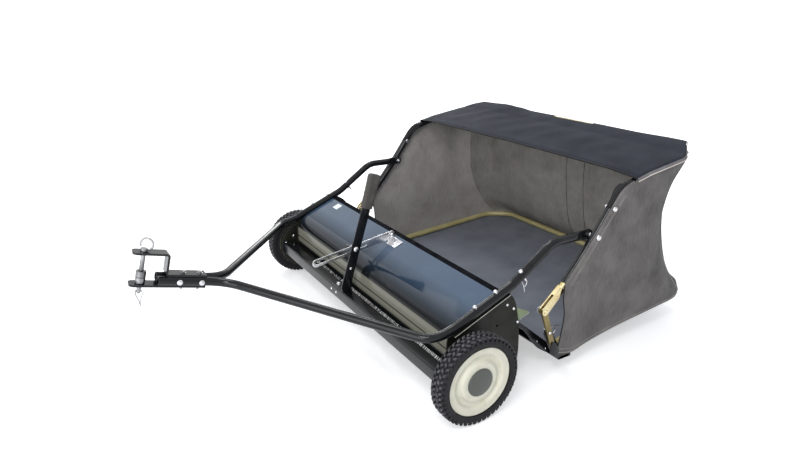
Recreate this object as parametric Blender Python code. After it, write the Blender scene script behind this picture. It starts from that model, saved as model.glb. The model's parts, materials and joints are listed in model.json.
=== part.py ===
"""Tow-behind lawn sweeper, built piece by piece in metres with +Z up.

The hitch points to -Y, which is the way of travel, the hopper to +Y, and the side on a driver's
left is +X. The ground is z = 0 and the wheel axle is the line y = 0, z = WHEEL_RADIUS. Places
across the machine follow one another from the brush's half length outwards.

Two road wheels carry an inner ring gear each. Each ring gear turns a pinion on the brush
shaft, so the brush spins faster than the wheels and the same way. The wheels hang on two
plates that swing about the brush shaft, and a lever on their cross member raises or lowers
the housing. The hopper tips about the ends of the two support arms, and its lower frame
folds up towards its upper frame.
"""

import math

import bmesh
import bpy
from mathutils import Matrix, Vector

# Running gap between pieces that touch on the real machine
GAP = 0.0003

# Wheels
WHEEL_RADIUS = 0.127
TYRE_ROOM = 0.0035
TYRE_WIDTH = 0.048
RIM_RADIUS = 0.0985
RIM_WALL = 0.004
WHEEL_FACE_SETBACK = 0.0035
GROOVE_RADIUS = 0.067
GROOVE_DEPTH = 0.008
HUB_BORE_RADIUS = 0.0083
HUB_CAP_RADIUS = 0.0395
TREAD_DEPTH = 0.0022
WHEEL_STEPS = 36

# Gears between wheel and brush
RING_TEETH = 60
PINION_TEETH = 10
GEAR_SETBACK = 0.0025
GEAR_WIDTH = 0.014

# Brush
BRUSH_Y = 0.075
BRUSH_Z = 0.120
BRUSH_RADIUS = 0.104
BRUSH_HALF_LENGTH = 0.470
BRUSH_END_ROOM = 0.034
COLLAR_RADIUS = 0.0135
COLLAR_LENGTH = 0.012
SHAFT_RADIUS = 0.00795
SHAFT_STUB = 0.0025
STRIP_BASE_RADIUS = 0.036
STRIP_BACK_HEIGHT = 0.009
STRIP_BACK_HALF_WIDTH = 0.006
BRISTLE_ROWS = 2
BRISTLE_COLUMNS = 38
BRISTLE_WIDTH = 0.0034

# Side tubes: their centre line over the housing is TUBE_BASE_Z + TUBE_SLOPE * y
TUBE_RADIUS = 0.0127
TUBE_OFFSET = 0.016
TUBE_BASE_Z = 0.2617
TUBE_SLOPE = 0.418
TUBE_KICK_Y = 0.163
TUBE_REAR_Y = 0.222
TUBE_FRONT_BEND_Y = -0.095
TUBE_BEND_RADIUS = 0.075
SPIGOT_RADIUS = 0.0106
SPIGOT_LENGTH = 0.045
ARM_BEND = (0.300, 0.4250)
ARM_EYE_HALF = 0.0042
PIVOT = (0.438, 0.424)
PIVOT_BOLT_RADIUS = 0.0041
PIVOT_HOLE_RADIUS = 0.0045

# Hitch: a tilted frame whose origin lies on the pin's axis, level with the tubes
HITCH_Y = -0.692
HITCH_Z = 0.343
HITCH_TILT = math.radians(14.0)
HITCH_TUBE_X = 0.0175
HITCH_TUBE_START = 0.042
HITCH_TUBE_END = 0.228
HITCH_PLATE_HALF_WIDTH = 0.020
HITCH_PLATE = 0.006
HITCH_TIP = -0.029
HITCH_TIP_CORNER = 0.012
HITCH_TOP_HEIGHT = 0.071
HITCH_DROP = 0.0665
HITCH_END = 0.172
HITCH_BOLTS = (0.110, 0.156)
HITCH_BOLT_RADIUS = 0.0038
HITCH_PIN_RADIUS = 0.006
HITCH_PIN_END = -0.043
HITCH_CLIP_N = -0.036
HITCH_SLEEVE_RADIUS = 0.0135
HITCH_SLEEVE_HEIGHT = 0.0172

# Housing
PLATE_THICKNESS = 0.003
FLANGE_SHEET = 0.0025
FLANGE_FRONT_Y = -0.034
FLANGE_REAR_Y = 0.172
DEFLECTOR_SHEET = 0.002
COVER_SHEET = 0.002
COVER_END_STEP = 0.0003
COVER_DROP = 0.004
COVER_REAR_Y = 0.133
COVER_NOSE_Y = -0.034
COVER_NOSE_RADIUS = 0.070
COVER_LOWER_Z = 0.140
COVER_HEM_RADIUS = 0.0045
COVER_CHEEK = 0.013
BUSH_RADIUS = 0.016

# Height frame
AXLE_PLATE_ROOM = 0.0038
AXLE_PLATE_THICKNESS = 0.003
DUST_RIM_RADIUS = 0.0925
DUST_RIM_DEPTH = 0.018
AXLE_RADIUS = 0.008
MEMBER_FRONT_Y = -0.090
MEMBER_DEPTH = 0.035
MEMBER_TOP_Z = 0.150
MEMBER_HEIGHT = 0.040
MEMBER_SHEET = 0.003

# Height lever, its strap and knob
LEVER_HALF_THICKNESS = 0.0025
LEVER_HALF_WIDTH = 0.016
LEVER_FOOT = (-0.0836, 0.1530)
LEVER_LENGTH = 0.382
LEVER_BOLT = (-0.040, 0.295)
LEVER_BOLT_RADIUS = 0.004
GRIP_START = 0.286
GRIP_END = 0.400
GRIP_HALF_WIDTH = 0.0225
GRIP_HALF_THICKNESS = 0.0125
STRAP_PIVOT = (0.098, 0.318)
STRAP_LENGTH = 0.292
STRAP_HALF_WIDTH = 0.013
STRAP_THICKNESS = 0.003
STRAP_SLOT_START = 0.102
STRAP_SLOT_END = STRAP_LENGTH - 0.014
STRAP_SLOT_HALF_WIDTH = 0.005

# Hopper, upper frame
LEG_OFFSET = 0.0228
LEG_RADIUS = 0.0111
LEG_LOWER_END = (0.337, 0.300)
TOP_FRONT = (0.556, 0.565)
RAIL_JOINT_Y = 0.735
RAIL_END = (0.797, 0.6023)
TOP_REAR_Y = 0.875
TOP_REAR_Z = 0.627
TOP_REAR_INSET = 0.1128
TOP_REAR_CROWN = 0.004
RAIL_RADIUS = 0.0095
RAIL_BEND_RADIUS = 0.07
ELBOW = (0.267, 0.234)
FOOT_HALF_WIDTH = 0.0083
LINK_HALF_THICKNESS = 0.004

# Hopper, lower frame: the tube's centre line is FLOOR_BASE_Z + FLOOR_SLOPE * y
FRAME_INSET = 0.0528
FRAME_RADIUS = 0.0111
FRAME_BEND_RADIUS = 0.06
FLOOR_BASE_Z = 0.040
FLOOR_SLOPE = 0.080
FRAME_FRONT_Y = 0.384
FRAME_REAR_Y = 1.000
FRAME_CHAMFER = 0.078
FLOOR_SHEET = 0.003
FLOOR_EDGE = 0.0032
APRON_FRONT = (0.2150, 0.1920)
APRON_MIDDLE = (0.288, 0.1285)
APRON_FOOT = (0.362, 0.0655)
BAR_SHEET = 0.003

# Hopper fabric
FABRIC = 0.002
FABRIC_ROOM = 0.0024
TOP_HEM_Y = 0.572
TOP_OVERHANG = 0.003
CLOTH_HOLE_RADIUS = 0.0060
CORNER_SETBACK = 0.031

FINISHES = {
    "black_paint": ((0.012, 0.013, 0.015), 0.22, 0.0),
    "cover_gloss": ((0.020, 0.024, 0.032), 0.10, 0.0),
    "plate_black": ((0.018, 0.019, 0.015), 0.35, 0.0),
    "yellow_zinc": ((0.55, 0.44, 0.17), 0.30, 1.0),
    "zinc": ((0.62, 0.63, 0.66), 0.25, 1.0),
    "rubber": ((0.018, 0.017, 0.020), 0.75, 0.0),
    "ivory": ((0.88, 0.87, 0.80), 0.38, 0.0),
    "cap_grey": ((0.060, 0.062, 0.055), 0.30, 0.0),
    "grip_black": ((0.012, 0.011, 0.010), 0.55, 0.0),
    "nylon": ((0.70, 0.68, 0.60), 0.45, 0.0),
    "bristle": ((0.010, 0.010, 0.011), 0.60, 0.0),
    "mesh_cloth": ((0.105, 0.098, 0.090), 0.90, 0.0),
    "top_cloth": ((0.045, 0.048, 0.058), 0.85, 0.0),
    "floor_cloth": ((0.055, 0.062, 0.075), 0.60, 0.0),
}


def clear_scene():
    """Remove whatever objects the file holds."""
    for obj in list(bpy.data.objects):
        bpy.data.objects.remove(obj, do_unlink=True)


def material(slot):
    """Return the Principled material of a finish, made once."""
    if slot in bpy.data.materials:
        return bpy.data.materials[slot]
    colour, roughness, metallic = FINISHES[slot]
    mat = bpy.data.materials.new(slot)
    mat.use_nodes = True
    shader = mat.node_tree.nodes["Principled BSDF"]
    shader.inputs["Base Color"].default_value = (*colour, 1.0)
    shader.inputs["Roughness"].default_value = roughness
    shader.inputs["Metallic"].default_value = metallic
    mat.diffuse_color = (*colour, 1.0)
    return mat


class Body:
    """An empty on a joint's axis that the pieces of one moving body hang from."""

    def __init__(self, name, pivot=(0.0, 0.0, 0.0), parent=None):
        self.pivot = Vector(pivot)
        self.empty = bpy.data.objects.new(f"{name}_axis", None)
        bpy.context.scene.collection.objects.link(self.empty)
        self.empty.empty_display_size = 0.05
        if parent is None:
            self.empty.location = self.pivot
        else:
            self.empty.parent = parent.empty
            self.empty.location = self.pivot - parent.pivot

    def add(self, obj, slot, smooth=True):
        """Give a finished solid its material and hang it from this body."""
        obj.data.materials.clear()
        obj.data.materials.append(material(slot))
        obj.data.transform(Matrix.Translation(-self.pivot))
        obj.parent = self.empty
        if smooth:
            obj.data.shade_smooth()
            obj.data.set_sharp_from_angle(angle=math.radians(35.0))
        return obj


def solid(name, mesh_builder):
    """Turn a closed bmesh into an object in world coordinates."""
    bmesh.ops.recalc_face_normals(mesh_builder, faces=mesh_builder.faces[:])
    mesh = bpy.data.meshes.new(name)
    mesh_builder.to_mesh(mesh)
    mesh_builder.free()
    obj = bpy.data.objects.new(name, mesh)
    bpy.context.scene.collection.objects.link(obj)
    return obj


def combine(target, tool, operation="UNION"):
    """Apply an exact Boolean of tool on target, and remove the tool."""
    modifier = target.modifiers.new("combine", "BOOLEAN")
    modifier.object = tool
    modifier.operation = operation
    modifier.solver = "EXACT"
    depsgraph = bpy.context.evaluated_depsgraph_get()
    mesh = bpy.data.meshes.new_from_object(target.evaluated_get(depsgraph))
    target.modifiers.clear()
    target.data = mesh
    bpy.data.objects.remove(tool, do_unlink=True)
    return target


def cut(target, tool):
    """Take tool away from target."""
    return combine(target, tool, "DIFFERENCE")


def side_name(side):
    """Name the machine's side: +1 is left, -1 is right."""
    return "left" if side > 0 else "right"


# Outlines in the side view, as lists of (y, z)

def arc(centre, radius, start, end, steps):
    """Points of an arc in the side view, angles in degrees from +Y towards +Z."""
    angles = [math.radians(start + (end - start) * i / steps) for i in range(steps + 1)]
    return [(centre[0] + radius * math.cos(a), centre[1] + radius * math.sin(a)) for a in angles]


def stadium(start, end, radius_start, radius_end, steps=6):
    """Outline of a bar with round ends between two points."""
    heading = math.degrees(math.atan2(end[1] - start[1], end[0] - start[0]))
    outline = arc(end, radius_end, heading - 90.0, heading + 90.0, steps)
    return outline + arc(start, radius_start, heading + 90.0, heading + 270.0, steps)


def along(origin, direction, s, n=0.0):
    """The point s along a direction and n to its left, in the side view."""
    return (
        origin[0] + direction[0] * s - direction[1] * n,
        origin[1] + direction[1] * s + direction[0] * n,
    )


def unit(start, end):
    """Direction from one side-view point to another."""
    length = math.dist(start, end)
    return ((end[0] - start[0]) / length, (end[1] - start[1]) / length)


def prism(name, outline, x0, x1, bevel=0.0):
    """Extrude a side-view outline from x0 to x1, with its long edges bevelled if asked."""
    builder = bmesh.new()
    low = [builder.verts.new((x0, y, z)) for y, z in outline]
    face = builder.faces.new(low)
    extruded = bmesh.ops.extrude_face_region(builder, geom=[face])
    moved = [item for item in extruded["geom"] if isinstance(item, bmesh.types.BMVert)]
    bmesh.ops.translate(builder, verts=moved, vec=(x1 - x0, 0.0, 0.0))
    if bevel > 0.0:
        rims = [e for e in builder.edges if abs(e.verts[0].co.x - e.verts[1].co.x) < 1e-6]
        bmesh.ops.bevel(builder, geom=rims, offset=bevel, segments=2, profile=0.5, affect="EDGES")
    return solid(name, builder)


def box(name, low, high):
    """An upright box between two corners."""
    outline = [(low[1], low[2]), (high[1], low[2]), (high[1], high[2]), (low[1], high[2])]
    return prism(name, outline, low[0], high[0])


def revolve(name, profile, centre, steps, wave=None):
    """Turn a closed profile of (x, radius) about an axis along X through centre (y, z)."""
    builder = bmesh.new()
    rings = []
    for x, radius in profile:
        if radius <= 0.0:
            rings.append([builder.verts.new((x, centre[0], centre[1]))])
            continue
        ring = []
        for i in range(steps):
            angle = 2.0 * math.pi * i / steps
            r = radius if wave is None else wave(x, radius, i)
            ring.append(builder.verts.new((x, centre[0] + r * math.cos(angle), centre[1] + r * math.sin(angle))))
        rings.append(ring)
    count = len(rings)
    for k in range(count):
        a, b = rings[k], rings[(k + 1) % count]
        if len(a) == 1 and len(b) == 1:
            continue
        for i in range(steps):
            j = (i + 1) % steps
            if len(a) == 1:
                builder.faces.new((a[0], b[j], b[i]))
            elif len(b) == 1:
                builder.faces.new((a[i], a[j], b[0]))
            else:
                builder.faces.new((a[i], a[j], b[j], b[i]))
    return solid(name, builder)


def disc(name, centre, x0, x1, radius, steps=16):
    """A plain round bar along X."""
    return revolve(name, [(x0, 0.0), (x0, radius), (x1, radius), (x1, 0.0)], centre, steps)


# Swept tubes

def rounded_path(corners, radii, step_degrees=13.0):
    """Polyline through corners with each inner corner rounded to its radius."""
    points = [Vector(corners[0])]
    for i in range(1, len(corners) - 1):
        before, corner, after = Vector(corners[i - 1]), Vector(corners[i]), Vector(corners[i + 1])
        a = (before - corner).normalized()
        b = (after - corner).normalized()
        turn = math.pi - a.angle(b)
        radius = radii[i - 1]
        if turn < math.radians(1.0) or radius <= 0.0:
            points.append(corner)
            continue
        reach = radius * math.tan(turn / 2.0)
        centre = corner + (a + b).normalized() * (radius / math.cos(turn / 2.0))
        start = corner + a * reach
        axis = (corner - before).cross(after - corner).normalized()
        steps = max(2, math.ceil(math.degrees(turn) / step_degrees))
        for k in range(steps + 1):
            turned = Matrix.Rotation(turn * k / steps, 3, axis) @ (start - centre)
            points.append(centre + turned)
    points.append(Vector(corners[-1]))
    return points


def sweep(name, path, radius, sides=10, scales=None):
    """Tube along a path of points; scales is an optional (across, along_normal) pair per point."""
    builder = bmesh.new()
    tangents = []
    for i, point in enumerate(path):
        before = path[max(i - 1, 0)]
        after = path[min(i + 1, len(path) - 1)]
        tangents.append((after - before).normalized())
    normal = Vector((1.0, 0.0, 0.0))
    if abs(tangents[0].dot(normal)) > 0.9:
        normal = Vector((0.0, 0.0, 1.0))
    normal = (normal - tangents[0] * normal.dot(tangents[0])).normalized()
    rings = []
    for i, point in enumerate(path):
        tangent = tangents[i]
        normal = (normal - tangent * normal.dot(tangent)).normalized()
        other = tangent.cross(normal)
        across, up = (1.0, 1.0) if scales is None else scales[i]
        ring_verts = []
        for k in range(sides):
            angle = 2.0 * math.pi * (k + 0.5) / sides
            offset = normal * (radius * across * math.cos(angle)) + other * (radius * up * math.sin(angle))
            ring_verts.append(builder.verts.new(point + offset))
        rings.append(ring_verts)
    for a, b in zip(rings, rings[1:]):
        for k in range(sides):
            j = (k + 1) % sides
            builder.faces.new((a[k], a[j], b[j], b[k]))
    builder.faces.new(rings[0])
    builder.faces.new(rings[-1])
    return solid(name, builder)


def rod(name, start, end, radius, sides=12):
    """A straight round bar between two points."""
    return sweep(name, [Vector(start), Vector(end)], radius, sides)


# Cloth sheets

def curve_point(points, t):
    """Point at t in 0..1 on a smooth curve through the given points."""
    count = len(points) - 1
    position = min(max(t, 0.0), 1.0) * count
    i = min(int(position), count - 1)
    u = position - i
    p0 = Vector(points[max(i - 1, 0)])
    p1 = Vector(points[i])
    p2 = Vector(points[i + 1])
    p3 = Vector(points[min(i + 2, count)])
    return 0.5 * (2.0 * p1 + (p2 - p0) * u + (2.0 * p0 - 5.0 * p1 + 4.0 * p2 - p3) * u * u
                  + (3.0 * p1 - p0 - 3.0 * p2 + p3) * u * u * u)


def patch(bottom, top, left, right, columns, rows):
    """Grid of points that blends four boundary curves."""
    grid = []
    for r in range(rows + 1):
        v = r / rows
        line = []
        for c in range(columns + 1):
            u = c / columns
            lower, upper = curve_point(bottom, u), curve_point(top, u)
            west, east = curve_point(left, v), curve_point(right, v)
            corners = (Vector(bottom[0]) * (1 - u) * (1 - v) + Vector(bottom[-1]) * u * (1 - v)
                       + Vector(top[0]) * (1 - u) * v + Vector(top[-1]) * u * v)
            line.append(lower * (1 - v) + upper * v + west * (1 - u) + east * u - corners)
        grid.append(line)
    return grid


def sheet(name, grid, thickness, keep=None):
    """Closed thin solid from a grid; it grows by thickness along the grid's own normals."""
    rows, columns = len(grid), len(grid[0])
    builder = bmesh.new()
    near, far = [], []
    for r in range(rows):
        near.append([builder.verts.new(p) for p in grid[r]])
        offset_row = []
        for c in range(columns):
            across = grid[r][min(c + 1, columns - 1)] - grid[r][max(c - 1, 0)]
            up = grid[min(r + 1, rows - 1)][c] - grid[max(r - 1, 0)][c]
            offset_row.append(builder.verts.new(grid[r][c] + across.cross(up).normalized() * thickness))
        far.append(offset_row)
    cells = {(r, c) for r in range(rows - 1) for c in range(columns - 1)}
    if keep is not None:
        cells = {cell for cell in cells if keep(*cell)}
    for r, c in cells:
        builder.faces.new((near[r][c], near[r][c + 1], near[r + 1][c + 1], near[r + 1][c]))
        builder.faces.new((far[r][c], far[r + 1][c], far[r + 1][c + 1], far[r][c + 1]))
        borders = {
            (r - 1, c): ((r, c), (r, c + 1)),
            (r + 1, c): ((r + 1, c + 1), (r + 1, c)),
            (r, c - 1): ((r + 1, c), (r, c)),
            (r, c + 1): ((r, c + 1), (r + 1, c + 1)),
        }
        for neighbour, (a, b) in borders.items():
            if neighbour not in cells:
                builder.faces.new((near[b[0]][b[1]], near[a[0]][a[1]], far[a[0]][a[1]], far[b[0]][b[1]]))
    loose = [v for v in builder.verts if not v.link_faces]
    bmesh.ops.delete(builder, geom=loose, context="VERTS")
    return solid(name, builder)


# Places across the machine, from the brush outwards

PLATE_INNER_X = BRUSH_HALF_LENGTH + BRUSH_END_ROOM
PLATE_OUTER_X = PLATE_INNER_X + PLATE_THICKNESS
COVER_HALF_LENGTH = PLATE_INNER_X - GAP
TUBE_X = PLATE_INNER_X + TUBE_OFFSET
AXLE_PLATE_X = TUBE_X + TUBE_RADIUS + AXLE_PLATE_ROOM
DUST_RIM_X = AXLE_PLATE_X + DUST_RIM_DEPTH
TYRE_INNER_X = DUST_RIM_X + TYRE_ROOM
TYRE_OUTER_X = TYRE_INNER_X + TYRE_WIDTH
GEAR_INNER_X = TYRE_INNER_X + GEAR_SETBACK
SHAFT_HALF_LENGTH = GEAR_INNER_X + GEAR_WIDTH + SHAFT_STUB
LEG_X = TUBE_X + LEG_OFFSET
FABRIC_X = LEG_X + LEG_RADIUS + FABRIC_ROOM
FRAME_X = LEG_X - FRAME_INSET
FLOOR_HALF = FRAME_X + FLOOR_EDGE
TOP_REAR_HALF = LEG_X - TOP_REAR_INSET

# Places in the side view that several pieces share

AXLE = (0.0, WHEEL_RADIUS)
BRUSH = (BRUSH_Y, BRUSH_Z)
GEAR_DISTANCE = math.dist(AXLE, BRUSH)
MODULE = 2.0 * GEAR_DISTANCE / (RING_TEETH - PINION_TEETH)
GEAR_ANGLE = math.degrees(math.atan2(BRUSH_Z - WHEEL_RADIUS, BRUSH_Y))
SLOPE_COS = 1.0 / math.hypot(1.0, TUBE_SLOPE)
TUBE_KICK = (TUBE_KICK_Y, TUBE_BASE_Z + TUBE_SLOPE * TUBE_KICK_Y)
KICK_LINE = unit(TUBE_KICK, ARM_BEND)
TUBE_REAR = along(TUBE_KICK, KICK_LINE, (TUBE_REAR_Y - TUBE_KICK_Y) / KICK_LINE[0])
LEVER_LINE = unit(LEVER_FOOT, LEVER_BOLT)
STRAP_LINE = unit(STRAP_PIVOT, LEVER_BOLT)


def tube_z(y):
    """Height of the side tubes' centre line over the housing."""
    return TUBE_BASE_Z + TUBE_SLOPE * y


def flange_z(y):
    """Height of the end plates' top flange, just under the side tubes."""
    return tube_z(y) - (TUBE_RADIUS + GAP) / SLOPE_COS


def cover_z(y):
    """Height of the cover's outer face on its straight top."""
    return tube_z(y) - COVER_DROP


def frame_z(y):
    """Height of the lower hopper frame's centre line."""
    return FLOOR_BASE_Z + FLOOR_SLOPE * y


def floor_z(y):
    """Height of the hopper floor's upper face, just under the frame tube."""
    return frame_z(y) - FRAME_RADIUS - GAP


def rail_z(y):
    """Height of the hopper's top side rails."""
    share = (y - TOP_FRONT[0]) / (RAIL_END[0] - TOP_FRONT[0])
    return TOP_FRONT[1] + share * (RAIL_END[1] - TOP_FRONT[1])


def hitch_point(s, n, x=0.0):
    """World point s behind the hitch pin and n above the tubes, in the tilted hitch frame."""
    c, d = math.cos(HITCH_TILT), math.sin(HITCH_TILT)
    return Vector((x, HITCH_Y + s * c + n * d, HITCH_Z - s * d + n * c))


def hitch_side(s, n):
    """Side-view point in the hitch frame."""
    point = hitch_point(s, n)
    return (point.y, point.z)


# Housing

def cover_outline():
    """Closed side-view section of the cover sheet, from its rear hem to its lower front edge."""
    start_y = COVER_NOSE_Y + COVER_NOSE_RADIUS - COVER_NOSE_RADIUS * TUBE_SLOPE * SLOPE_COS
    centre = (
        COVER_NOSE_Y + COVER_NOSE_RADIUS,
        cover_z(start_y) - COVER_NOSE_RADIUS * SLOPE_COS,
    )
    first = 90.0 + math.degrees(math.atan(TUBE_SLOPE))
    outer = [(COVER_REAR_Y, cover_z(COVER_REAR_Y))]
    outer += arc(centre, COVER_NOSE_RADIUS, first, 180.0, 9)
    outer += [(COVER_NOSE_Y, COVER_LOWER_Z)]
    inner_radius = COVER_NOSE_RADIUS - COVER_SHEET
    inner = [(COVER_NOSE_Y + COVER_SHEET, COVER_LOWER_Z)]
    inner += arc(centre, inner_radius, 180.0, first, 9)
    rear = along((COVER_REAR_Y, cover_z(COVER_REAR_Y)), (SLOPE_COS, TUBE_SLOPE * SLOPE_COS), 0.0, -COVER_SHEET)
    return outer, inner + [rear]


def build_cover(root):
    """Bent cover sheet with a rolled rear hem and turned-down cheeks at its ends."""
    outer, inner = cover_outline()
    cover = prism("cover", outer + inner, -COVER_HALF_LENGTH, COVER_HALF_LENGTH)
    step = COVER_END_STEP
    inset = COVER_HALF_LENGTH - step
    hem_centre = along(outer[0], (SLOPE_COS, TUBE_SLOPE * SLOPE_COS), 0.001, -COVER_HEM_RADIUS - step)
    combine(cover, disc("hem", hem_centre, -inset, inset, COVER_HEM_RADIUS, 12))
    first = along(outer[0], unit(outer[0], outer[1]), step)
    last = along(outer[-1], unit(outer[-1], outer[-2]), step)
    line = [first] + outer[1:-1] + [last]
    upper, lowered = [], []
    for i, point in enumerate(line):
        way = unit(line[max(i - 1, 0)], line[min(i + 1, len(line) - 1)])
        upper.append(along(point, way, 0.0, 0.5 * COVER_SHEET))
        lowered.append(along(point, way, 0.0, COVER_CHEEK))
    for side in (1.0, -1.0):
        reach = sorted((side * (inset - COVER_SHEET), side * inset))
        combine(cover, prism("cheek", upper + list(reversed(lowered)), *reach))
    root.add(cover, "cover_gloss")


def plate_outline():
    """Side-view outline of an end plate, with the ear that the hopper's front rests by."""
    outline = [(FLANGE_FRONT_Y, flange_z(FLANGE_FRONT_Y)), (FLANGE_REAR_Y, flange_z(FLANGE_REAR_Y))]
    outline += [(0.187, 0.281), (0.198, 0.258), (0.1985, 0.2450), (0.2500, 0.2190), (0.2085, 0.2040)]
    outline += [(0.214, 0.160), (0.217, 0.112)]
    outline += arc((0.197, 0.088), 0.019, 20.0, -80.0, 4)
    outline += [(0.120, 0.058), (0.020, 0.058)]
    outline += arc((0.010, 0.104), 0.046, -100.0, -175.0, 4)
    outline += [(-0.039, 0.150), (-0.039, 0.205)]
    return outline


def build_end_plate(root, side):
    """Pressed side plate with a top flange under the tube and a bush hole."""
    ends = sorted((side * PLATE_INNER_X, side * PLATE_OUTER_X))
    plate = prism(f"end_plate_{side_name(side)}", plate_outline(), *ends)
    front, rear = (FLANGE_FRONT_Y, flange_z(FLANGE_FRONT_Y)), (FLANGE_REAR_Y, flange_z(FLANGE_REAR_Y))
    line = unit(front, rear)
    flange = [front, rear, along(rear, line, 0.0, -FLANGE_SHEET), along(front, line, 0.0, -FLANGE_SHEET)]
    reach = sorted((side * PLATE_INNER_X, side * (TUBE_X + TUBE_RADIUS)))
    combine(plate, prism("flange", flange, *reach))
    hole = sorted((side * (PLATE_INNER_X - 0.01), side * (PLATE_OUTER_X + 0.01)))
    cut(plate, disc("hole", BRUSH, *hole, BUSH_RADIUS + GAP, 16))
    root.add(plate, "plate_black")


def build_bush(root, side):
    """Flanged nylon bush that carries the brush shaft in an end plate."""
    profile = [
        (PLATE_INNER_X - 0.005, SHAFT_RADIUS + GAP),
        (PLATE_INNER_X - 0.005, BUSH_RADIUS),
        (PLATE_OUTER_X + GAP, BUSH_RADIUS),
        (PLATE_OUTER_X + GAP, BUSH_RADIUS + 0.005),
        (PLATE_OUTER_X + 0.0040, BUSH_RADIUS + 0.005),
        (PLATE_OUTER_X + 0.0040, SHAFT_RADIUS + GAP),
    ]
    profile = [(side * x, r) for x, r in profile]
    root.add(revolve(f"brush_bush_{side_name(side)}", profile, BRUSH, 16), "nylon")


def build_deflector(root):
    """Curved rear sheet behind the brush, with its lip turned out towards the hopper."""
    sheet_line = [(0.176, 0.064), (0.190, 0.090), (0.199, 0.125), (0.2035, 0.160), (0.2050, 0.182), (0.2056, 0.1945),
                  (0.2125, 0.2050)]
    back = []
    for i, point in enumerate(sheet_line):
        line = unit(sheet_line[max(i - 1, 0)], sheet_line[min(i + 1, len(sheet_line) - 1)])
        back.append(along(point, line, 0.0, DEFLECTOR_SHEET))
    half = PLATE_INNER_X - GAP
    root.add(prism("rear_deflector", sheet_line + list(reversed(back)), -half, half), "plate_black")


# Drawbar, arms and hitch

def build_drawbar_tube(root, side):
    """Bent tube from the hitch, out to the side and up along the housing."""
    corners = [
        hitch_point(HITCH_TUBE_START, 0.0, side * HITCH_TUBE_X),
        hitch_point(HITCH_TUBE_END, 0.0, side * HITCH_TUBE_X),
        Vector((side * TUBE_X, TUBE_FRONT_BEND_Y, tube_z(TUBE_FRONT_BEND_Y) + 0.012)),
        Vector((side * TUBE_X, -0.028, tube_z(-0.028))),
        Vector((side * TUBE_X, *TUBE_KICK)),
        Vector((side * TUBE_X, *TUBE_REAR)),
    ]
    path = rounded_path(corners, [0.10, TUBE_BEND_RADIUS, 0.15, 0.10])
    tube = sweep(f"drawbar_tube_{side_name(side)}", path, TUBE_RADIUS)
    direction = (path[-1] - path[-2]).normalized()
    start = path[-1] - direction * (SPIGOT_LENGTH + 0.003)
    cut(tube, rod("bore", start, path[-1] + direction * 0.01, SPIGOT_RADIUS + GAP, 12))
    root.add(tube, "black_paint")


def build_arm(root, side):
    """Hopper support arm: a spigot in the drawbar tube, two bends and a flattened eye."""
    x = side * TUBE_X
    rear = Vector((x, *TUBE_REAR))
    direction = Vector((0.0, *KICK_LINE))
    start = rear + direction * GAP
    bend = Vector((x, *ARM_BEND))
    eye = Vector((x, *PIVOT))
    path = rounded_path([start, bend, eye + (bend - eye).normalized() * 0.002], [0.080])
    path.insert(-1, eye + (bend - eye).normalized() * 0.030)
    path.insert(-2, eye + (bend - eye).normalized() * 0.048)
    scales = [(1.0, 1.0)] * (len(path) - 2) + [(0.34, 1.18)] * 2
    arm = sweep(f"hopper_arm_{side_name(side)}", path, TUBE_RADIUS, 10, scales)
    combine(arm, disc("eye", PIVOT, x - ARM_EYE_HALF, x + ARM_EYE_HALF, TUBE_RADIUS * 1.15, 16))
    spigot = rod("spigot", rear - direction * SPIGOT_LENGTH, start + direction * 0.004, SPIGOT_RADIUS, 12)
    combine(arm, spigot)
    cut(arm, disc("hole", PIVOT, x - TUBE_RADIUS, x + TUBE_RADIUS, PIVOT_HOLE_RADIUS, 12))
    root.add(arm, "black_paint")


def hitch_bolt(name, s):
    """Vertical bolt between the tubes, with its head and nut."""
    low, high = -TUBE_RADIUS - HITCH_PLATE - GAP, TUBE_RADIUS + HITCH_PLATE + GAP
    bolt = rod(name, hitch_point(s, low - 0.012), hitch_point(s, high + 0.002), HITCH_BOLT_RADIUS, 12)
    combine(bolt, rod("head", hitch_point(s, high + GAP), hitch_point(s, high + 0.0058), 0.0075, 6))
    combine(bolt, rod("nut", hitch_point(s, low - 0.0068), hitch_point(s, low - GAP), 0.0075, 6))
    return bolt


def tip_knife(corner):
    """Wedge that takes one front corner off the hitch brackets; corner is +1 or -1."""
    over = 0.004
    half, reach = HITCH_PLATE_HALF_WIDTH, HITCH_TIP_CORNER
    places = [(HITCH_TIP - over, half + over), (HITCH_TIP + reach, half + over), (HITCH_TIP - over, half - reach)]
    builder = bmesh.new()
    low = [builder.verts.new(hitch_point(s, -0.04, corner * x)) for s, x in places]
    high = [builder.verts.new(hitch_point(s, 0.09, corner * x)) for s, x in places]
    builder.faces.new(low)
    builder.faces.new(high)
    for i in range(3):
        j = (i + 1) % 3
        builder.faces.new((low[i], low[j], high[j], high[i]))
    return solid("knife", builder)


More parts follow.
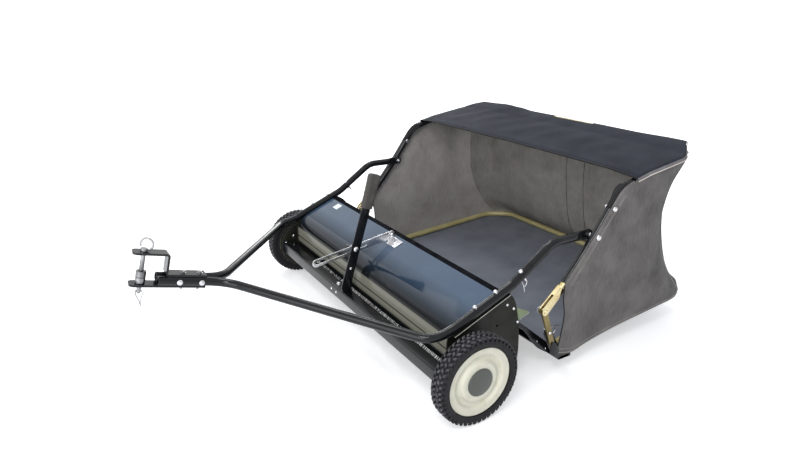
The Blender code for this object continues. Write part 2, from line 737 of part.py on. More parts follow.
def build_hitch(root):
    """Z-shaped upper bracket, flat lower bracket, two spacer sleeves and two bolts."""
    t = HITCH_PLATE
    seat = TUBE_RADIUS + GAP
    top = HITCH_TOP_HEIGHT
    outline = [
        (HITCH_TIP, top), (HITCH_DROP - t, top), (HITCH_DROP - t, seat + 0.004), (HITCH_DROP - t + 0.004, seat),
        (HITCH_END, seat), (HITCH_END, seat + t), (HITCH_DROP + 0.004, seat + t), (HITCH_DROP, seat + t + 0.004),
        (HITCH_DROP, top + t - 0.005), (HITCH_DROP - 0.005, top + t), (HITCH_TIP, top + t),
    ]
    half = HITCH_PLATE_HALF_WIDTH
    upper = prism("hitch_upper_bracket", [hitch_side(*p) for p in outline], -half, half)
    lower_outline = [(HITCH_TIP, -seat - t), (HITCH_END, -seat - t), (HITCH_END, -seat), (HITCH_TIP, -seat)]
    lower = prism("hitch_lower_bracket", [hitch_side(*p) for p in lower_outline], -half, half)
    pin_hole = HITCH_PIN_RADIUS + 2.0 * GAP
    for plate in (upper, lower):
        cut(plate, rod("hole", hitch_point(0.0, -0.05), hitch_point(0.0, 0.1), pin_hole, 16))
        for s in HITCH_BOLTS:
            cut(plate, rod("hole", hitch_point(s, -0.05), hitch_point(s, 0.05), HITCH_BOLT_RADIUS + GAP, 12))
        for corner in (1.0, -1.0):
            cut(plate, tip_knife(corner))
    root.add(upper, "black_paint")
    root.add(lower, "black_paint")
    base = -seat + GAP
    for i, name in enumerate(("hitch_sleeve_lower", "hitch_sleeve_upper")):
        low = base + i * (HITCH_SLEEVE_HEIGHT + GAP)
        sleeve = rod(name, hitch_point(0.0, low), hitch_point(0.0, low + HITCH_SLEEVE_HEIGHT), HITCH_SLEEVE_RADIUS, 20)
        cut(sleeve, rod("bore", hitch_point(0.0, low - 0.01), hitch_point(0.0, low + 0.03), pin_hole, 16))
        root.add(sleeve, "zinc")
    for name, s in zip(("hitch_bolt_front", "hitch_bolt_rear"), HITCH_BOLTS):
        root.add(hitch_bolt(name, s), "zinc")


def build_hitch_pin(pin_body):
    """Hitch pin with its ring handle, and the hairpin clip through its lower end."""
    top = HITCH_TOP_HEIGHT + HITCH_PLATE
    pin = rod("hitch_pin", hitch_point(0.0, HITCH_PIN_END), hitch_point(0.0, top + 0.004), HITCH_PIN_RADIUS, 16)
    combine(pin, rod("head", hitch_point(0.0, top + 2 * GAP), hitch_point(0.0, top + 0.0085), 0.0098, 16))
    centre = hitch_point(0.011, top + 0.0215)
    loop_radius = 0.0165
    lean = Vector((0.45, math.cos(HITCH_TILT), -math.sin(HITCH_TILT))).normalized()
    rise = (hitch_point(0.0, 1.0) - hitch_point(0.0, 0.0)).normalized()
    angles = [math.radians(-100.0 + 300.0 * i / 15) for i in range(16)]
    path = [centre + lean * (loop_radius * math.cos(a)) + rise * (loop_radius * math.sin(a)) for a in angles]
    combine(pin, sweep("loop", path, 0.0028, 6))
    cut(pin, rod("hole", hitch_point(-0.02, HITCH_CLIP_N), hitch_point(0.02, HITCH_CLIP_N), 0.0019, 10))
    pin_body.add(pin, "zinc")


def build_hitch_clip(clip_body):
    """Wire clip that hangs from the cross hole of the hitch pin, its legs pressed together."""
    level = HITCH_CLIP_N
    outline = [
        (0.0022, level - 0.0450), (0.0026, level - 0.0300), (0.0080, level - 0.0130), (0.0084, level - 0.0035),
        (0.0066, level), (-0.0066, level), (-0.0084, level - 0.0035), (-0.0080, level - 0.0130),
        (-0.0010, level - 0.0300), (-0.0014, level - 0.0400),
    ]
    path = [hitch_point(s, n) for s, n in outline]
    clip_body.add(sweep("hitch_clip", path, 0.0013, 8), "zinc")


# Height frame

def build_axle_plate(frame, side):
    """Dished dust cover that carries the wheel stud and swings on the brush shaft."""
    profile = [
        (AXLE_PLATE_X, 0.0),
        (AXLE_PLATE_X, DUST_RIM_RADIUS),
        (DUST_RIM_X, DUST_RIM_RADIUS),
        (DUST_RIM_X, DUST_RIM_RADIUS - AXLE_PLATE_THICKNESS),
        (AXLE_PLATE_X + AXLE_PLATE_THICKNESS, DUST_RIM_RADIUS - AXLE_PLATE_THICKNESS),
        (AXLE_PLATE_X + AXLE_PLATE_THICKNESS, 0.018),
        (TYRE_INNER_X + 0.0015, 0.0125),
        (TYRE_INNER_X + 0.0015, AXLE_RADIUS),
        (TYRE_OUTER_X, AXLE_RADIUS),
        (TYRE_OUTER_X, 0.0),
    ]
    profile = [(side * x, r) for x, r in profile]
    plate = revolve(f"axle_plate_{side_name(side)}", profile, AXLE, 28)
    hub = sorted((side * (AXLE_PLATE_X - 0.004), side * (AXLE_PLATE_X + 0.0045)))
    combine(plate, disc("hub", BRUSH, *hub, 0.0135, 16))
    hole = sorted((side * (AXLE_PLATE_X - 0.01), side * (AXLE_PLATE_X + 0.01)))
    cut(plate, disc("hole", BRUSH, *hole, SHAFT_RADIUS + GAP, 16))
    frame.add(plate, "plate_black")


def build_cross_member(frame):
    """Front channel between the two axle plates."""
    front, rear = MEMBER_FRONT_Y, MEMBER_FRONT_Y + MEMBER_DEPTH
    top, bottom, t = MEMBER_TOP_Z, MEMBER_TOP_Z - MEMBER_HEIGHT, MEMBER_SHEET
    outline = [
        (front, bottom + 0.004), (front + 0.004, bottom), (rear, bottom), (rear, bottom + t),
        (front + t, bottom + t), (front + t, top - t), (rear, top - t), (rear, top),
        (front + 0.004, top), (front, top - 0.004),
    ]
    half = AXLE_PLATE_X - GAP
    frame.add(prism("cross_member", outline, -half, half), "black_paint")


def build_lever(frame):
    """Flat height lever with its foot bracket, moulded grip and clamp bolt."""
    bar = [
        along(LEVER_FOOT, LEVER_LINE, 0.0015, -LEVER_HALF_WIDTH + 0.006),
        along(LEVER_FOOT, LEVER_LINE, 0.012, -LEVER_HALF_WIDTH),
        along(LEVER_FOOT, LEVER_LINE, GRIP_START - 0.004, -LEVER_HALF_WIDTH + 0.001),
        along(LEVER_FOOT, LEVER_LINE, GRIP_START + 0.006, -0.0115),
        along(LEVER_FOOT, LEVER_LINE, LEVER_LENGTH, -0.0115),
        along(LEVER_FOOT, LEVER_LINE, LEVER_LENGTH, 0.0115),
        along(LEVER_FOOT, LEVER_LINE, GRIP_START + 0.006, 0.0115),
        along(LEVER_FOOT, LEVER_LINE, GRIP_START - 0.004, LEVER_HALF_WIDTH - 0.001),
        along(LEVER_FOOT, LEVER_LINE, 0.012, LEVER_HALF_WIDTH),
        along(LEVER_FOOT, LEVER_LINE, 0.0015, LEVER_HALF_WIDTH - 0.006),
    ]
    lever = prism("height_lever", bar, -LEVER_HALF_THICKNESS, LEVER_HALF_THICKNESS)
    cut(lever, disc("hole", LEVER_BOLT, -0.01, 0.01, LEVER_BOLT_RADIUS + GAP, 16))
    frame.add(lever, "black_paint")

    grip_outline = [
        along(LEVER_FOOT, LEVER_LINE, GRIP_START, -0.0185),
        along(LEVER_FOOT, LEVER_LINE, GRIP_START + 0.012, -0.0205),
        along(LEVER_FOOT, LEVER_LINE, GRIP_END - 0.045, -0.0205),
        along(LEVER_FOOT, LEVER_LINE, GRIP_END - 0.012, -GRIP_HALF_WIDTH),
        along(LEVER_FOOT, LEVER_LINE, GRIP_END - 0.003, -0.0195),
        along(LEVER_FOOT, LEVER_LINE, GRIP_END, -0.012),
        along(LEVER_FOOT, LEVER_LINE, GRIP_END, 0.012),
        along(LEVER_FOOT, LEVER_LINE, GRIP_END - 0.003, 0.0195),
        along(LEVER_FOOT, LEVER_LINE, GRIP_END - 0.012, GRIP_HALF_WIDTH),
        along(LEVER_FOOT, LEVER_LINE, GRIP_END - 0.045, 0.0195),
        along(LEVER_FOOT, LEVER_LINE, GRIP_START + 0.012, 0.0205),
        along(LEVER_FOOT, LEVER_LINE, GRIP_START, 0.0185),
    ]
    grip = prism("lever_grip", grip_outline, -GRIP_HALF_THICKNESS, GRIP_HALF_THICKNESS, bevel=0.004)
    pocket = [
        along(LEVER_FOOT, LEVER_LINE, GRIP_START - 0.004, -0.0155),
        along(LEVER_FOOT, LEVER_LINE, GRIP_START + 0.006, -0.0120),
        along(LEVER_FOOT, LEVER_LINE, LEVER_LENGTH + GAP, -0.0120),
        along(LEVER_FOOT, LEVER_LINE, LEVER_LENGTH + GAP, 0.0120),
        along(LEVER_FOOT, LEVER_LINE, GRIP_START + 0.006, 0.0120),
        along(LEVER_FOOT, LEVER_LINE, GRIP_START - 0.004, 0.0155),
    ]
    half = LEVER_HALF_THICKNESS + GAP
    cut(grip, prism("pocket", pocket, -half, half))
    frame.add(grip, "grip_black")

    right = -LEVER_HALF_THICKNESS - GAP
    ear = [
        (MEMBER_FRONT_Y + 0.001, MEMBER_TOP_Z + GAP),
        (MEMBER_FRONT_Y + MEMBER_DEPTH - 0.001, MEMBER_TOP_Z + GAP),
        along(LEVER_FOOT, LEVER_LINE, 0.075, -0.013),
        along(LEVER_FOOT, LEVER_LINE, 0.092, -0.008),
        along(LEVER_FOOT, LEVER_LINE, 0.092, 0.008),
        along(LEVER_FOOT, LEVER_LINE, 0.075, 0.013),
    ]
    bracket = prism("lever_bracket", ear, right - 0.003, right)
    base = box(
        "base",
        (right - 0.082, MEMBER_FRONT_Y + 0.001, MEMBER_TOP_Z + GAP),
        (right - 0.001, MEMBER_FRONT_Y + MEMBER_DEPTH - 0.001, MEMBER_TOP_Z + 0.0033),
    )
    combine(bracket, base)
    for x in (right - 0.025, right - 0.062):
        head = sweep("head", [Vector((x, -0.0725, 0.152)), Vector((x, -0.0725, 0.1585)), Vector((x, -0.0725, 0.1605))],
                     0.0072, 10, [(1.0, 1.0), (1.0, 1.0), (0.6, 0.6)])
        combine(bracket, head)
    frame.add(bracket, "black_paint")

    bolt = disc("lever_bolt", LEVER_BOLT, -0.031, LEVER_HALF_THICKNESS + 0.002, LEVER_BOLT_RADIUS, 16)
    left = LEVER_HALF_THICKNESS + GAP
    dome = [(left, 0.0), (left, 0.0098), (left + 0.0022, 0.0092), (left + 0.0044, 0.0060), (left + 0.0052, 0.0)]
    combine(bolt, revolve("dome", dome, LEVER_BOLT, 16))
    frame.add(bolt, "zinc")


def build_knob(knob_body):
    """Wing knob that clamps the strap against the lever."""
    right = -LEVER_HALF_THICKNESS - STRAP_THICKNESS - 3.0 * GAP
    boss = [
        (right, LEVER_BOLT_RADIUS + GAP), (right, 0.0115), (right - 0.004, 0.0115),
        (right - 0.015, 0.0080), (right - 0.015, LEVER_BOLT_RADIUS + GAP),
    ]
    knob = revolve("wing_knob", boss, LEVER_BOLT, 16)
    for sign in (1.0, -1.0):
        inner = along(LEVER_BOLT, LEVER_LINE, 0.0, sign * 0.0075)
        outer = along(LEVER_BOLT, LEVER_LINE, 0.0, sign * 0.0225)
        wing = prism("wing", stadium(inner, outer, 0.0025, 0.0042, 5), right - 0.021, right - 0.004)
        combine(knob, wing)
    knob_body.add(knob, "grip_black")


def build_strap(strap_body):
    """Slotted strap from the cover bracket to the lever."""
    right = -LEVER_HALF_THICKNESS - GAP
    front = along(STRAP_PIVOT, STRAP_LINE, STRAP_LENGTH - STRAP_HALF_WIDTH)
    strap = prism("height_strap", stadium(STRAP_PIVOT, front, STRAP_HALF_WIDTH, STRAP_HALF_WIDTH, 8),
                  right - STRAP_THICKNESS, right)
    slot = stadium(along(STRAP_PIVOT, STRAP_LINE, STRAP_SLOT_START), along(STRAP_PIVOT, STRAP_LINE, STRAP_SLOT_END),
                   STRAP_SLOT_HALF_WIDTH, STRAP_SLOT_HALF_WIDTH, 6)
    cut(strap, prism("slot", slot, right - 0.01, right + 0.01))
    cut(strap, disc("hole", STRAP_PIVOT, right - 0.01, right + 0.01, LEVER_BOLT_RADIUS + GAP, 16))
    strap_body.add(strap, "zinc")


def build_strap_bracket(root):
    """Bent bracket on the cover with the strap's pivot bolt."""
    line = (SLOPE_COS, TUBE_SLOPE * SLOPE_COS)
    seat_y = STRAP_PIVOT[0] - 0.004
    seat = (seat_y, cover_z(seat_y) + GAP / SLOPE_COS)
    left = -LEVER_HALF_THICKNESS
    thickness = 0.0025
    base = [along(seat, line, -0.018), along(seat, line, 0.018), along(seat, line, 0.018, thickness),
            along(seat, line, -0.018, thickness)]
    bracket = prism("strap_bracket", base, left, left + 0.052)
    ear = [along(seat, line, -0.015), along(seat, line, 0.015)] + arc(STRAP_PIVOT, 0.011, 20.0, 205.0, 8)
    combine(bracket, prism("ear", ear, left, left + thickness))
    cut(bracket, disc("hole", STRAP_PIVOT, -0.02, 0.02, LEVER_BOLT_RADIUS + GAP, 16))
    fixing = along(seat, line, -0.002)
    start = Vector((left + 0.034, *along(fixing, line, 0.0, thickness - 0.0005)))
    end = Vector((left + 0.034, *along(fixing, line, 0.0, thickness + 0.005)))
    combine(bracket, rod("head", start, end, 0.0075, 8))
    root.add(bracket, "zinc")

    right = -LEVER_HALF_THICKNESS - GAP - STRAP_THICKNESS - GAP
    pivot = disc("strap_pivot_bolt", STRAP_PIVOT, right - 0.007, left + thickness + 0.004, LEVER_BOLT_RADIUS, 16)
    combine(pivot, disc("nut", STRAP_PIVOT, right - 0.0055, right, 0.0075, 6))
    combine(pivot, disc("head", STRAP_PIVOT, left + thickness + GAP, left + thickness + 0.0058, 0.0078, 12))
    root.add(pivot, "zinc")


# Wheels and gears

def tooth_outline(centre, teeth, tip, root, tip_half, root_half, phase):
    """Side-view outline of a gear with straight-flanked teeth, angles in degrees."""
    outline = []
    for k in range(teeth):
        middle = phase + 360.0 * k / teeth
        for radius, offset in ((root, -root_half), (tip, -tip_half), (tip, tip_half), (root, root_half)):
            angle = math.radians(middle + offset)
            outline.append((centre[0] + radius * math.cos(angle), centre[1] + radius * math.sin(angle)))
    return outline


def tread_wave():
    """Radius of the tyre's tread: staggered lugs on its two shoulders."""
    middle = TYRE_INNER_X + TYRE_WIDTH / 2.0

    def wave(x, radius, i):
        if radius < WHEEL_RADIUS - 0.006:
            return radius
        outer_half = abs(x) > middle
        lug = (i % 2 == 0) if outer_half else (i % 2 == 1)
        return radius if lug else radius - TREAD_DEPTH

    return wave


def build_tyre(wheel, side):
    """Semi-pneumatic tyre with a rounded section and lugged shoulders."""
    inner, outer, r = TYRE_INNER_X, TYRE_OUTER_X, WHEEL_RADIUS
    seat = RIM_RADIUS + GAP
    profile = [
        (inner, seat), (inner, r - 0.010), (inner + 0.003, r - 0.0035), (inner + 0.010, r),
        (outer - 0.010, r), (outer - 0.003, r - 0.0035), (outer, r - 0.010), (outer, seat),
    ]
    profile = [(side * x, radius) for x, radius in profile]
    tyre = revolve(f"tyre_{side_name(side)}", profile, AXLE, WHEEL_STEPS, tread_wave())
    wheel.add(tyre, "rubber")


def build_wheel_disc(wheel, side):
    """Moulded wheel with a grooved face, a hub tube and the ring gear inside its rim."""
    face, wall = TYRE_OUTER_X - WHEEL_FACE_SETBACK, RIM_WALL
    groove, deep = GROOVE_RADIUS, GROOVE_DEPTH
    profile = [
        (TYRE_INNER_X + 0.0005, RIM_RADIUS), (face, RIM_RADIUS), (face, groove + 0.012), (face - deep, groove),
        (face, groove - 0.015), (face, HUB_BORE_RADIUS), (GEAR_INNER_X - 0.0005, HUB_BORE_RADIUS),
        (GEAR_INNER_X - 0.0005, 0.0150), (face - wall, groove - 0.019), (face - wall - deep, groove),
        (face - wall, groove + 0.016), (face - wall, RIM_RADIUS - wall), (TYRE_INNER_X + 0.0005, RIM_RADIUS - wall),
    ]
    profile = [(side * x, radius) for x, radius in profile]
    rim = revolve(f"wheel_{side_name(side)}", profile, AXLE, WHEEL_STEPS)
    pitch = MODULE * RING_TEETH / 2.0
    ends = sorted((side * GEAR_INNER_X, side * (GEAR_INNER_X + GEAR_WIDTH)))
    gear = disc("ring_gear", AXLE, *ends, RIM_RADIUS - wall / 2.0, WHEEL_STEPS)
    teeth = tooth_outline(AXLE, RING_TEETH, pitch - 0.8 * MODULE, pitch + MODULE, 0.70, 1.90,
                          GEAR_ANGLE + 180.0 / RING_TEETH)
    cut(gear, prism("teeth", teeth, ends[0] - 0.01, ends[1] + 0.01))
    combine(rim, gear)
    wheel.add(rim, "ivory")


def build_hub_cap(wheel, side):
    """Domed cap over the end of the wheel stud."""
    seat = TYRE_OUTER_X - WHEEL_FACE_SETBACK + GAP
    r = HUB_CAP_RADIUS
    profile = [
        (seat, r), (seat + 0.0026, r - 0.0008), (seat + 0.0050, r - 0.010), (seat + 0.0063, 0.0),
        (seat + 0.0050, 0.0), (seat + 0.0038, r - 0.012), (seat, r - 0.0028),
    ]
    profile = [(side * x, radius) for x, radius in profile]
    wheel.add(revolve(f"hub_cap_{side_name(side)}", profile, AXLE, 24), "cap_grey")


def build_pinion(body, side):
    """Ten-tooth pinion with its hub, in mesh with the ring gear."""
    pitch = MODULE * PINION_TEETH / 2.0
    outline = tooth_outline(BRUSH, PINION_TEETH, pitch + 0.8 * MODULE, pitch - MODULE, 3.0, 12.5, GEAR_ANGLE)
    ends = sorted((side * (GEAR_INNER_X + 0.0005), side * (GEAR_INNER_X + GEAR_WIDTH)))
    pinion = prism(f"pinion_{side_name(side)}", outline, *ends)
    hub = sorted((side * (AXLE_PLATE_X + 0.0050), side * (GEAR_INNER_X + 0.001)))
    combine(pinion, disc("hub", BRUSH, *hub, 0.0112, 12))
    bore = sorted((side * PLATE_OUTER_X, side * TYRE_OUTER_X))
    cut(pinion, disc("bore", BRUSH, *bore, SHAFT_RADIUS + GAP, 12))
    body.add(pinion, "nylon")


# Brush

def build_brush_shaft(brush):
    """Steel shaft through bushes, plates and pinions."""
    brush.add(disc("brush_shaft", BRUSH, -SHAFT_HALF_LENGTH, SHAFT_HALF_LENGTH, SHAFT_RADIUS, 16), "zinc")


def build_brush_core(brush):
    """Four channels round the shaft that hold the bristle strips."""
    clear = STRIP_BACK_HALF_WIDTH + GAP
    wall = clear + 0.002
    base = STRIP_BASE_RADIUS - GAP
    arm, inner = 0.0022, COLLAR_RADIUS - 0.001
    outline = []
    for k in range(4):
        angle = math.radians(45.0 + 90.0 * k)
        out = (math.cos(angle), math.sin(angle))
        for radius, offset in (
            (inner, -arm), (base - 0.003, -arm), (base - 0.003, -wall), (base + 0.008, -wall), (base + 0.008, -clear),
            (base, -clear), (base, clear), (base + 0.008, clear), (base + 0.008, wall), (base - 0.003, wall),
            (base - 0.003, arm), (inner, arm),
        ):
            outline.append(along(BRUSH, out, radius, offset))
    core = prism("brush_core", outline, -BRUSH_HALF_LENGTH, BRUSH_HALF_LENGTH)
    collar = BRUSH_HALF_LENGTH + COLLAR_LENGTH
    combine(core, disc("collar", BRUSH, -collar, collar, COLLAR_RADIUS, 16))
    cut(core, disc("bore", BRUSH, -PLATE_INNER_X, PLATE_INNER_X, SHAFT_RADIUS + GAP, 16))
    brush.add(core, "plate_black")


def build_bristles(brush, index):
    """One strip: a backing in its channel and two rows of strands that fan out."""
    angle = math.radians(45.0 + 90.0 * index)
    out = (math.cos(angle), math.sin(angle))
    half, base = STRIP_BACK_HALF_WIDTH, STRIP_BASE_RADIUS
    top = base + STRIP_BACK_HEIGHT
    backing = [along(BRUSH, out, base, -half), along(BRUSH, out, top, -half),
               along(BRUSH, out, top, half), along(BRUSH, out, base, half)]
    length = BRUSH_HALF_LENGTH - 0.004
    strip = prism(f"bristle_strip_{index + 1}", backing, -length, length)
    builder = bmesh.new()
    pitch = 2.0 * (length - 0.006) / (BRISTLE_COLUMNS - 1)
    for row in range(BRISTLE_ROWS):
        lean = (row - (BRISTLE_ROWS - 1) / 2.0) * 2.0
        foot_offset = lean * half * 0.45
        tip_offset = lean * 0.0105
        for column in range(BRISTLE_COLUMNS):
            x = -length + 0.006 + pitch * column
            tip_x = x + 0.0035 * math.sin(2.4 * column + 1.7 * row + index)
            reach = BRUSH_RADIUS - 0.0015 - 0.0015 * math.cos(1.9 * column + row)
            rings = []
            for radius, offset, centre_x, width in (
                (top - 0.003, foot_offset, x, BRISTLE_WIDTH), (reach, tip_offset, tip_x, BRISTLE_WIDTH * 0.7),
            ):
                corners = []
                for turn in (90.0, 210.0, 330.0):
                    across = width * 0.577 * math.cos(math.radians(turn))
                    beside = width * 0.577 * math.sin(math.radians(turn))
                    y, z = along(BRUSH, out, radius, offset + beside)
                    corners.append(builder.verts.new((centre_x + across, y, z)))
                rings.append(corners)
            low, high = rings
            builder.faces.new(low)
            builder.faces.new(high)
            for k in range(3):
                j = (k + 1) % 3
                builder.faces.new((low[k], low[j], high[j], high[k]))
    combine(strip, solid("strands", builder))
    brush.add(strip, "bristle", smooth=False)


# Hopper, upper frame

def leg_path(side):
    """Centre line of one black side tube: up the front and back along the top."""
    x = side * LEG_X
    corners = [
        Vector((x, *LEG_LOWER_END)),
        Vector((x, *PIVOT)),
        Vector((x, 0.526, 0.548)),
        Vector((x, 0.600, rail_z(0.600))),
        Vector((x, RAIL_JOINT_Y, rail_z(RAIL_JOINT_Y))),
    ]
    return rounded_path(corners, [0.20, 0.075, 0.055])


def build_leg(upper, side):
    """Black side tube with a sleeve bore at both ends and the pivot hole."""
    path = leg_path(side)
    tube = sweep(f"hopper_side_tube_{side_name(side)}", path, LEG_RADIUS)
    for end, inner in ((path[0], path[1]), (path[-1], path[-2])):
        direction = (inner - end).normalized()
        bore = rod("bore", end - direction * 0.01, end + direction * 0.036, RAIL_RADIUS + GAP, 10)
        cut(tube, bore)
    reach = sorted((side * (LEG_X - 2.0 * LEG_RADIUS), side * (LEG_X + 2.0 * LEG_RADIUS)))
    cut(tube, disc("hole", PIVOT, *reach, PIVOT_HOLE_RADIUS, 12))
    upper.add(tube, "black_paint")


def build_foot(upper, side):
    """Gold fork under the side tube, with the elbow pin the link folds on."""
    x = side * LEG_X
    path = leg_path(side)
    direction = (path[1] - path[0]).normalized()
    line = unit(ELBOW, LEG_LOWER_END)
    length = math.dist(ELBOW, LEG_LOWER_END)
    body = stadium(ELBOW, along(ELBOW, line, length - 0.0165), 0.0125, 0.0100)
    half = FOOT_HALF_WIDTH
    foot = prism(f"hopper_fork_{side_name(side)}", body, x - half, x + half)
    cut_half = LINK_HALF_THICKNESS + GAP
    slot = stadium(along(ELBOW, line, -0.03), along(ELBOW, line, 0.034), 0.02, 0.02, 4)
    cut(foot, prism("slot", slot, x - cut_half, x + cut_half))
    spigot = rod("spigot", path[0] - direction * 0.014, path[0] + direction * 0.034, RAIL_RADIUS, 10)
    combine(foot, spigot)
    combine(foot, disc("pin", ELBOW, x - half - 0.002, x + half + 0.002, 0.0045, 12))
    upper.add(foot, "yellow_zinc")


def rail_corners(side):
    """Corners of the gold rail's centre line from its end in a side tube to the rear's middle."""
    path = leg_path(side)
    direction = (path[-1] - path[-2]).normalized()
    return [
        path[-1] - direction * 0.033,
        Vector((side * LEG_X, *RAIL_END)),
        Vector((side * TOP_REAR_HALF, TOP_REAR_Y, TOP_REAR_Z)),
        Vector((0.0, TOP_REAR_Y, TOP_REAR_Z + TOP_REAR_CROWN)),
    ]


def build_top_rail(upper):
    """Gold tube across the top rear, plugged into both side tubes."""
    bend = RAIL_BEND_RADIUS
    corners = rail_corners(1.0) + list(reversed(rail_corners(-1.0)[:-1]))
    path = rounded_path(corners, [bend, bend, 0.0, bend, bend], 13.0)
    upper.add(sweep("hopper_top_rail", path, RAIL_RADIUS), "yellow_zinc")


def build_pivot_bolt(upper, side):
    """Bolt that hangs the hopper on the arm's eye."""
    inner = side * (TUBE_X - ARM_EYE_HALF - GAP)
    outer = side * (FABRIC_X + FABRIC + 3.0 * GAP)
    shank = sorted((inner - side * 0.008, outer))
    bolt = disc(f"hopper_pivot_bolt_{side_name(side)}", PIVOT, *shank, PIVOT_BOLT_RADIUS, 12)
    combine(bolt, disc("nut", PIVOT, *sorted((inner - side * 0.006, inner)), 0.0075, 6))
    spacer = (side * (TUBE_X + ARM_EYE_HALF + GAP), side * (LEG_X - LEG_RADIUS - GAP))
    combine(bolt, disc("spacer", PIVOT, *sorted(spacer), 0.0072, 12))
    head = [(outer - side * 0.0005, 0.0), (outer - side * 0.0005, 0.0092), (outer + side * 0.003, 0.0080),
            (outer + side * 0.0048, 0.0)]
    combine(bolt, revolve("head", head, PIVOT, 12))
    upper.add(bolt, "zinc")


# Hopper cloth

def rail_clearance(y):
    """Lowest height at y that clears the rails under the top cloth."""
    front = Vector((LEG_X, TOP_FRONT[0], rail_z(TOP_FRONT[0])))
    path = rounded_path([front] + rail_corners(1.0)[1:3], [RAIL_BEND_RADIUS], 3.0)
    height = 0.0
    for a, b in zip(path, path[1:]):
        steps = math.ceil((b - a).length / 0.001)
        for k in range(steps + 1):
            point = a.lerp(b, k / steps)
            radius = (LEG_RADIUS if point.y <= RAIL_END[0] else RAIL_RADIUS) + 2.0 * GAP
            if abs(y - point.y) < radius:
                height = max(height, point.z + math.sqrt(radius ** 2 - (y - point.y) ** 2))
    return height


def top_height(y, side_share):
    """Underside height of the top cloth; side_share runs from -1 to 1 across it."""
    reached = min(y, TOP_REAR_Y)
    edge = rail_clearance(reached)
    if y > RAIL_END[0] and abs(side_share) > 0.95:
        edge -= 0.0080
    crown = 0.004 + 0.006 * math.sin(math.pi * (reached - TOP_HEM_Y) / (TOP_REAR_Y - TOP_HEM_Y))
    return edge + crown * (1.0 - side_share * side_share)


def build_top_cloth(upper):
    """Top panel from the front hem to the rear rail, notched over the rail's middle."""
    rows = []
    for share in (0.0, 0.26, 0.53, 0.78, 1.0):
        rows.append((TOP_HEM_Y + share * (RAIL_END[0] - TOP_HEM_Y), FABRIC_X + TOP_OVERHANG))
    for step, inset in ((-0.027, 0.0368), (-0.009, 0.0520), (-0.003, 0.0573), (0.013, 0.0883), (0.0175, 0.1463)):
        rows.append((TOP_REAR_Y + step, FABRIC_X - inset))
    shares = [-1.0, -0.93, -0.75, -0.50, -0.25, -0.052, 0.10, 0.260, 0.50, 0.75, 0.93, 1.0]
    notch_columns, notch_row = (5, 6), len(rows) - 2
    grid = []
    for i, (y, half) in enumerate(rows):
        tuck = 0.0065 if i == len(rows) - 1 else 0.0
        grid.append([Vector((s * half, y, top_height(y, s) - tuck)) for s in shares])
    top = sheet("hopper_top_cloth", grid, FABRIC, keep=lambda r, c: not (r == notch_row and c in notch_columns))
    upper.add(top, "top_cloth")


# The back cloth from bottom to top. Each row is a share of the way from the floor frame to the top
# rail, then its corner's place outside the frame tube and its y and z past that share, then its
# middle's y and z past that share
BACK_ROWS = (
    (0.00, -0.0040, -0.0240, -0.0140, 0.0128, -0.0130),
    (0.00, -0.0025, -0.0380, -0.0020, 0.0136, -0.0010),
    (0.00, -0.0010, -0.0500, 0.0100, 0.0090, 0.0105),
    (0.00, 0.0000, -0.0650, 0.0250, -0.0160, 0.0250),
    (0.15, 0.0000, -0.0806, -0.0062, -0.0493, -0.0061),
    (0.25, 0.0000, -0.1090, 0.0031, -0.0658, 0.0133),
    (0.45, -0.0020, -0.1188, 0.0015, -0.0618, 0.0119),
    (0.60, 0.0000, -0.1044, 0.0153, -0.0540, 0.0258),
    (0.80, 0.0080, -0.0642, 0.0038, -0.0280, 0.0144),
    (0.95, 0.0200, -0.0188, -0.0124, 0.0056, 0.0034),
    (1.00, 0.0230, 0.0000, -0.0163, 0.0122, 0.0040),
)


def back_rows():
    """Corner (x, y, z) and middle (y, z) of each row of the back cloth."""
    foot = Vector((FRAME_REAR_Y, frame_z(FRAME_REAR_Y)))
    corner_y = TOP_REAR_Y - CORNER_SETBACK
    corner_head = Vector((corner_y, rail_clearance(corner_y)))
    middle_head = Vector((TOP_REAR_Y, TOP_REAR_Z))
    rows = []
    for share, out, corner_dy, corner_dz, middle_dy, middle_dz in BACK_ROWS:
        corner = foot.lerp(corner_head, share) + Vector((corner_dy, corner_dz))
        middle = foot.lerp(middle_head, share) + Vector((middle_dy, middle_dz))
        rows.append(((FRAME_X + out, *corner), tuple(middle)))
    return rows


def rear_corner_curve(side):
    """Sewn corner between side and back cloth, bottom to top, drawn in at its middle."""
    return [(side * x, y, z) for (x, y, z), _ in back_rows()]


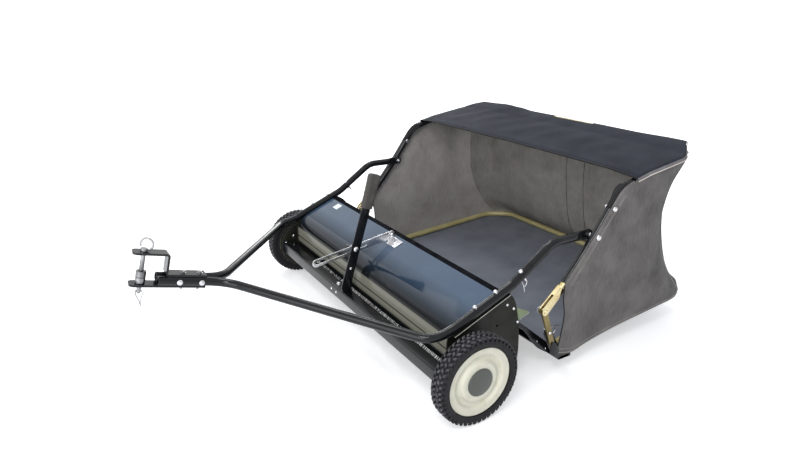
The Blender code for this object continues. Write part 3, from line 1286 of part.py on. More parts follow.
def build_side_cloth(upper, side):
    """Mesh side panel between the side tube, the lower frame and the rear corner."""
    def at(inset, y, z):
        """Point so far inside the panel's upper part."""
        return (side * (FABRIC_X - inset), y, z)

    corner = rear_corner_curve(side)
    front = [
        at(0.0123, 0.340, 0.068), at(0.0103, 0.349, 0.130), at(0.0043, 0.349, 0.205), at(0.0, 0.336, 0.290),
        at(0.0, 0.396, 0.370), at(0.0, 0.446, 0.431), at(0.0, 0.502, 0.500), at(0.0, TOP_HEM_Y - 0.010, 0.574),
    ]
    bottom = [
        front[0], at(0.0153, 0.400, 0.0600), at(0.0283, 0.480, 0.0630), at(0.0373, 0.590, 0.071),
        at(0.0413, 0.700, 0.079), at(0.0433, 0.830, 0.089), at(0.0463, 0.920, 0.098), corner[0],
    ]
    lift = LEG_RADIUS - 0.0015
    top = [front[-1]]
    top += [at(0.0, y, rail_z(y) + lift) for y in (0.620, 0.680, 0.740)]
    top += [at(0.002, RAIL_END[0] - 0.004, rail_z(RAIL_END[0] - 0.004) + lift), corner[-1]]
    grid = patch(bottom, top, front, corner, 7, len(BACK_ROWS) - 1)
    if side < 0:
        grid = [list(reversed(row)) for row in grid]
    cloth = sheet(f"hopper_side_cloth_{side_name(side)}", grid, FABRIC)
    hole = sorted((side * (FABRIC_X - 0.01), side * (FABRIC_X + 0.01)))
    cut(cloth, disc("hole", PIVOT, *hole, CLOTH_HOLE_RADIUS, 12))
    upper.add(cloth, "mesh_cloth")


def build_back_cloth(upper):
    """Mesh back panel, drawn in between the top rail and the lower frame."""
    # Share of the half width, and share of the corner's set-back, from the middle outwards
    columns = [(0.0, 0.0), (0.27, 0.0), (0.54, 0.0), (0.84, 0.0), (0.90, 0.10), (0.96, 0.45), (1.0, 1.0)]
    spread = [(-u, v) for u, v in reversed(columns[1:])] + columns
    grid = []
    for (corner_x, corner_y, corner_z), (middle_y, middle_z) in back_rows():
        line = []
        for share, setback in spread:
            y = middle_y + (corner_y + 0.0016 - middle_y) * setback
            z = middle_z + (corner_z - middle_z) * setback
            line.append(Vector((-share * (corner_x - 0.0012), y, z)))
        grid.append(line)
    upper.add(sheet("hopper_back_cloth", grid, FABRIC), "mesh_cloth")


# Hopper, lower frame

def build_lower_frame(lower):
    """Gold U-shaped tube round the floor, with chamfered rear corners."""
    front, rear, c = FRAME_FRONT_Y, FRAME_REAR_Y, FRAME_CHAMFER
    corners = [
        Vector((FRAME_X, front, frame_z(front))),
        Vector((FRAME_X, rear - c, frame_z(rear - c))),
        Vector((FRAME_X - c, rear, frame_z(rear))),
        Vector((-FRAME_X + c, rear, frame_z(rear))),
        Vector((-FRAME_X, rear - c, frame_z(rear - c))),
        Vector((-FRAME_X, front, frame_z(front))),
    ]
    path = rounded_path(corners, [FRAME_BEND_RADIUS] * 4, 15.0)
    lower.add(sweep("hopper_lower_frame", path, FRAME_RADIUS), "yellow_zinc")


def build_floor(lower):
    """Floor sheet under the frame, whose front apron rises to the deflector."""
    rear = FRAME_REAR_Y + FRAME_RADIUS - 0.001
    straight = rear - FRAME_CHAMFER
    rows = [(*APRON_FRONT, FLOOR_HALF - 0.001), (*APRON_MIDDLE, FLOOR_HALF - 0.001), (*APRON_FOOT, FLOOR_HALF)]
    for share in (0.0, 0.30, 0.66, 1.0):
        y = FRAME_FRONT_Y + share * (straight - FRAME_FRONT_Y)
        rows.append((y, floor_z(y), FLOOR_HALF))
    rows.append((rear, floor_z(rear), FLOOR_HALF - FRAME_CHAMFER))
    grid = []
    for y, z, width in rows:
        grid.append([Vector((width * s, y, z)) for s in (1.0, 0.5, 0.0, -0.5, -1.0)])
    lower.add(sheet("hopper_floor", grid, FLOOR_SHEET), "floor_cloth")


def build_front_bar(lower):
    """Black bar under the floor's front edge, with bent-up ears and apron brackets."""
    top = floor_z(FRAME_FRONT_Y) - FLOOR_SHEET - 1.2 * GAP
    low, front, rear = top - 0.010, 0.352, 0.402
    reach = LEG_X - LINK_HALF_THICKNESS - GAP
    outline = [(front, low), (rear, low), (rear, top), (front + 0.012, top), (front, top - 0.004)]
    bar = prism("hopper_front_bar", outline, -reach, reach)
    bracket = [
        (0.2148, 0.1905), (0.2190, 0.1915), (0.330, 0.0985), (0.372, 0.0640), (0.3795, 0.0600), (0.3795, low + 0.001),
        (0.352, low + 0.001), (0.330, 0.0620), (0.305, 0.0790), (0.284, 0.1010), (0.268, 0.1260), (0.240, 0.1600),
        (0.2146, 0.1800),
    ]
    ear = [
        (0.395, low), (0.352, low), (0.318, 0.085), (0.283, 0.150), (0.286, 0.166), (0.298, 0.171), (0.309, 0.163),
        (0.340, 0.105), (0.395, 0.062),
    ]
    inner = FLOOR_HALF + 0.001
    for side in (1.0, -1.0):
        combine(bar, prism("bracket", bracket, *sorted((side * inner, side * (inner + BAR_SHEET)))))
        combine(bar, prism("ear", ear, *sorted((side * (reach - 0.004), side * reach))))
    lower.add(bar, "black_paint")


def build_link(lower, side):
    """Gold link from the elbow pin down to the front bar's ear."""
    x = side * LEG_X
    low_end = (0.322, 0.088)
    outline = stadium(ELBOW, low_end, 0.0110, 0.0095)
    half = LINK_HALF_THICKNESS
    link = prism(f"hopper_link_{side_name(side)}", outline, x - half, x + half)
    cut(link, disc("hole", ELBOW, x - 0.02, x + 0.02, 0.0045 + GAP, 16))
    lower.add(link, "yellow_zinc")


def build_all():
    """Build every body of the sweeper."""
    clear_scene()
    root = Body("housing")
    frame = Body("height_frame", (0.0, *BRUSH))
    brush = Body("brush", (0.0, *BRUSH), frame)
    pinion = Body("pinion_right", (-GEAR_INNER_X, *BRUSH), frame)
    strap = Body("height_strap", (0.0, *STRAP_PIVOT))
    knob = Body("wing_knob", (0.0, *LEVER_BOLT), frame)
    upper = Body("hopper_upper", (0.0, *PIVOT))
    lower = Body("hopper_lower", (0.0, *ELBOW), upper)
    pin = Body("hitch_pin", hitch_point(0.0, 0.0))
    clip = Body("hitch_clip", hitch_point(0.0, HITCH_CLIP_N), pin)

    build_cover(root)
    build_deflector(root)
    build_hitch(root)
    build_strap_bracket(root)
    build_cross_member(frame)
    build_lever(frame)
    build_knob(knob)
    build_strap(strap)
    build_brush_shaft(brush)
    build_brush_core(brush)
    for index in range(4):
        build_bristles(brush, index)
    for side in (1.0, -1.0):
        name = side_name(side)
        wheel = Body(f"wheel_{name}", (side * (TYRE_INNER_X + TYRE_WIDTH / 2.0), *AXLE), frame)
        build_end_plate(root, side)
        build_bush(root, side)
        build_drawbar_tube(root, side)
        build_arm(root, side)
        build_axle_plate(frame, side)
        build_tyre(wheel, side)
        build_wheel_disc(wheel, side)
        build_hub_cap(wheel, side)
        build_pinion(brush if side > 0 else pinion, side)
        build_leg(upper, side)
        build_foot(upper, side)
        build_pivot_bolt(upper, side)
        build_side_cloth(upper, side)
        build_link(lower, side)
    build_top_rail(upper)
    build_top_cloth(upper)
    build_back_cloth(upper)
    build_lower_frame(lower)
    build_floor(lower)
    build_front_bar(lower)
    build_hitch_pin(pin)
    build_hitch_clip(clip)


if __name__ == "__main__":
    build_all()
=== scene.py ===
"""Dressed model of a tow-behind lawn sweeper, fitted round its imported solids.

Each sub-assembly is a class with its sizes as fields and methods that build its pieces. Lengths
are in metres, +Y runs from the hitch to the hopper, +Z is up and the machine's left side is +X.
"""

import json
import logging
import math
import random
from dataclasses import dataclass, field
from enum import Enum
from typing import Callable, Iterable, Sequence

import bmesh
import bpy
from mathutils import Matrix, Vector

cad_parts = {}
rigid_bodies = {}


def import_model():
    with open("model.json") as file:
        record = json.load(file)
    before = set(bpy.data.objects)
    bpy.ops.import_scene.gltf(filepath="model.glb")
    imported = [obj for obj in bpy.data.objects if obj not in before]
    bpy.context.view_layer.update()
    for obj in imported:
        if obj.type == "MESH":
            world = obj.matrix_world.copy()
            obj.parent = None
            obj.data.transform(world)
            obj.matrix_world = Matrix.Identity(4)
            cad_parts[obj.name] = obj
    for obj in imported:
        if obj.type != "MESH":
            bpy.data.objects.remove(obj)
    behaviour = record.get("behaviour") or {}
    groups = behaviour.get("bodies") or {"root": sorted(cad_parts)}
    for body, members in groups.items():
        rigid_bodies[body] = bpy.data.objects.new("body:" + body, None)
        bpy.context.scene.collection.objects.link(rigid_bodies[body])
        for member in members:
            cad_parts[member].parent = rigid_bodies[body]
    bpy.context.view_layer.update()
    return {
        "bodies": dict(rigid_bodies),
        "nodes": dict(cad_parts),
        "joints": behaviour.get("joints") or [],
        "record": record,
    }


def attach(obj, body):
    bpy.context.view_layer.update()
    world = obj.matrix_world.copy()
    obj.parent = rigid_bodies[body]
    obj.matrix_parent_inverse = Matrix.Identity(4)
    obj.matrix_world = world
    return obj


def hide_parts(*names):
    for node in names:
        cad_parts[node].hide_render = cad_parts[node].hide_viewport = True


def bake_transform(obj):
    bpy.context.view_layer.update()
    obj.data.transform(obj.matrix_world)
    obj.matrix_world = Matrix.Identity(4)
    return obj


LOG = logging.getLogger("lawn_sweeper")

Colour = tuple[float, float, float]
SidePoint = tuple[float, float]


class Side(Enum):
    """The two sides of the machine; the value is the sign of X."""

    LEFT = 1.0
    RIGHT = -1.0

    @property
    def label(self) -> str:
        """The side's name as the nodes are named."""
        return self.name.lower()


class Part(Enum):
    """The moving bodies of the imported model."""

    HOUSING = "housing"
    HEIGHT_FRAME = "height_frame"
    WHEEL_LEFT = "wheel_left"
    WHEEL_RIGHT = "wheel_right"
    BRUSH = "brush"
    PINION_RIGHT = "pinion_right"
    STRAP = "height_strap"
    KNOB = "wing_knob"
    UPPER = "hopper_upper"
    LOWER = "hopper_lower"
    PIN = "hitch_pin"
    CLIP = "hitch_clip"


class Plane(Enum):
    """The plane a woven panel lies in, as the two axes its yarns follow."""

    SIDE = (1, 2)
    BACK = (0, 2)
    TOP = (0, 1)


class Head(Enum):
    """Kinds of bolt head."""

    DOME = "dome"
    HEX = "hex"


# Finishes


class Bench:
    """The node tree of one material, with short calls for the nodes that finishes share."""

    def __init__(self, material: bpy.types.Material) -> None:
        """Open a material's tree.

        Args:
            material: the material whose nodes are added to.
        """
        self.tree = material.node_tree
        self.shader = self.tree.nodes["Principled BSDF"]
        self.place = self.tree.nodes.new("ShaderNodeTexCoord").outputs["Object"]

    def wire(self, value: object, socket: bpy.types.NodeSocket) -> None:
        """Link a socket to another, or write a plain value on it.

        Args:
            value: an output socket, a number or a colour.
            socket: the input that takes it.
        """
        if isinstance(value, bpy.types.NodeSocket):
            self.tree.links.new(value, socket)
        else:
            socket.default_value = value

    def stretch(self, scale: Colour) -> bpy.types.NodeSocket:
        """Object coordinates scaled on each axis.

        Args:
            scale: factor for x, y and z.

        Returns:
            The stretched coordinate.
        """
        mapping = self.tree.nodes.new("ShaderNodeMapping")
        mapping.inputs["Scale"].default_value = scale
        self.wire(self.place, mapping.inputs["Vector"])
        return mapping.outputs["Vector"]

    def noise(self, scale: float, detail: float = 3.0, place: object = None) -> bpy.types.NodeSocket:
        """Cloudy noise from 0 to 1.

        Args:
            scale: how many clouds fit in a metre.
            detail: how many finer layers it has.
            place: coordinate to use instead of the object's own.

        Returns:
            The noise value.
        """
        node = self.tree.nodes.new("ShaderNodeTexNoise")
        node.inputs["Scale"].default_value = scale
        node.inputs["Detail"].default_value = detail
        self.wire(place or self.place, node.inputs["Vector"])
        return node.outputs["Fac"]

    def along(self, axis: int) -> bpy.types.NodeSocket:
        """One of the object's own coordinates, in metres."""
        node = self.tree.nodes.new("ShaderNodeSeparateXYZ")
        self.wire(self.place, node.inputs["Vector"])
        return node.outputs[axis]

    def yarn(self, axis: int, pitch: float) -> bpy.types.NodeSocket:
        """Rounded ridges of yarn across one axis.

        Args:
            axis: 0, 1 or 2 for the axis that the ridges follow one another on.
            pitch: distance from one yarn to the next.

        Returns:
            The height of the ridges, from 0 to 1.
        """
        node = self.tree.nodes.new("ShaderNodeTexWave")
        node.bands_direction = "XYZ"[axis]
        node.inputs["Scale"].default_value = math.pi / (10.0 * pitch)
        node.inputs["Distortion"].default_value = 0.6
        node.inputs["Detail"].default_value = 1.0
        self.wire(self.place, node.inputs["Vector"])
        return node.outputs["Fac"]

    def reach(self, value: object, low: float, high: float, first: float,
            last: float) -> bpy.types.NodeSocket:
        """Map a value from one range to another, held at its ends.

        Args:
            value: what is mapped.
            low: start of the range it comes in.
            high: end of that range.
            first: result at low.
            last: result at high.

        Returns:
            The mapped value.
        """
        node = self.tree.nodes.new("ShaderNodeMapRange")
        self.wire(value, node.inputs["Value"])
        for name, number in (("From Min", low), ("From Max", high), ("To Min", first), ("To Max", last)):
            node.inputs[name].default_value = number
        return node.outputs["Result"]

    def sum(self, kind: str, first: object, second: object, third: object = 0.0) -> bpy.types.NodeSocket:
        """Join two or three values with a Math operation.

        Args:
            kind: the operation, such as MULTIPLY.
            first: the first value.
            second: the second value.
            third: the value added by MULTIPLY_ADD.

        Returns:
            The result.
        """
        node = self.tree.nodes.new("ShaderNodeMath")
        node.operation = kind
        self.wire(first, node.inputs[0])
        self.wire(second, node.inputs[1])
        self.wire(third, node.inputs[2])
        return node.outputs["Value"]

    def tint(self, factor: object, low: Colour, high: Colour) -> bpy.types.NodeSocket:
        """Colour between two colours.

        Args:
            factor: 0 for the first colour and 1 for the second.
            low: the first colour.
            high: the second colour.

        Returns:
            The mixed colour.
        """
        node = self.tree.nodes.new("ShaderNodeMix")
        node.data_type = "RGBA"
        self.wire(factor, node.inputs["Factor"])
        node.inputs["A"].default_value = (*low, 1.0)
        node.inputs["B"].default_value = (*high, 1.0)
        return [socket for socket in node.outputs if socket.type == "RGBA"][0]

    def relief(self, height: object, depth: float, strength: float = 1.0) -> None:
        """Raise the surface by a height map.

        Args:
            height: value from 0 to 1.
            depth: how high a value of 1 stands, in metres.
            strength: how strongly it bends the light.
        """
        node = self.tree.nodes.new("ShaderNodeBump")
        node.inputs["Strength"].default_value = strength
        node.inputs["Distance"].default_value = depth
        self.wire(height, node.inputs["Height"])
        self.wire(node.outputs["Normal"], self.shader.inputs["Normal"])

    def set(self, name: str, value: object) -> None:
        """Write or link one socket of the shader."""
        self.wire(value, self.shader.inputs[name])


@dataclass(frozen=True)
class Finish:
    """What a surface is made of.

    Attributes:
        name: the material's name.
        slot: the record's slot it belongs to; not used.
        colour: its main colour, linear.
        worn: its colour where it is dusty, rubbed or faded.
        roughness: how dull it is.
    """

    name: str
    slot: str
    colour: Colour
    worn: Colour
    roughness: float

    def material(self) -> bpy.types.Material:
        """Make the material, or return the one already made."""
        if self.name in bpy.data.materials:
            return bpy.data.materials[self.name]
        made = bpy.data.materials.new(self.name)
        made.use_nodes = True
        made.diffuse_color = (*self.colour, 1.0)
        self.dress(Bench(made))
        return made

    def dress(self, bench: Bench) -> None:
        """Lay the finish's nodes; each kind of finish has its own."""
        patches = bench.reach(bench.noise(9.0), 0.42, 0.72, 0.0, 1.0)
        bench.set("Base Color", bench.tint(patches, self.colour, self.worn))
        bench.set("Roughness", self.roughness)


@dataclass(frozen=True)
class Enamel(Finish):
    """Sprayed gloss paint, with orange peel and a film of dust."""

    peel: float = 0.00004
    coat: float = 0.05
    shine: float = 0.16

    def dress(self, bench: Bench) -> None:
        """Lay the paint, its clear gloss and the dust on it."""
        dust = bench.reach(bench.noise(14.0, 6.0), 0.45, 0.80, 0.0, 0.8)
        bench.set("Base Color", bench.tint(dust, self.colour, self.worn))
        smear = bench.noise(32.0, 4.0)
        bench.set("Roughness", bench.reach(smear, 0.3, 0.8, self.roughness * 0.7, self.roughness * 1.6))
        bench.set("Specular IOR Level", self.shine)
        bench.set("Coat Weight", self.coat)
        bench.set("Coat Roughness", 0.05)
        bench.relief(bench.noise(520.0, 1.0), self.peel, 0.5)


@dataclass(frozen=True)
class CoverEnamel(Enamel):
    """Deep gloss paint with a coat that thins to the front, and painted reflections: sky blue to the rear,
    near black to the front, a khaki ground band on the front face.
    """

    # Near-black front end of the painted reflection grade, and where the grade starts and ends.
    front: Colour = (0.0055, 0.0065, 0.0070)
    front_y: float = -0.028
    rear_y: float = 0.060
    # Khaki painted reflection of the ground on the cover's front face, between two heights with a soft fade.
    ground_reflection: Colour = (0.165, 0.162, 0.130)
    ground_reflection_top: float = 0.217
    ground_reflection_foot: float = 0.155
    ground_reflection_fade: float = 0.005
    # Height and half width of a thin painted dark line through that band.
    dark_line_height: float = 0.181
    dark_line_half: float = 0.0035

    def dress(self, bench: Bench) -> None:
        """Lay the paint, grade it from a near-black front to the pale rear as a painted reflection, then lay
        the painted ground reflection on the front face.
        """
        super().dress(bench)
        # Painted reflection: the colour grades from the near-black front to the blue paint at the rear.
        rise = bench.reach(bench.along(1), self.front_y, self.rear_y, 0.0, 1.0)
        paint = bench.shader.inputs["Base Color"].links[0].from_socket
        painted_reflection_grade = self._mixed(bench, rise, self.front, paint)
        # Painted ground reflection: a khaki band on the front face, crossed by a thin painted dark line.
        height = bench.along(2)
        above = bench.reach(height, self.ground_reflection_top - self.ground_reflection_fade, self.ground_reflection_top, 0.0, 1.0)
        below = bench.reach(height, self.ground_reflection_foot, self.ground_reflection_foot + 2.0 * self.ground_reflection_fade, 1.0, 0.0)
        apart = bench.sum("ABSOLUTE", bench.sum("SUBTRACT", height, self.dark_line_height), 0.0)
        line = bench.reach(apart, self.dark_line_half * 0.5, self.dark_line_half, 0.8, 0.0)
        without_ground_reflection = bench.sum("MAXIMUM", bench.sum("MAXIMUM", above, below), line)
        bench.set("Base Color", self._mixed(bench, without_ground_reflection, self.ground_reflection, painted_reflection_grade))
        bench.set("Coat Weight", bench.reach(rise, 0.15, 1.0, 0.03, self.coat))

    @staticmethod
    def _mixed(bench: Bench, share: bpy.types.NodeSocket, plain: Colour,
            other: bpy.types.NodeSocket) -> bpy.types.NodeSocket:
        """Mix a plain colour with a linked one.

        Args:
            bench: the material under work.
            share: how much of the linked colour is taken.
            plain: the plain colour.
            other: the linked colour.

        Returns:
            The mixed colour.
        """
        mix = bench.tree.nodes.new("ShaderNodeMix")
        mix.data_type = "RGBA"
        bench.wire(share, mix.inputs["Factor"])
        colours = [socket for socket in mix.inputs if socket.type == "RGBA"]
        colours[0].default_value = (*plain, 1.0)
        bench.wire(other, colours[1])
        return [socket for socket in mix.outputs if socket.type == "RGBA"][0]


@dataclass(frozen=True)
class Plated(Finish):
    """Zinc plating, bright or passivated yellow, with cloudy spangle and fine scratches."""

    def dress(self, bench: Bench) -> None:
        """Lay the metal, its clouds and its scratches."""
        clouds = bench.reach(bench.noise(17.0, 3.0), 0.30, 0.70, 0.0, 1.0)
        bench.set("Base Color", bench.tint(clouds, self.colour, self.worn))
        scratches = bench.noise(240.0, 2.0, bench.stretch((1.0, 0.15, 0.15)))
        bench.set("Roughness", bench.reach(scratches, 0.3, 0.7, self.roughness * 0.7, self.roughness * 1.5))
        bench.set("Metallic", 1.0)
        bench.relief(scratches, 0.00003, 0.5)


@dataclass(frozen=True)
class Moulded(Finish):
    """Moulded plastic or rubber with a fine grain."""

    grain: float = 0.00005
    grain_scale: float = 700.0
    soft: float = 0.0
    shine: float = 0.20

    def dress(self, bench: Bench) -> None:
        """Lay the plastic, its dirt and its grain."""
        dirt = bench.reach(bench.noise(30.0, 6.0), 0.50, 0.80, 0.0, 1.0)
        bench.set("Base Color", bench.tint(dirt, self.colour, self.worn))
        bench.set("Roughness", bench.reach(bench.noise(60.0), 0.3, 0.7, self.roughness * 0.85,
            self.roughness * 1.15))
        bench.set("Specular IOR Level", self.shine)
        bench.set("Subsurface Weight", self.soft)
        bench.set("Subsurface Scale", 0.004)
        bench.relief(bench.noise(self.grain_scale, 2.0), self.grain, 0.7)


@dataclass(frozen=True)
class TyreRubberDustAndGlint(Moulded):
    """Black rubber whose tread block tops turn pale, partly dust and partly a painted glint."""

    groove_radius: float = 0.1205
    tread_radius: float = 0.1262

    def dress(self, bench: Bench) -> None:
        """Lay the rubber, then the pale block tops by their distance from the axle: dust and painted glint.
        """
        super().dress(bench)
        square = bench.sum("MULTIPLY", bench.along(1), bench.along(1))
        rise = bench.sum("SUBTRACT", bench.along(2), PLACES.axle[1])
        radius = bench.sum("SQRT", bench.sum("MULTIPLY_ADD", rise, rise, square), 0.0)
        # Dust and painted glint: the colour turns pale from the groove radius to the tread radius.
        top = bench.reach(radius, self.groove_radius, self.tread_radius, 0.0, 1.0)
        dust = bench.sum("MULTIPLY", top, bench.reach(bench.noise(90.0, 3.0), 0.35, 0.65, 0.35, 1.0))
        bench.set("Base Color", bench.tint(dust, self.colour, self.worn))


@dataclass(frozen=True)
class Cloth(Finish):
    """Woven cloth: yarns both ways, mottling and long soft streaks along one axis."""

    plane: Plane = Plane.TOP
    pitch: float = 0.0016
    depth: float = 0.00035
    mottle: float = 0.6

    def dress(self, bench: Bench) -> None:
        """Lay the weave, the mottling and the streaks."""
        first, second = self.plane.value
        weave = bench.sum("MULTIPLY", bench.yarn(first, self.pitch), bench.yarn(second, self.pitch))
        scale = [1.0, 1.0, 1.0]
        scale[second] = 0.22
        streaks = bench.noise(170.0, 4.0, bench.stretch(tuple(scale)))
        blotches = bench.noise(11.0, 6.0)
        mixed = bench.sum("MULTIPLY_ADD", streaks, self.mottle, blotches)
        fade = bench.reach(mixed, 0.25 + 0.3 * self.mottle, 0.85 + 0.3 * self.mottle, 0.0, 1.0)
        lit = bench.reach(weave, 0.0, 0.5, -0.16, 0.16)
        bench.set("Base Color", bench.tint(bench.sum("ADD", fade, lit), self.colour, self.worn))
        bench.set("Roughness", self.roughness)
        bench.set("Sheen Weight", 0.03)
        bench.set("Sheen Roughness", 0.5)
        bench.set("Specular IOR Level", 0.10)
        bench.relief(bench.sum("ADD", weave, bench.sum("MULTIPLY", streaks, 0.7)), self.depth, 0.8)


@dataclass(frozen=True)
class Palette:
    """Every finish of the sweeper."""

    tube: Enamel = Enamel("tube_enamel", "black_paint", (0.0045, 0.0050, 0.0062), (0.011, 0.012, 0.014), 0.20,
        0.00003, 0.10, 0.24)
    # The cover's blue is a painted sky reflection on black enamel; the class adds the painted front-to-rear
    # grade and the ground band.
    cover: CoverEnamel = CoverEnamel(
        "cover_enamel", "cover_gloss", (0.040, 0.072, 0.122), (0.052, 0.088, 0.136), 0.10, 0.000012, 0.85,
        0.12
    )
    # Black hem enamel; with the flat strip in Housing.cover it paints the dark band where the hopper is
    # reflected at the cover's rear edge.
    hem: Enamel = Enamel("cover_hem_enamel", "cover_gloss", (0.004, 0.0045, 0.006), (0.008, 0.009, 0.011),
        0.62, 0.00002, 0.0, 0.02)
    plate: Enamel = Enamel("plate_enamel", "plate_black", (0.0110, 0.0118, 0.0080), (0.019, 0.019, 0.014),
        0.42)
    # Pale painted highlight lines along the end plates' flange edges and the ears' lower edges.
    rubbed: Enamel = Enamel("edge_painted_highlight", "plate_black", (0.42, 0.41, 0.37), (0.60, 0.59, 0.54), 0.34)
    gold: Plated = Plated("gold_plating", "yellow_zinc", (0.46, 0.35, 0.14), (0.82, 0.74, 0.50), 0.30)
    frame: Enamel = Enamel("frame_plating", "yellow_zinc", (0.43, 0.37, 0.17), (0.62, 0.56, 0.31), 0.34,
        0.00002, 0.10, 0.5)
    # Darker copy of the gold plating: painted shade on the links.
    link: Plated = Plated("link_plating_painted_shade", "yellow_zinc", (0.105, 0.080, 0.034), (0.27, 0.215, 0.105), 0.34)
    zinc: Plated = Plated("bright_zinc", "zinc", (0.50, 0.51, 0.54), (0.74, 0.74, 0.76), 0.22)
    dull: Plated = Plated("dull_zinc", "zinc", (0.13, 0.13, 0.135), (0.40, 0.40, 0.41), 0.30)
    # Olive painted highlight on the black ears of the end plates, for the light they catch.
    olive: Enamel = Enamel("ear_painted_highlight", "plate_black", (0.215, 0.265, 0.155), (0.29, 0.33, 0.21), 0.40)
    # Black rubber; its tread tops turn pale as dust and painted glint.
    rubber: TyreRubberDustAndGlint = TyreRubberDustAndGlint(
        "tyre_rubber", "rubber", (0.0090, 0.0086, 0.0105), (0.085, 0.084, 0.092), 0.50, 0.00012, 420.0
    )
    ivory: Moulded = Moulded(
        "wheel_ivory", "ivory", (0.66, 0.64, 0.53), (0.55, 0.525, 0.40), 0.36, 0.00002, 500.0, 0.06, 0.45
    )
    cap: Moulded = Moulded(
        "cap_grey", "cap_grey", (0.018, 0.019, 0.017), (0.033, 0.034, 0.031), 0.34, 0.00003, 700.0, 0.0, 0.4
    )
    grip: Moulded = Moulded("grip_foam", "grip_black", (0.070, 0.066, 0.061), (0.115, 0.108, 0.101), 0.78,
        0.0002, 900.0)
    knob: Moulded = Moulded("knob_black", "grip_black", (0.010, 0.010, 0.011), (0.022, 0.022, 0.022), 0.42)
    nylon: Moulded = Moulded(
        "nylon", "nylon", (0.66, 0.64, 0.56), (0.52, 0.49, 0.40), 0.42, 0.00002, 600.0, 0.1, 0.4
    )
    bristle: Moulded = Moulded("bristle", "bristle", (0.010, 0.010, 0.011), (0.030, 0.028, 0.026), 0.45)
    side_mesh: Cloth = Cloth("side_mesh", "mesh_cloth", (0.092, 0.086, 0.084), (0.205, 0.193, 0.187), 0.90,
        Plane.SIDE)
    # Lighter copy of the side mesh for the panel's inner face: painted light inside the hopper.
    side_inner_painted_light: Cloth = Cloth(
        "side_inner_painted_light", "mesh_cloth", (0.235, 0.219, 0.208), (0.385, 0.362, 0.345), 0.90, Plane.SIDE
    )
    back_mesh: Cloth = Cloth("back_mesh", "mesh_cloth", (0.080, 0.075, 0.074), (0.180, 0.171, 0.167), 0.90,
        Plane.BACK)
    # Lighter copy of the back mesh for its inner face, painted light inside the hopper; the corner seams take
    # it too.
    back_lining: Cloth = Cloth(
        "back_lining", "mesh_cloth", (0.185, 0.174, 0.158), (0.320, 0.302, 0.278), 0.90, Plane.BACK
    )
    top: Cloth = Cloth(
        "top_canvas", "top_cloth", (0.015, 0.0175, 0.025), (0.034, 0.038, 0.049), 0.80, Plane.TOP, 0.0011,
        0.00015, 0.25
    )
    floor: Cloth = Cloth(
        "floor_canvas", "floor_cloth", (0.155, 0.166, 0.195), (0.230, 0.245, 0.282), 0.55, Plane.TOP, 0.0010,
        0.0001, 0.15,
    )
    piping: Moulded = Moulded("piping", "mesh_cloth", (0.30, 0.28, 0.26), (0.46, 0.44, 0.41), 0.60, 0.0001,
        800.0)
    edge: Moulded = Moulded("pale_piping", "top_cloth", (0.62, 0.55, 0.51), (0.80, 0.74, 0.70), 0.55, 0.0001,
        800.0)
    band: Moulded = Moulded("seam_band", "top_cloth", (0.16, 0.155, 0.160), (0.25, 0.24, 0.245), 0.75, 0.0001,
        800.0)
    binding: Moulded = Moulded("binding", "top_cloth", (0.010, 0.010, 0.011), (0.024, 0.024, 0.024), 0.70,
        0.0001, 800.0)
    label: Moulded = Moulded("blank_label", "ivory", (0.74, 0.76, 0.78), (0.62, 0.64, 0.66), 0.40, 0.00001,
        300.0)


PAINTS = Palette()


# Side-view geometry


def point_along(origin: SidePoint, line: SidePoint, s: float, n: float = 0.0) -> SidePoint:
    """Step along a direction and to its left, in the side view.

    Args:
        origin: where the step starts, as (y, z).
        line: unit direction.
        s: distance along it.
        n: distance to its left.

    Returns:
        The point reached.
    """
    return (origin[0] + line[0] * s - line[1] * n, origin[1] + line[1] * s + line[0] * n)


def heading(start: SidePoint, end: SidePoint) -> SidePoint:
    """Unit direction from one side-view point to another."""
    length = math.dist(start, end)
    return ((end[0] - start[0]) / length, (end[1] - start[1]) / length)


def side_arc(centre: SidePoint, radius: float, start: float, end: float, steps: int) -> list[SidePoint]:
    """Points of an arc in the side view.

    Args:
        centre: its centre as (y, z).
        radius: its radius.
        start: first angle in degrees from +Y towards +Z.
        end: last angle.
        steps: number of equal steps.

    Returns:
        The points in order.
    """
    turns = [math.radians(start + (end - start) * i / steps) for i in range(steps + 1)]
    return [(centre[0] + radius * math.cos(t), centre[1] + radius * math.sin(t)) for t in turns]


def bar_outline(start: SidePoint, end: SidePoint, first: float, last: float,
        steps: int = 12) -> list[SidePoint]:
    """Outline of a bar with round ends.

    Args:
        start: centre of its first end.
        end: centre of its last end.
        first: radius at the first end.
        last: radius at the last end.
        steps: steps of each round end.

    Returns:
        The outline as (y, z) points.
    """
    angle = math.degrees(math.atan2(end[1] - start[1], end[0] - start[0]))
    outline = side_arc(end, last, angle - 90.0, angle + 90.0, steps)
    return outline + side_arc(start, first, angle + 90.0, angle + 270.0, steps)


def softened(outline: Sequence[SidePoint], radius: float, steps: int = 4) -> list[SidePoint]:
    """Round the corners of a closed outline.

    Args:
        outline: corners in order.
        radius: radius wanted, made smaller where an edge is short.
        steps: steps of each rounded corner.

    Returns:
        The rounded outline.
    """
    result: list[SidePoint] = []
    count = len(outline)
    for i, corner in enumerate(outline):
        here = Vector(corner)
        before, after = Vector(outline[i - 1]), Vector(outline[(i + 1) % count])
        a, b = (before - here), (after - here)
        reach = min(radius, 0.45 * a.length, 0.45 * b.length)
        start, end = here + a.normalized() * reach, here + b.normalized() * reach
        for k in range(steps + 1):
            t = k / steps
            spot = start * (1 - t) ** 2 + here * 2 * t * (1 - t) + end * t * t
            result.append((spot.x, spot.y))
    return result


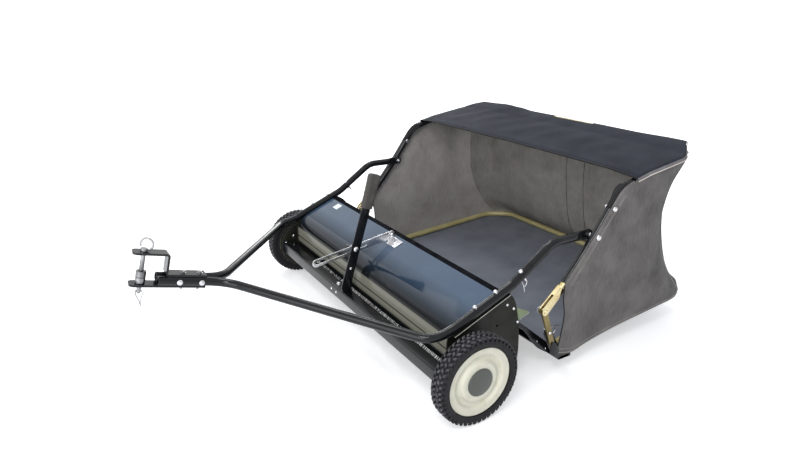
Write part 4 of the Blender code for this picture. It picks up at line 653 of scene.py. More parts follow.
def bent_line(corners: Sequence[Vector], radii: Sequence[float], step: float = 5.0) -> list[Vector]:
    """Line through corners with each inner corner rounded to its radius.

    Args:
        corners: corner points.
        radii: one radius for each inner corner.
        step: degrees of bend between two points.

    Returns:
        The points of the line.
    """
    points = [Vector(corners[0])]
    for i in range(1, len(corners) - 1):
        before, corner, after = Vector(corners[i - 1]), Vector(corners[i]), Vector(corners[i + 1])
        a, b = (before - corner).normalized(), (after - corner).normalized()
        turn = math.pi - a.angle(b)
        if turn < math.radians(0.5) or radii[i - 1] <= 0.0:
            points.append(corner)
            continue
        start = corner + a * (radii[i - 1] * math.tan(turn / 2.0))
        centre = corner + (a + b).normalized() * (radii[i - 1] / math.cos(turn / 2.0))
        axis = (corner - before).cross(after - corner).normalized()
        steps = max(2, math.ceil(math.degrees(turn) / step))
        points += [centre + Matrix.Rotation(turn * k / steps, 3, axis) @ (start - centre)
                   for k in range(steps + 1)]
    points.append(Vector(corners[-1]))
    return points


def even_line(points: Sequence[Vector], spacing: float) -> list[Vector]:
    """Put points at even steps along a line.

    Args:
        points: the line.
        spacing: longest step.

    Returns:
        The new points, with both ends kept.
    """
    result = [Vector(points[0])]
    for a, b in zip(points, points[1:]):
        steps = max(1, math.ceil((b - a).length / spacing))
        result += [a.lerp(b, k / steps) for k in range(1, steps + 1)]
    return result


def curve_at(points: Sequence[Sequence[float]], t: float) -> Vector:
    """Point on a smooth curve through the given points, t from 0 to 1."""
    count = len(points) - 1
    position = min(max(t, 0.0), 1.0) * count
    i = min(int(position), count - 1)
    u = position - i
    p0, p1 = Vector(points[max(i - 1, 0)]), Vector(points[i])
    p2, p3 = Vector(points[i + 1]), Vector(points[min(i + 2, count)])
    return 0.5 * (
        2.0 * p1 + (p2 - p0) * u + (2.0 * p0 - 5.0 * p1 + 4.0 * p2 - p3) * u * u
        + (3.0 * p1 - p0 - 3.0 * p2 + p3) * u * u * u
    )


def smooth_step(low: float, high: float, value: float) -> float:
    """Rise smoothly from 0 at low to 1 at high."""
    t = min(max((value - low) / (high - low), 0.0), 1.0)
    return t * t * (3.0 - 2.0 * t)


class Workpiece:
    """A mesh being made: shapes are added to it, and then it becomes one piece on a body."""

    def __init__(self, name: str) -> None:
        """Start an empty piece."""
        self.name = name
        self.mesh = bmesh.new()

    def _bevel(self, faces: Iterable[bmesh.types.BMFace], width: float, segments: int = 2) -> None:
        """Round the sharp edges of the given faces."""
        edges = {edge for face in faces for edge in face.edges}
        sharp = [edge for edge in edges
                 if len(edge.link_faces) == 2 and edge.calc_face_angle(0.0) > math.radians(38.0)]
        bmesh.ops.bevel(self.mesh, geom=sharp, offset=width, segments=segments, profile=0.6, affect="EDGES",
                        clamp_overlap=True)

    def prism(self, outline: Sequence[SidePoint], x0: float, x1: float, edge: float = 0.0) -> "Workpiece":
        """Add a side-view outline extruded along X.

        Args:
            outline: closed outline as (y, z) points.
            x0: one end.
            x1: the other end.
            edge: radius that its edges are rounded to.

        Returns:
            The piece itself.
        """
        near = [self.mesh.verts.new((x0, y, z)) for y, z in outline]
        far = [self.mesh.verts.new((x1, y, z)) for y, z in outline]
        faces = [self.mesh.faces.new(near), self.mesh.faces.new(list(reversed(far)))]
        count = len(near)
        for i in range(count):
            j = (i + 1) % count
            faces.append(self.mesh.faces.new((near[j], near[i], far[i], far[j])))
        bmesh.ops.recalc_face_normals(self.mesh, faces=faces)
        if edge > 0.0:
            self._bevel(faces, edge)
        return self

    def turned(self, profile: Sequence[SidePoint], centre: Vector, axis: Vector,
            steps: int = 32) -> "Workpiece":
        """Add a closed profile turned about an axis.

        Args:
            profile: points as (distance along the axis, radius).
            centre: where the axis starts.
            axis: its direction.
            steps: steps round it.

        Returns:
            The piece itself.
        """
        line = axis.normalized()
        across = line.orthogonal().normalized()
        other = line.cross(across)
        rings = []
        for s, radius in profile:
            middle = centre + line * s
            if radius <= 1e-9:
                rings.append([self.mesh.verts.new(middle)])
                continue
            turns = [2.0 * math.pi * k / steps for k in range(steps)]
            rings.append([
                self.mesh.verts.new(middle + across * (radius * math.cos(t)) + other * (radius * math.sin(t)))
                for t in turns
            ])
        faces = []
        for a, b in zip(rings, rings[1:] + rings[:1]):
            faces += self._band(a, b, steps)
        bmesh.ops.recalc_face_normals(self.mesh, faces=faces)
        return self

    def _band(self, a: list, b: list, steps: int) -> list:
        """Join two rings, either of which may be a single point."""
        if len(a) == 1 and len(b) == 1:
            return []
        faces = []
        for k in range(steps):
            j = (k + 1) % steps
            if len(a) == 1:
                corners = (a[0], b[k], b[j])
            elif len(b) == 1:
                corners = (a[k], b[0], a[j])
            else:
                corners = (a[k], b[k], b[j], a[j])
            faces.append(self.mesh.faces.new(corners))
        return faces

    def tube(
        self,
        path: Sequence[Vector],
        radius: float,
        sides: int = 24,
        scales: Sequence[SidePoint] | None = None,
        bore: SidePoint = (0.0, 0.0),
        wall: float = 0.0018,
    ) -> "Workpiece":
        """Add a round tube along a line.

        Args:
            path: the points of its centre line.
            radius: its outer radius.
            sides: how many sides stand for the circle.
            scales: factors across and along the bend at each point.
            bore: depth of the open bore at its start and its end, 0 for a closed end.
            wall: thickness of its wall where it is open.

        Returns:
            The piece itself.
        """
        tangents = [(path[min(i + 1, len(path) - 1)] - path[max(i - 1, 0)]).normalized()
                    for i in range(len(path))]
        normal = Vector((1.0, 0.0, 0.0))
        if abs(tangents[0].dot(normal)) > 0.9:
            normal = Vector((0.0, 0.0, 1.0))
        sections = []
        for i, (point, tangent) in enumerate(zip(path, tangents)):
            normal = (normal - tangent * normal.dot(tangent)).normalized()
            factors = (1.0, 1.0) if scales is None else scales[i]
            sections.append((point, tangent, normal.copy(), radius, factors))
        edge = min(0.0006, radius * 0.3)
        rows = self._end_rows(sections[0], bore[0], edge, wall, -1.0)
        rows += sections[1:-1]
        rows += list(reversed(self._end_rows(sections[-1], bore[1], edge, wall, 1.0)))
        rings = [self._section(row, sides) for row in rows]
        faces = [self.mesh.faces.new(rings[0]), self.mesh.faces.new(rings[-1])]
        for a, b in zip(rings, rings[1:]):
            faces += self._band(a, b, sides)
        bmesh.ops.recalc_face_normals(self.mesh, faces=faces)
        return self

    @staticmethod
    def _end_rows(section: tuple, bore: float, edge: float, wall: float, way: float) -> list[tuple]:
        """Sections of one tube end, from its middle outwards: closed and chamfered, or open."""
        point, tangent, normal, radius, factors = section
        rows = []
        if bore > 0.0:
            rows.append((point - tangent * (way * bore), tangent, normal, radius - wall, factors))
            rows.append((point, tangent, normal, radius - wall, factors))
        rows.append((point, tangent, normal, radius - edge, factors))
        rows.append((point - tangent * (way * edge), tangent, normal, radius, factors))
        return rows

    def _section(self, row: tuple, sides: int) -> list:
        """Ring of points round one section of a tube."""
        point, tangent, normal, radius, (across, beside) = row
        other = tangent.cross(normal)
        turns = [2.0 * math.pi * (k + 0.5) / sides for k in range(sides)]
        return [
            self.mesh.verts.new(point + normal * (radius * across * math.cos(t))
                                + other * (radius * beside * math.sin(t)))
            for t in turns
        ]

    def head(self, base: Vector, out: Vector, radius: float, kind: Head = Head.DOME) -> "Workpiece":
        """Add a bolt head standing on a surface.

        Args:
            base: its middle on the surface.
            out: the way it faces.
            radius: its radius, across the corners for a hexagon.
            kind: domed or hexagonal.

        Returns:
            The piece itself.
        """
        if kind is Head.DOME:
            rise = radius * 0.62
            turns = [math.radians(a) for a in (0.0, 22.0, 45.0, 68.0, 90.0)]
            profile = [(0.0004 + rise * math.sin(t), radius * math.cos(t)) for t in turns]
            return self.turned([(-0.0004, 0.0), (-0.0004, radius)] + profile, base, out, 20)
        washer = [(0.0, 0.0), (0.0, radius * 1.25), (0.0009, radius * 1.25), (0.0012, radius * 1.15),
            (0.0012, 0.0)]
        self.turned(washer, base, out, 24)
        block = [(0.0011, 0.0), (0.0011, radius), (0.0052, radius), (0.0058, radius * 0.84), (0.0058, 0.0)]
        return self.turned(block, base, out, 6)

    def minus(self, cutter: "Workpiece") -> "Workpiece":
        """Take another piece's shape away from this one."""
        target, tool = self._object(), cutter._object()
        modifier = target.modifiers.new("cut", "BOOLEAN")
        modifier.object, modifier.operation, modifier.solver = tool, "DIFFERENCE", "EXACT"
        depsgraph = bpy.context.evaluated_depsgraph_get()
        result = bpy.data.meshes.new_from_object(target.evaluated_get(depsgraph))
        self.mesh = bmesh.new()
        self.mesh.from_mesh(result)
        for obj in (target, tool):
            bpy.data.objects.remove(obj, do_unlink=True)
        return self

    def _object(self) -> bpy.types.Object:
        """Turn the mesh into an object in the scene."""
        data = bpy.data.meshes.new(self.name)
        self.mesh.to_mesh(data)
        self.mesh.free()
        obj = bpy.data.objects.new(self.name, data)
        bpy.context.scene.collection.objects.link(obj)
        return obj

    def done(
        self, finish: Finish, body: Part | None, replaces: Sequence[str] = (), sharp: float = 35.0,
        inner_face_finish: Finish | None = None,
    ) -> bpy.types.Object:
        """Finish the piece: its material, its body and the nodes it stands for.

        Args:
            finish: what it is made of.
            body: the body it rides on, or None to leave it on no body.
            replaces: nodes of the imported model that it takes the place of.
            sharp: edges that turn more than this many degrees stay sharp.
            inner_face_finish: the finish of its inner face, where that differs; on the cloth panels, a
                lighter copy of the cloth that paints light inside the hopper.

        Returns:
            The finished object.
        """
        obj = self._object()
        for paint in (finish, inner_face_finish):
            if paint is not None:
                obj.data.materials.append(paint.material())
        obj.data.shade_smooth()
        obj.data.set_sharp_from_angle(angle=math.radians(sharp))
        if body is not None:
            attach(obj, body.value)
        if replaces:
            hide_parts(*replaces)
        LOG.info("%s: %d faces on %s", obj.name, len(obj.data.polygons), body.value if body else "a blend")
        return obj


# Places that several sub-assemblies share


@dataclass(frozen=True)
class Layout:
    """Centres and lines that the sub-assemblies are set out from."""

    axle: SidePoint = (0.0, 0.127)
    brush: SidePoint = (0.075, 0.120)
    pivot: SidePoint = (0.438, 0.424)
    elbow: SidePoint = (0.267, 0.234)
    tube_x: float = 0.520
    tube_radius: float = 0.0127
    tube_base: float = 0.2617
    tube_slope: float = 0.418
    plate_x: float = 0.504
    plate_thickness: float = 0.003
    axle_plate_x: float = 0.5365
    leg_x: float = 0.5428
    leg_radius: float = 0.0111
    rail_radius: float = 0.0095
    floor_base: float = 0.040
    floor_slope: float = 0.080
    gap: float = 0.0003

    @property
    def cosine(self) -> float:
        """Cosine of the side tubes' slope."""
        return 1.0 / math.hypot(1.0, self.tube_slope)

    @property
    def slope_line(self) -> SidePoint:
        """Unit direction of the side tubes over the housing."""
        return (self.cosine, self.tube_slope * self.cosine)

    def tube_z(self, y: float) -> float:
        """Height of the side tubes' centre line over the housing."""
        return self.tube_base + self.tube_slope * y

    def frame_z(self, y: float) -> float:
        """Height of the lower hopper frame's centre line."""
        return self.floor_base + self.floor_slope * y

    def rail_z(self, y: float) -> float:
        """Height of the hopper's top side rails."""
        return 0.565 + (y - 0.556) / (0.797 - 0.556) * (0.6023 - 0.565)

    @property
    def kick(self) -> SidePoint:
        """Where the side tubes bend up towards the arms."""
        return (0.163, self.tube_z(0.163))

    @property
    def arm_bend(self) -> SidePoint:
        """Corner of the hopper arms."""
        return (0.300, 0.425)

    @property
    def tube_rear(self) -> SidePoint:
        """Rear end of the side tubes."""
        line = heading(self.kick, self.arm_bend)
        return point_along(self.kick, line, (0.222 - 0.163) / line[0])

    def on_tube(self, y: float, x: float, lift: float = 0.0) -> tuple[Vector, Vector]:
        """Spot on top of a side tube, and the way it faces.

        Args:
            y: where along the tube.
            x: the tube's place across.
            lift: height above the tube's skin.

        Returns:
            The spot and its outward direction.
        """
        up = Vector((0.0, -self.tube_slope * self.cosine, self.cosine))
        return Vector((x, y, self.tube_z(y))) + up * (self.tube_radius + lift), up


PLACES = Layout()


@dataclass
class Drawbar:
    """The two bent tubes from hitch to arms, the arms and the bolts on them."""

    front_bend: SidePoint = (-0.095, 0.0)
    eye_half: float = 0.0042
    bolt_places: tuple[float, ...] = (0.044, 0.111)
    pin_place: float = 0.196
    bolt_radius: float = 0.0062
    washer: float = 0.0050

    def build(self, hitch: "Hitch") -> None:
        """Build both sides.

        Args:
            hitch: the hitch that the tubes start in.
        """
        for side in Side:
            self.tube(hitch, side)
            self.arm(side)
            self.tube_bolts(side)
            self.arm_pin(side)

    def tube(self, hitch: "Hitch", side: Side) -> None:
        """One bent drawbar tube with an open front end."""
        x, bend_y = side.value * PLACES.tube_x, self.front_bend[0]
        corners = [
            hitch.at(hitch.tube_start, 0.0, side.value * hitch.tube_x),
            hitch.at(hitch.tube_end, 0.0, side.value * hitch.tube_x),
            Vector((x, bend_y, PLACES.tube_z(bend_y) + 0.012)),
            Vector((x, -0.028, PLACES.tube_z(-0.028))),
            Vector((x, *PLACES.kick)),
            Vector((x, *PLACES.tube_rear)),
        ]
        path = bent_line(corners, [0.10, 0.075, 0.15, 0.10], 4.0)
        piece = Workpiece(f"drawbar_skin_{side.label}").tube(path, PLACES.tube_radius, 28, bore=(0.030, 0.0))
        piece.done(PAINTS.tube, Part.HOUSING, [f"drawbar_tube_{side.label}"])

    def arm(self, side: Side) -> None:
        """One hopper arm: round at its spigot, pressed flat at its eye."""
        x = side.value * PLACES.tube_x
        rear = Vector((x, *PLACES.tube_rear))
        line = Vector((0.0, *heading(PLACES.kick, PLACES.arm_bend)))
        eye = Vector((x, *PLACES.pivot))
        bend = Vector((x, *PLACES.arm_bend))
        path = even_line(bent_line([rear + line * PLACES.gap, bend, eye], [0.080], 4.0), 0.008)
        scales = []
        for point in path:
            flat = smooth_step(0.058, 0.024, (point - eye).length)
            scales.append((1.0 - 0.67 * flat, 1.0 + 0.18 * flat))
        piece = Workpiece(f"arm_skin_{side.label}").tube(path, PLACES.tube_radius, 28, scales)
        half, radius = self.eye_half, PLACES.tube_radius * 1.15
        eye_profile = [(-half, 0.0), (-half, radius - 0.001), (-half + 0.001, radius), (half - 0.001, radius),
                       (half, radius - 0.001), (half, 0.0)]
        piece.turned(eye_profile, eye, Vector((1.0, 0.0, 0.0)), 36)
        piece.done(PAINTS.tube, Part.HOUSING, [f"hopper_arm_{side.label}"])

    def tube_bolts(self, side: Side) -> None:
        """Domed bolts that hold the end plate's flange and the cover to the tube."""
        piece = Workpiece(f"tube_bolts_{side.label}")
        x = side.value * PLACES.tube_x
        for y in self.bolt_places:
            spot, up = PLACES.on_tube(y, x)
            piece.tube([spot - up * 0.001, spot + up * self.washer], self.bolt_radius * 0.8, 20)
            piece.head(spot + up * self.washer, up, self.bolt_radius)
            piece.head(spot - up * (2.0 * PLACES.tube_radius + 0.0032), -up, 0.0055, Head.HEX)
        under = (Vector((x, -0.022, PLACES.tube_z(-0.022)))
                 - Vector((0.0, -PLACES.tube_slope, 1.0)).normalized() * 0.0165)
        piece.head(under, Vector((0.0, 0.4, -0.9)), 0.0050, Head.HEX)
        piece.done(PAINTS.zinc, Part.HOUSING)

    def arm_pin(self, side: Side) -> None:
        """Pin through tube and spigot, with the wire hairpin that hangs from it."""
        x = side.value * PLACES.tube_x
        y = self.pin_place
        line = heading(PLACES.kick, PLACES.arm_bend)
        middle = Vector((x, *point_along(PLACES.kick, line, (y - PLACES.kick[0]) / line[0])))
        up = Vector((0.0, -line[1], line[0]))
        radius = PLACES.tube_radius
        piece = Workpiece(f"arm_pin_{side.label}").head(middle + up * radius, up, 0.0066)
        stub = [middle - up * (radius - 0.002), middle - up * (radius + 0.013)]
        piece.tube(stub, 0.0030, 12)
        low = middle - up * (radius + 0.008)
        shape = [(0.001, -0.038), (-0.001, -0.028), (-0.005, -0.017), (-0.010, -0.008), (-0.012, -0.001),
                 (-0.006, 0.002), (0.003, -0.001), (0.007, -0.009), (0.004, -0.019), (-0.003, -0.022)]
        wire = [low + Vector((0.0, a, b)) for a, b in shape]
        piece.tube([curve_at(wire, k / 40.0) for k in range(41)], 0.0009, 8)
        piece.done(PAINTS.zinc, Part.HOUSING)


@dataclass
class Hitch:
    """Brackets, sleeves and bolts at the front, in a tilted frame on the pin's axis."""

    y: float = -0.692
    z: float = 0.343
    tilt: float = math.radians(14.0)
    tube_x: float = 0.0175
    tube_start: float = 0.042
    tube_end: float = 0.228
    half_width: float = 0.020
    plate: float = 0.006
    tip: float = -0.029
    top: float = 0.071
    drop: float = 0.0665
    end: float = 0.172
    pin_radius: float = 0.006
    pin_end: float = -0.043
    clip_level: float = -0.036
    clip_lean: float = 0.18
    cross_shifts: tuple[float, ...] = (-0.0126, 0.0016)
    sleeve_radius: float = 0.0135
    sleeve_height: float = 0.0172
    bolts: tuple[float, ...] = (0.110, 0.156)

    def at(self, s: float, n: float, x: float = 0.0) -> Vector:
        """World point s behind the pin and n above the tubes."""
        c, d = math.cos(self.tilt), math.sin(self.tilt)
        return Vector((x, self.y + s * c + n * d, self.z - s * d + n * c))

    def flat(self, s: float, n: float) -> SidePoint:
        """Side-view point of the tilted frame."""
        point = self.at(s, n)
        return (point.y, point.z)

    @property
    def up(self) -> Vector:
        """Direction of the pin's axis."""
        return (self.at(0.0, 1.0) - self.at(0.0, 0.0)).normalized()

    def build(self) -> None:
        """Build the brackets, sleeves, bolts, pin and clip."""
        self.brackets()
        self.sleeves()
        self.fasteners()
        self.pin()
        self.clip()

    def brackets(self) -> None:
        """Z-shaped upper bracket and flat lower bracket, with rounded tips and pin holes."""
        t, seat, top = self.plate, PLACES.tube_radius + PLACES.gap, self.top
        upper = [
            (self.tip, top), (self.drop - t, top), (self.drop - t, seat), (self.end, seat),
            (self.end, seat + t), (self.drop, seat + t), (self.drop, top + t), (self.tip, top + t),
        ]
        lower = [(self.tip, -seat - t), (self.end, -seat - t), (self.end, -seat), (self.tip, -seat)]
        for name, outline in (("upper", upper), ("lower", lower)):
            piece = Workpiece(f"hitch_bracket_skin_{name}")
            rounded = self._bent(outline) if name == "upper" else outline
            piece.prism([self.flat(*p) for p in rounded], -self.half_width, self.half_width)
            cutter = Workpiece("cutter")
            cutter.turned([(-0.06, 0.0), (-0.06, self.pin_radius + 0.0006), (0.10, self.pin_radius + 0.0006),
                           (0.10, 0.0)],
                          self.at(0.0, 0.0), self.up, 32)
            piece.minus(cutter)
            for corner in (1.0, -1.0):
                piece.minus(self._corner(corner))
            bmesh.ops.recalc_face_normals(piece.mesh, faces=piece.mesh.faces[:])
            piece.done(PAINTS.tube, Part.HOUSING, [f"hitch_{name}_bracket"])

    def _bent(self, outline: Sequence[SidePoint]) -> list[SidePoint]:
        """Round the two bends of the upper bracket."""
        result: list[SidePoint] = []
        inner, outer = 0.004, 0.009
        radii = (0.0, inner, outer, 0.0, 0.0, inner, outer, 0.0)
        count = len(outline)
        for i, corner in enumerate(outline):
            if radii[i] == 0.0:
                result.append(corner)
                continue
            here = Vector(corner)
            a = (Vector(outline[i - 1]) - here).normalized() * radii[i]
            b = (Vector(outline[(i + 1) % count]) - here).normalized() * radii[i]
            for k in range(6):
                t = k / 5.0
                spot = (here + a) * (1 - t) ** 2 + here * 2 * t * (1 - t) + (here + b) * t * t
                result.append((spot.x, spot.y))
        return result

    def _corner(self, way: float) -> Workpiece:
        """Cutter that rounds one front corner of a bracket."""
        radius = 0.013
        piece = Workpiece("cutter")
        outline = [(self.tip - 0.004, self.half_width + 0.004)]
        turns = [math.radians(90.0 + 90.0 * k / 8.0) for k in range(9)]
        centre = (self.tip + radius, self.half_width - radius)
        outline += [(centre[0] + radius * math.cos(t), centre[1] + radius * math.sin(t)) for t in turns]
        outline.insert(1, (centre[0], self.half_width + 0.004))
        outline.append((self.tip - 0.004, centre[1]))
        low = [piece.mesh.verts.new(self.at(s, -0.05, way * x)) for s, x in outline]
        high = [piece.mesh.verts.new(self.at(s, 0.10, way * x)) for s, x in outline]
        faces = [piece.mesh.faces.new(low), piece.mesh.faces.new(high)]
        for i in range(len(low)):
            j = (i + 1) % len(low)
            faces.append(piece.mesh.faces.new((low[i], low[j], high[j], high[i])))
        bmesh.ops.recalc_face_normals(piece.mesh, faces=faces)
        return piece

    def sleeves(self) -> None:
        """Two stacked spacer sleeves round the pin, with chamfered ends."""
        base = -PLACES.tube_radius
        bore = self.pin_radius + 0.0006
        for i, name in enumerate(("lower", "upper")):
            low = base + i * (self.sleeve_height + PLACES.gap)
            high, r = low + self.sleeve_height, self.sleeve_radius
            profile = [(low, bore), (low, r - 0.0012), (low + 0.0012, r), (high - 0.0012, r),
                       (high, r - 0.0012), (high, bore)]
            piece = Workpiece(f"sleeve_skin_{name}").turned(profile, self.at(0.0, 0.0), self.up, 40)
            piece.done(PAINTS.dull, Part.HOUSING, [f"hitch_sleeve_{name}"])

    def fasteners(self) -> None:
        """Two bolts through the brackets, and two across the tubes."""
        seat = PLACES.tube_radius + PLACES.gap + self.plate
        for s, name in zip(self.bolts, ("front", "rear")):
            piece = Workpiece(f"hitch_bolt_skin_{name}")
            piece.tube([self.at(s, -seat - 0.012), self.at(s, seat + 0.002)], 0.0036, 16)
            piece.head(self.at(s, seat), self.up, 0.0066, Head.HEX)
            piece.head(self.at(s, -seat), -self.up, 0.0066, Head.HEX)
            piece.done(PAINTS.dull, Part.HOUSING, [f"hitch_bolt_{name}"])
        cross = Workpiece("hitch_cross_bolts")
        reach = self.tube_x + PLACES.tube_radius
        for s, shift in zip(self.bolts, self.cross_shifts):
            for way in (1.0, -1.0):
                cross.head(self.at(s + shift, 0.0, way * reach), Vector((way, 0.0, 0.0)), 0.0062, Head.HEX)
        cross.done(PAINTS.zinc, Part.HOUSING)

    def pin(self) -> None:
        """Hitch pin with its collar, tapered tip and ring handle."""
        top = self.top + self.plate
        r = self.pin_radius
        profile = [
            (self.pin_end, 0.0), (self.pin_end, r * 0.55), (self.pin_end + 0.0035, r), (top + 0.0006, r),
            (top + 0.0006, 0.0092), (top + 0.0014, 0.0098), (top + 0.0072, 0.0098), (top + 0.0085, 0.0086),
            (top + 0.0085, 0.0),
        ]
        piece = Workpiece("hitch_pin_skin").turned(profile, self.at(0.0, 0.0), self.up, 32)
        centre = self.at(0.0055, top + 0.0198)
        lean = Vector((0.45, math.cos(self.tilt), -math.sin(self.tilt))).normalized()
        turns = [math.radians(-104.0 + 312.0 * k / 48.0) for k in range(49)]
        loop = [centre + lean * (0.0165 * math.cos(t)) + self.up * (0.0165 * math.sin(t)) for t in turns]
        piece.tube(loop, 0.0028, 14)
        piece.done(PAINTS.dull, Part.PIN, ["hitch_pin"])

    def clip(self) -> None:
        """Wire clip that hangs in the pin's cross hole."""
        level = self.clip_level
        outline = [
            (0.0022, level - 0.0450), (0.0026, level - 0.0300), (0.0080, level - 0.0130),
            (0.0084, level - 0.0035), (0.0066, level), (-0.0066, level), (-0.0084, level - 0.0035),
            (-0.0080, level - 0.0130), (-0.0010, level - 0.0300), (-0.0014, level - 0.0400),
        ]
        leaning = [self.at(s + self.clip_lean * (level - n), n) for s, n in outline]
        wire = [curve_at(leaning, k / 60.0) for k in range(61)]
        Workpiece("hitch_clip_skin").tube(wire, 0.0013, 12).done(PAINTS.dull, Part.CLIP, ["hitch_clip"])


@dataclass
class Housing:
    """Brush cover, deflector, end plates and what is bolted to them."""

    half_length: float = 0.5037
    sheet: float = 0.002
    drop: float = 0.004
    rear_y: float = 0.133
    nose_y: float = -0.034
    nose_radius: float = 0.070
    lower_z: float = 0.140
    rolls: tuple[tuple[float, float, float], ...] = ((0.0010, -0.0045, 0.0047), (-0.0105, -0.0022, 0.0030))
    cheek: float = 0.013
    flange_short: float = 0.002

    def build(self) -> None:
        """Build the cover, the deflector, the plates and their fasteners."""
        self.cover()
        self.deflector()
        for side in Side:
            self.end_plate(side)
            self.plate_bolts(side)
        self.label()

    def cover_z(self, y: float) -> float:
        """Height of the cover's outer face on its straight top."""
        return PLACES.tube_z(y) - self.drop

    def section(self) -> tuple[list[SidePoint], list[SidePoint]]:
        """Outer and inner line of the cover's bent sheet, from its rear edge to its lower front edge."""
        bend_y = self.nose_y + self.nose_radius - self.nose_radius * PLACES.tube_slope * PLACES.cosine
        centre = (self.nose_y + self.nose_radius, self.cover_z(bend_y) - self.nose_radius * PLACES.cosine)
        first = 90.0 + math.degrees(math.atan(PLACES.tube_slope))
        start = (self.rear_y, self.cover_z(self.rear_y))
        outer = [start] + side_arc(centre, self.nose_radius, first, 180.0, 28) + [(self.nose_y, self.lower_z)]
        inner_arc = side_arc(centre, self.nose_radius - self.sheet, 180.0, first, 28)
        rear = point_along(start, PLACES.slope_line, 0.0, -self.sheet)
        return outer, [(self.nose_y + self.sheet, self.lower_z)] + inner_arc + [rear]

    def cover(self) -> None:
        """Glossy cover with a rolled rear hem and turned-down cheeks."""
        outer, inner = self.section()
        half = self.half_length
        piece = Workpiece("cover_skin").prism(outer + inner, -half, half)
        rolls = Workpiece("cover_hem")
        for back, drop, radius in self.rolls:
            centre = point_along(outer[0], PLACES.slope_line, back, drop)
            profile = [(-half, 0.0), (-half, radius), (half, radius), (half, 0.0)]
            rolls.turned(profile, Vector((0.0, *centre)), Vector((1.0, 0.0, 0.0)), 24)
        # The flat black strip beside the real hem rolls is a painted dark band for the hopper reflected
        # there.
        strip = [point_along(outer[0], PLACES.slope_line, back, lift)
                 for back, lift in ((0.0015, 0.0005), (-0.0125, 0.0005), (-0.0125, -0.0010),
                                    (0.0015, -0.0010))]
        rolls.prism(strip, -half, half)
        rolls.done(PAINTS.hem, Part.HOUSING)
        depth = self.cheek
        lowered = []
        for i, (y, z) in enumerate(outer):
            before, after = outer[max(i - 1, 0)], outer[min(i + 1, len(outer) - 1)]
            line = heading(before, after)
            lowered.append(point_along((y, z), line, 0.0, depth))
        cheek = outer + list(reversed(lowered))
        for side in Side:
            ends = sorted((side.value * (half - self.sheet), side.value * half))
            piece.prism(cheek, ends[0], ends[1], 0.0004)
        piece.done(PAINTS.cover, Part.HOUSING, ["cover"])

    def deflector(self) -> None:
        """Curved rear sheet with its lip, and the ears of the black end plates, painted olive as a highlight,
        with pale painted highlight lines on their lower edges.
        """
        controls = [(0.176, 0.064), (0.190, 0.090), (0.199, 0.125), (0.2035, 0.160), (0.2050, 0.182),
            (0.2056, 0.1945)]
        line = [curve_at(controls, k / 20.0) for k in range(21)]
        face = [(p.x, p.y) for p in line] + [(0.2125, 0.2050)]
        back = []
        for i, point in enumerate(face):
            run = heading(face[max(i - 1, 0)], face[min(i + 1, len(face) - 1)])
            back.append(point_along(point, run, 0.0, self.sheet))
        half = PLACES.plate_x - PLACES.gap
        piece = Workpiece("deflector_skin").prism(face + list(reversed(back)), -half, half)
        piece.done(PAINTS.plate, Part.HOUSING, ["rear_deflector"])
        ears = Workpiece("hopper_rest_ears")
        rims = Workpiece("ear_edge_highlights")
        outline = [(0.1988, 0.2450), (0.2500, 0.2190), (0.2088, 0.2040)]
        for side in Side:
            ends = sorted((side.value * PLACES.plate_x,
                side.value * (PLACES.plate_x + PLACES.plate_thickness)))
            ears.prism(softened(outline, 0.003), ends[0], ends[1], 0.0005)
            lower = [Vector((ends[1] if side is Side.LEFT else ends[0], y, z)) for y, z in outline[1:]]
            # Pale rod along each ear's lower edge: a painted highlight.
            rims.tube([lower[0].lerp(lower[1], share) for share in (0.06, 0.94)], 0.0008, 8)
        # The ears are black plate; their olive finish is a painted highlight.
        ears.done(PAINTS.olive, Part.HOUSING)
        rims.done(PAINTS.rubbed, Part.HOUSING)

    def plate_outline(self) -> list[SidePoint]:
        """Side-view outline of an end plate, with smooth corners."""
        top = lambda y: PLACES.tube_z(y) - (PLACES.tube_radius + PLACES.gap) / PLACES.cosine
        outline = [(-0.034, top(-0.034)), (0.150, top(0.150))]
        corner = [(0.150, top(0.150)), (0.169, 0.2975), (0.184, 0.279), (0.194, 0.260), (0.1975, 0.2440)]
        rear = [(0.2085, 0.2040), (0.214, 0.160), (0.217, 0.112)]
        for points in (corner, rear):
            outline += [(p.x, p.y) for p in (curve_at(points, k / 10.0) for k in range(1, 11))]
        outline += side_arc((0.197, 0.088), 0.019, 10.0, -80.0, 10)
        outline += [(0.120, 0.058), (0.020, 0.058)]
        outline += side_arc((0.010, 0.104), 0.046, -100.0, -175.0, 12)
        return outline + [(-0.039, 0.150), (-0.039, 0.205)]

    def end_plate(self, side: Side) -> None:
        """Pressed end plate with its top flange, bush hole and punched holes."""
        sign = side.value
        inner = sign * PLACES.plate_x
        outer = sign * (PLACES.plate_x + PLACES.plate_thickness)
        outline = self.plate_outline()
        piece = Workpiece(f"end_plate_skin_{side.label}").prism(outline, inner, outer)
        across = Vector((sign, 0.0, 0.0))
        for centre, radius in ((PLACES.brush, 0.0163), ((0.130, 0.208), 0.0042), ((0.020, 0.196), 0.0035)):
            cutter = Workpiece("cutter")
            cutter.turned([(0.48, 0.0), (0.48, radius), (0.53, radius), (0.53, 0.0)], Vector((0.0, *centre)),
                across, 28)
            piece.minus(cutter)
        front, rear = outline[0], outline[1]
        line = heading(front, rear)
        length = math.dist(front, rear) - self.flange_short
        flange = [front, point_along(front, line, length), point_along(front, line, length, -0.0025),
            point_along(front, line, 0.0, -0.0025)]
        reach = sign * (PLACES.tube_x + PLACES.tube_radius)
        piece.prism(flange, outer, reach)
        piece.done(PAINTS.plate, Part.HOUSING, [f"end_plate_{side.label}"])
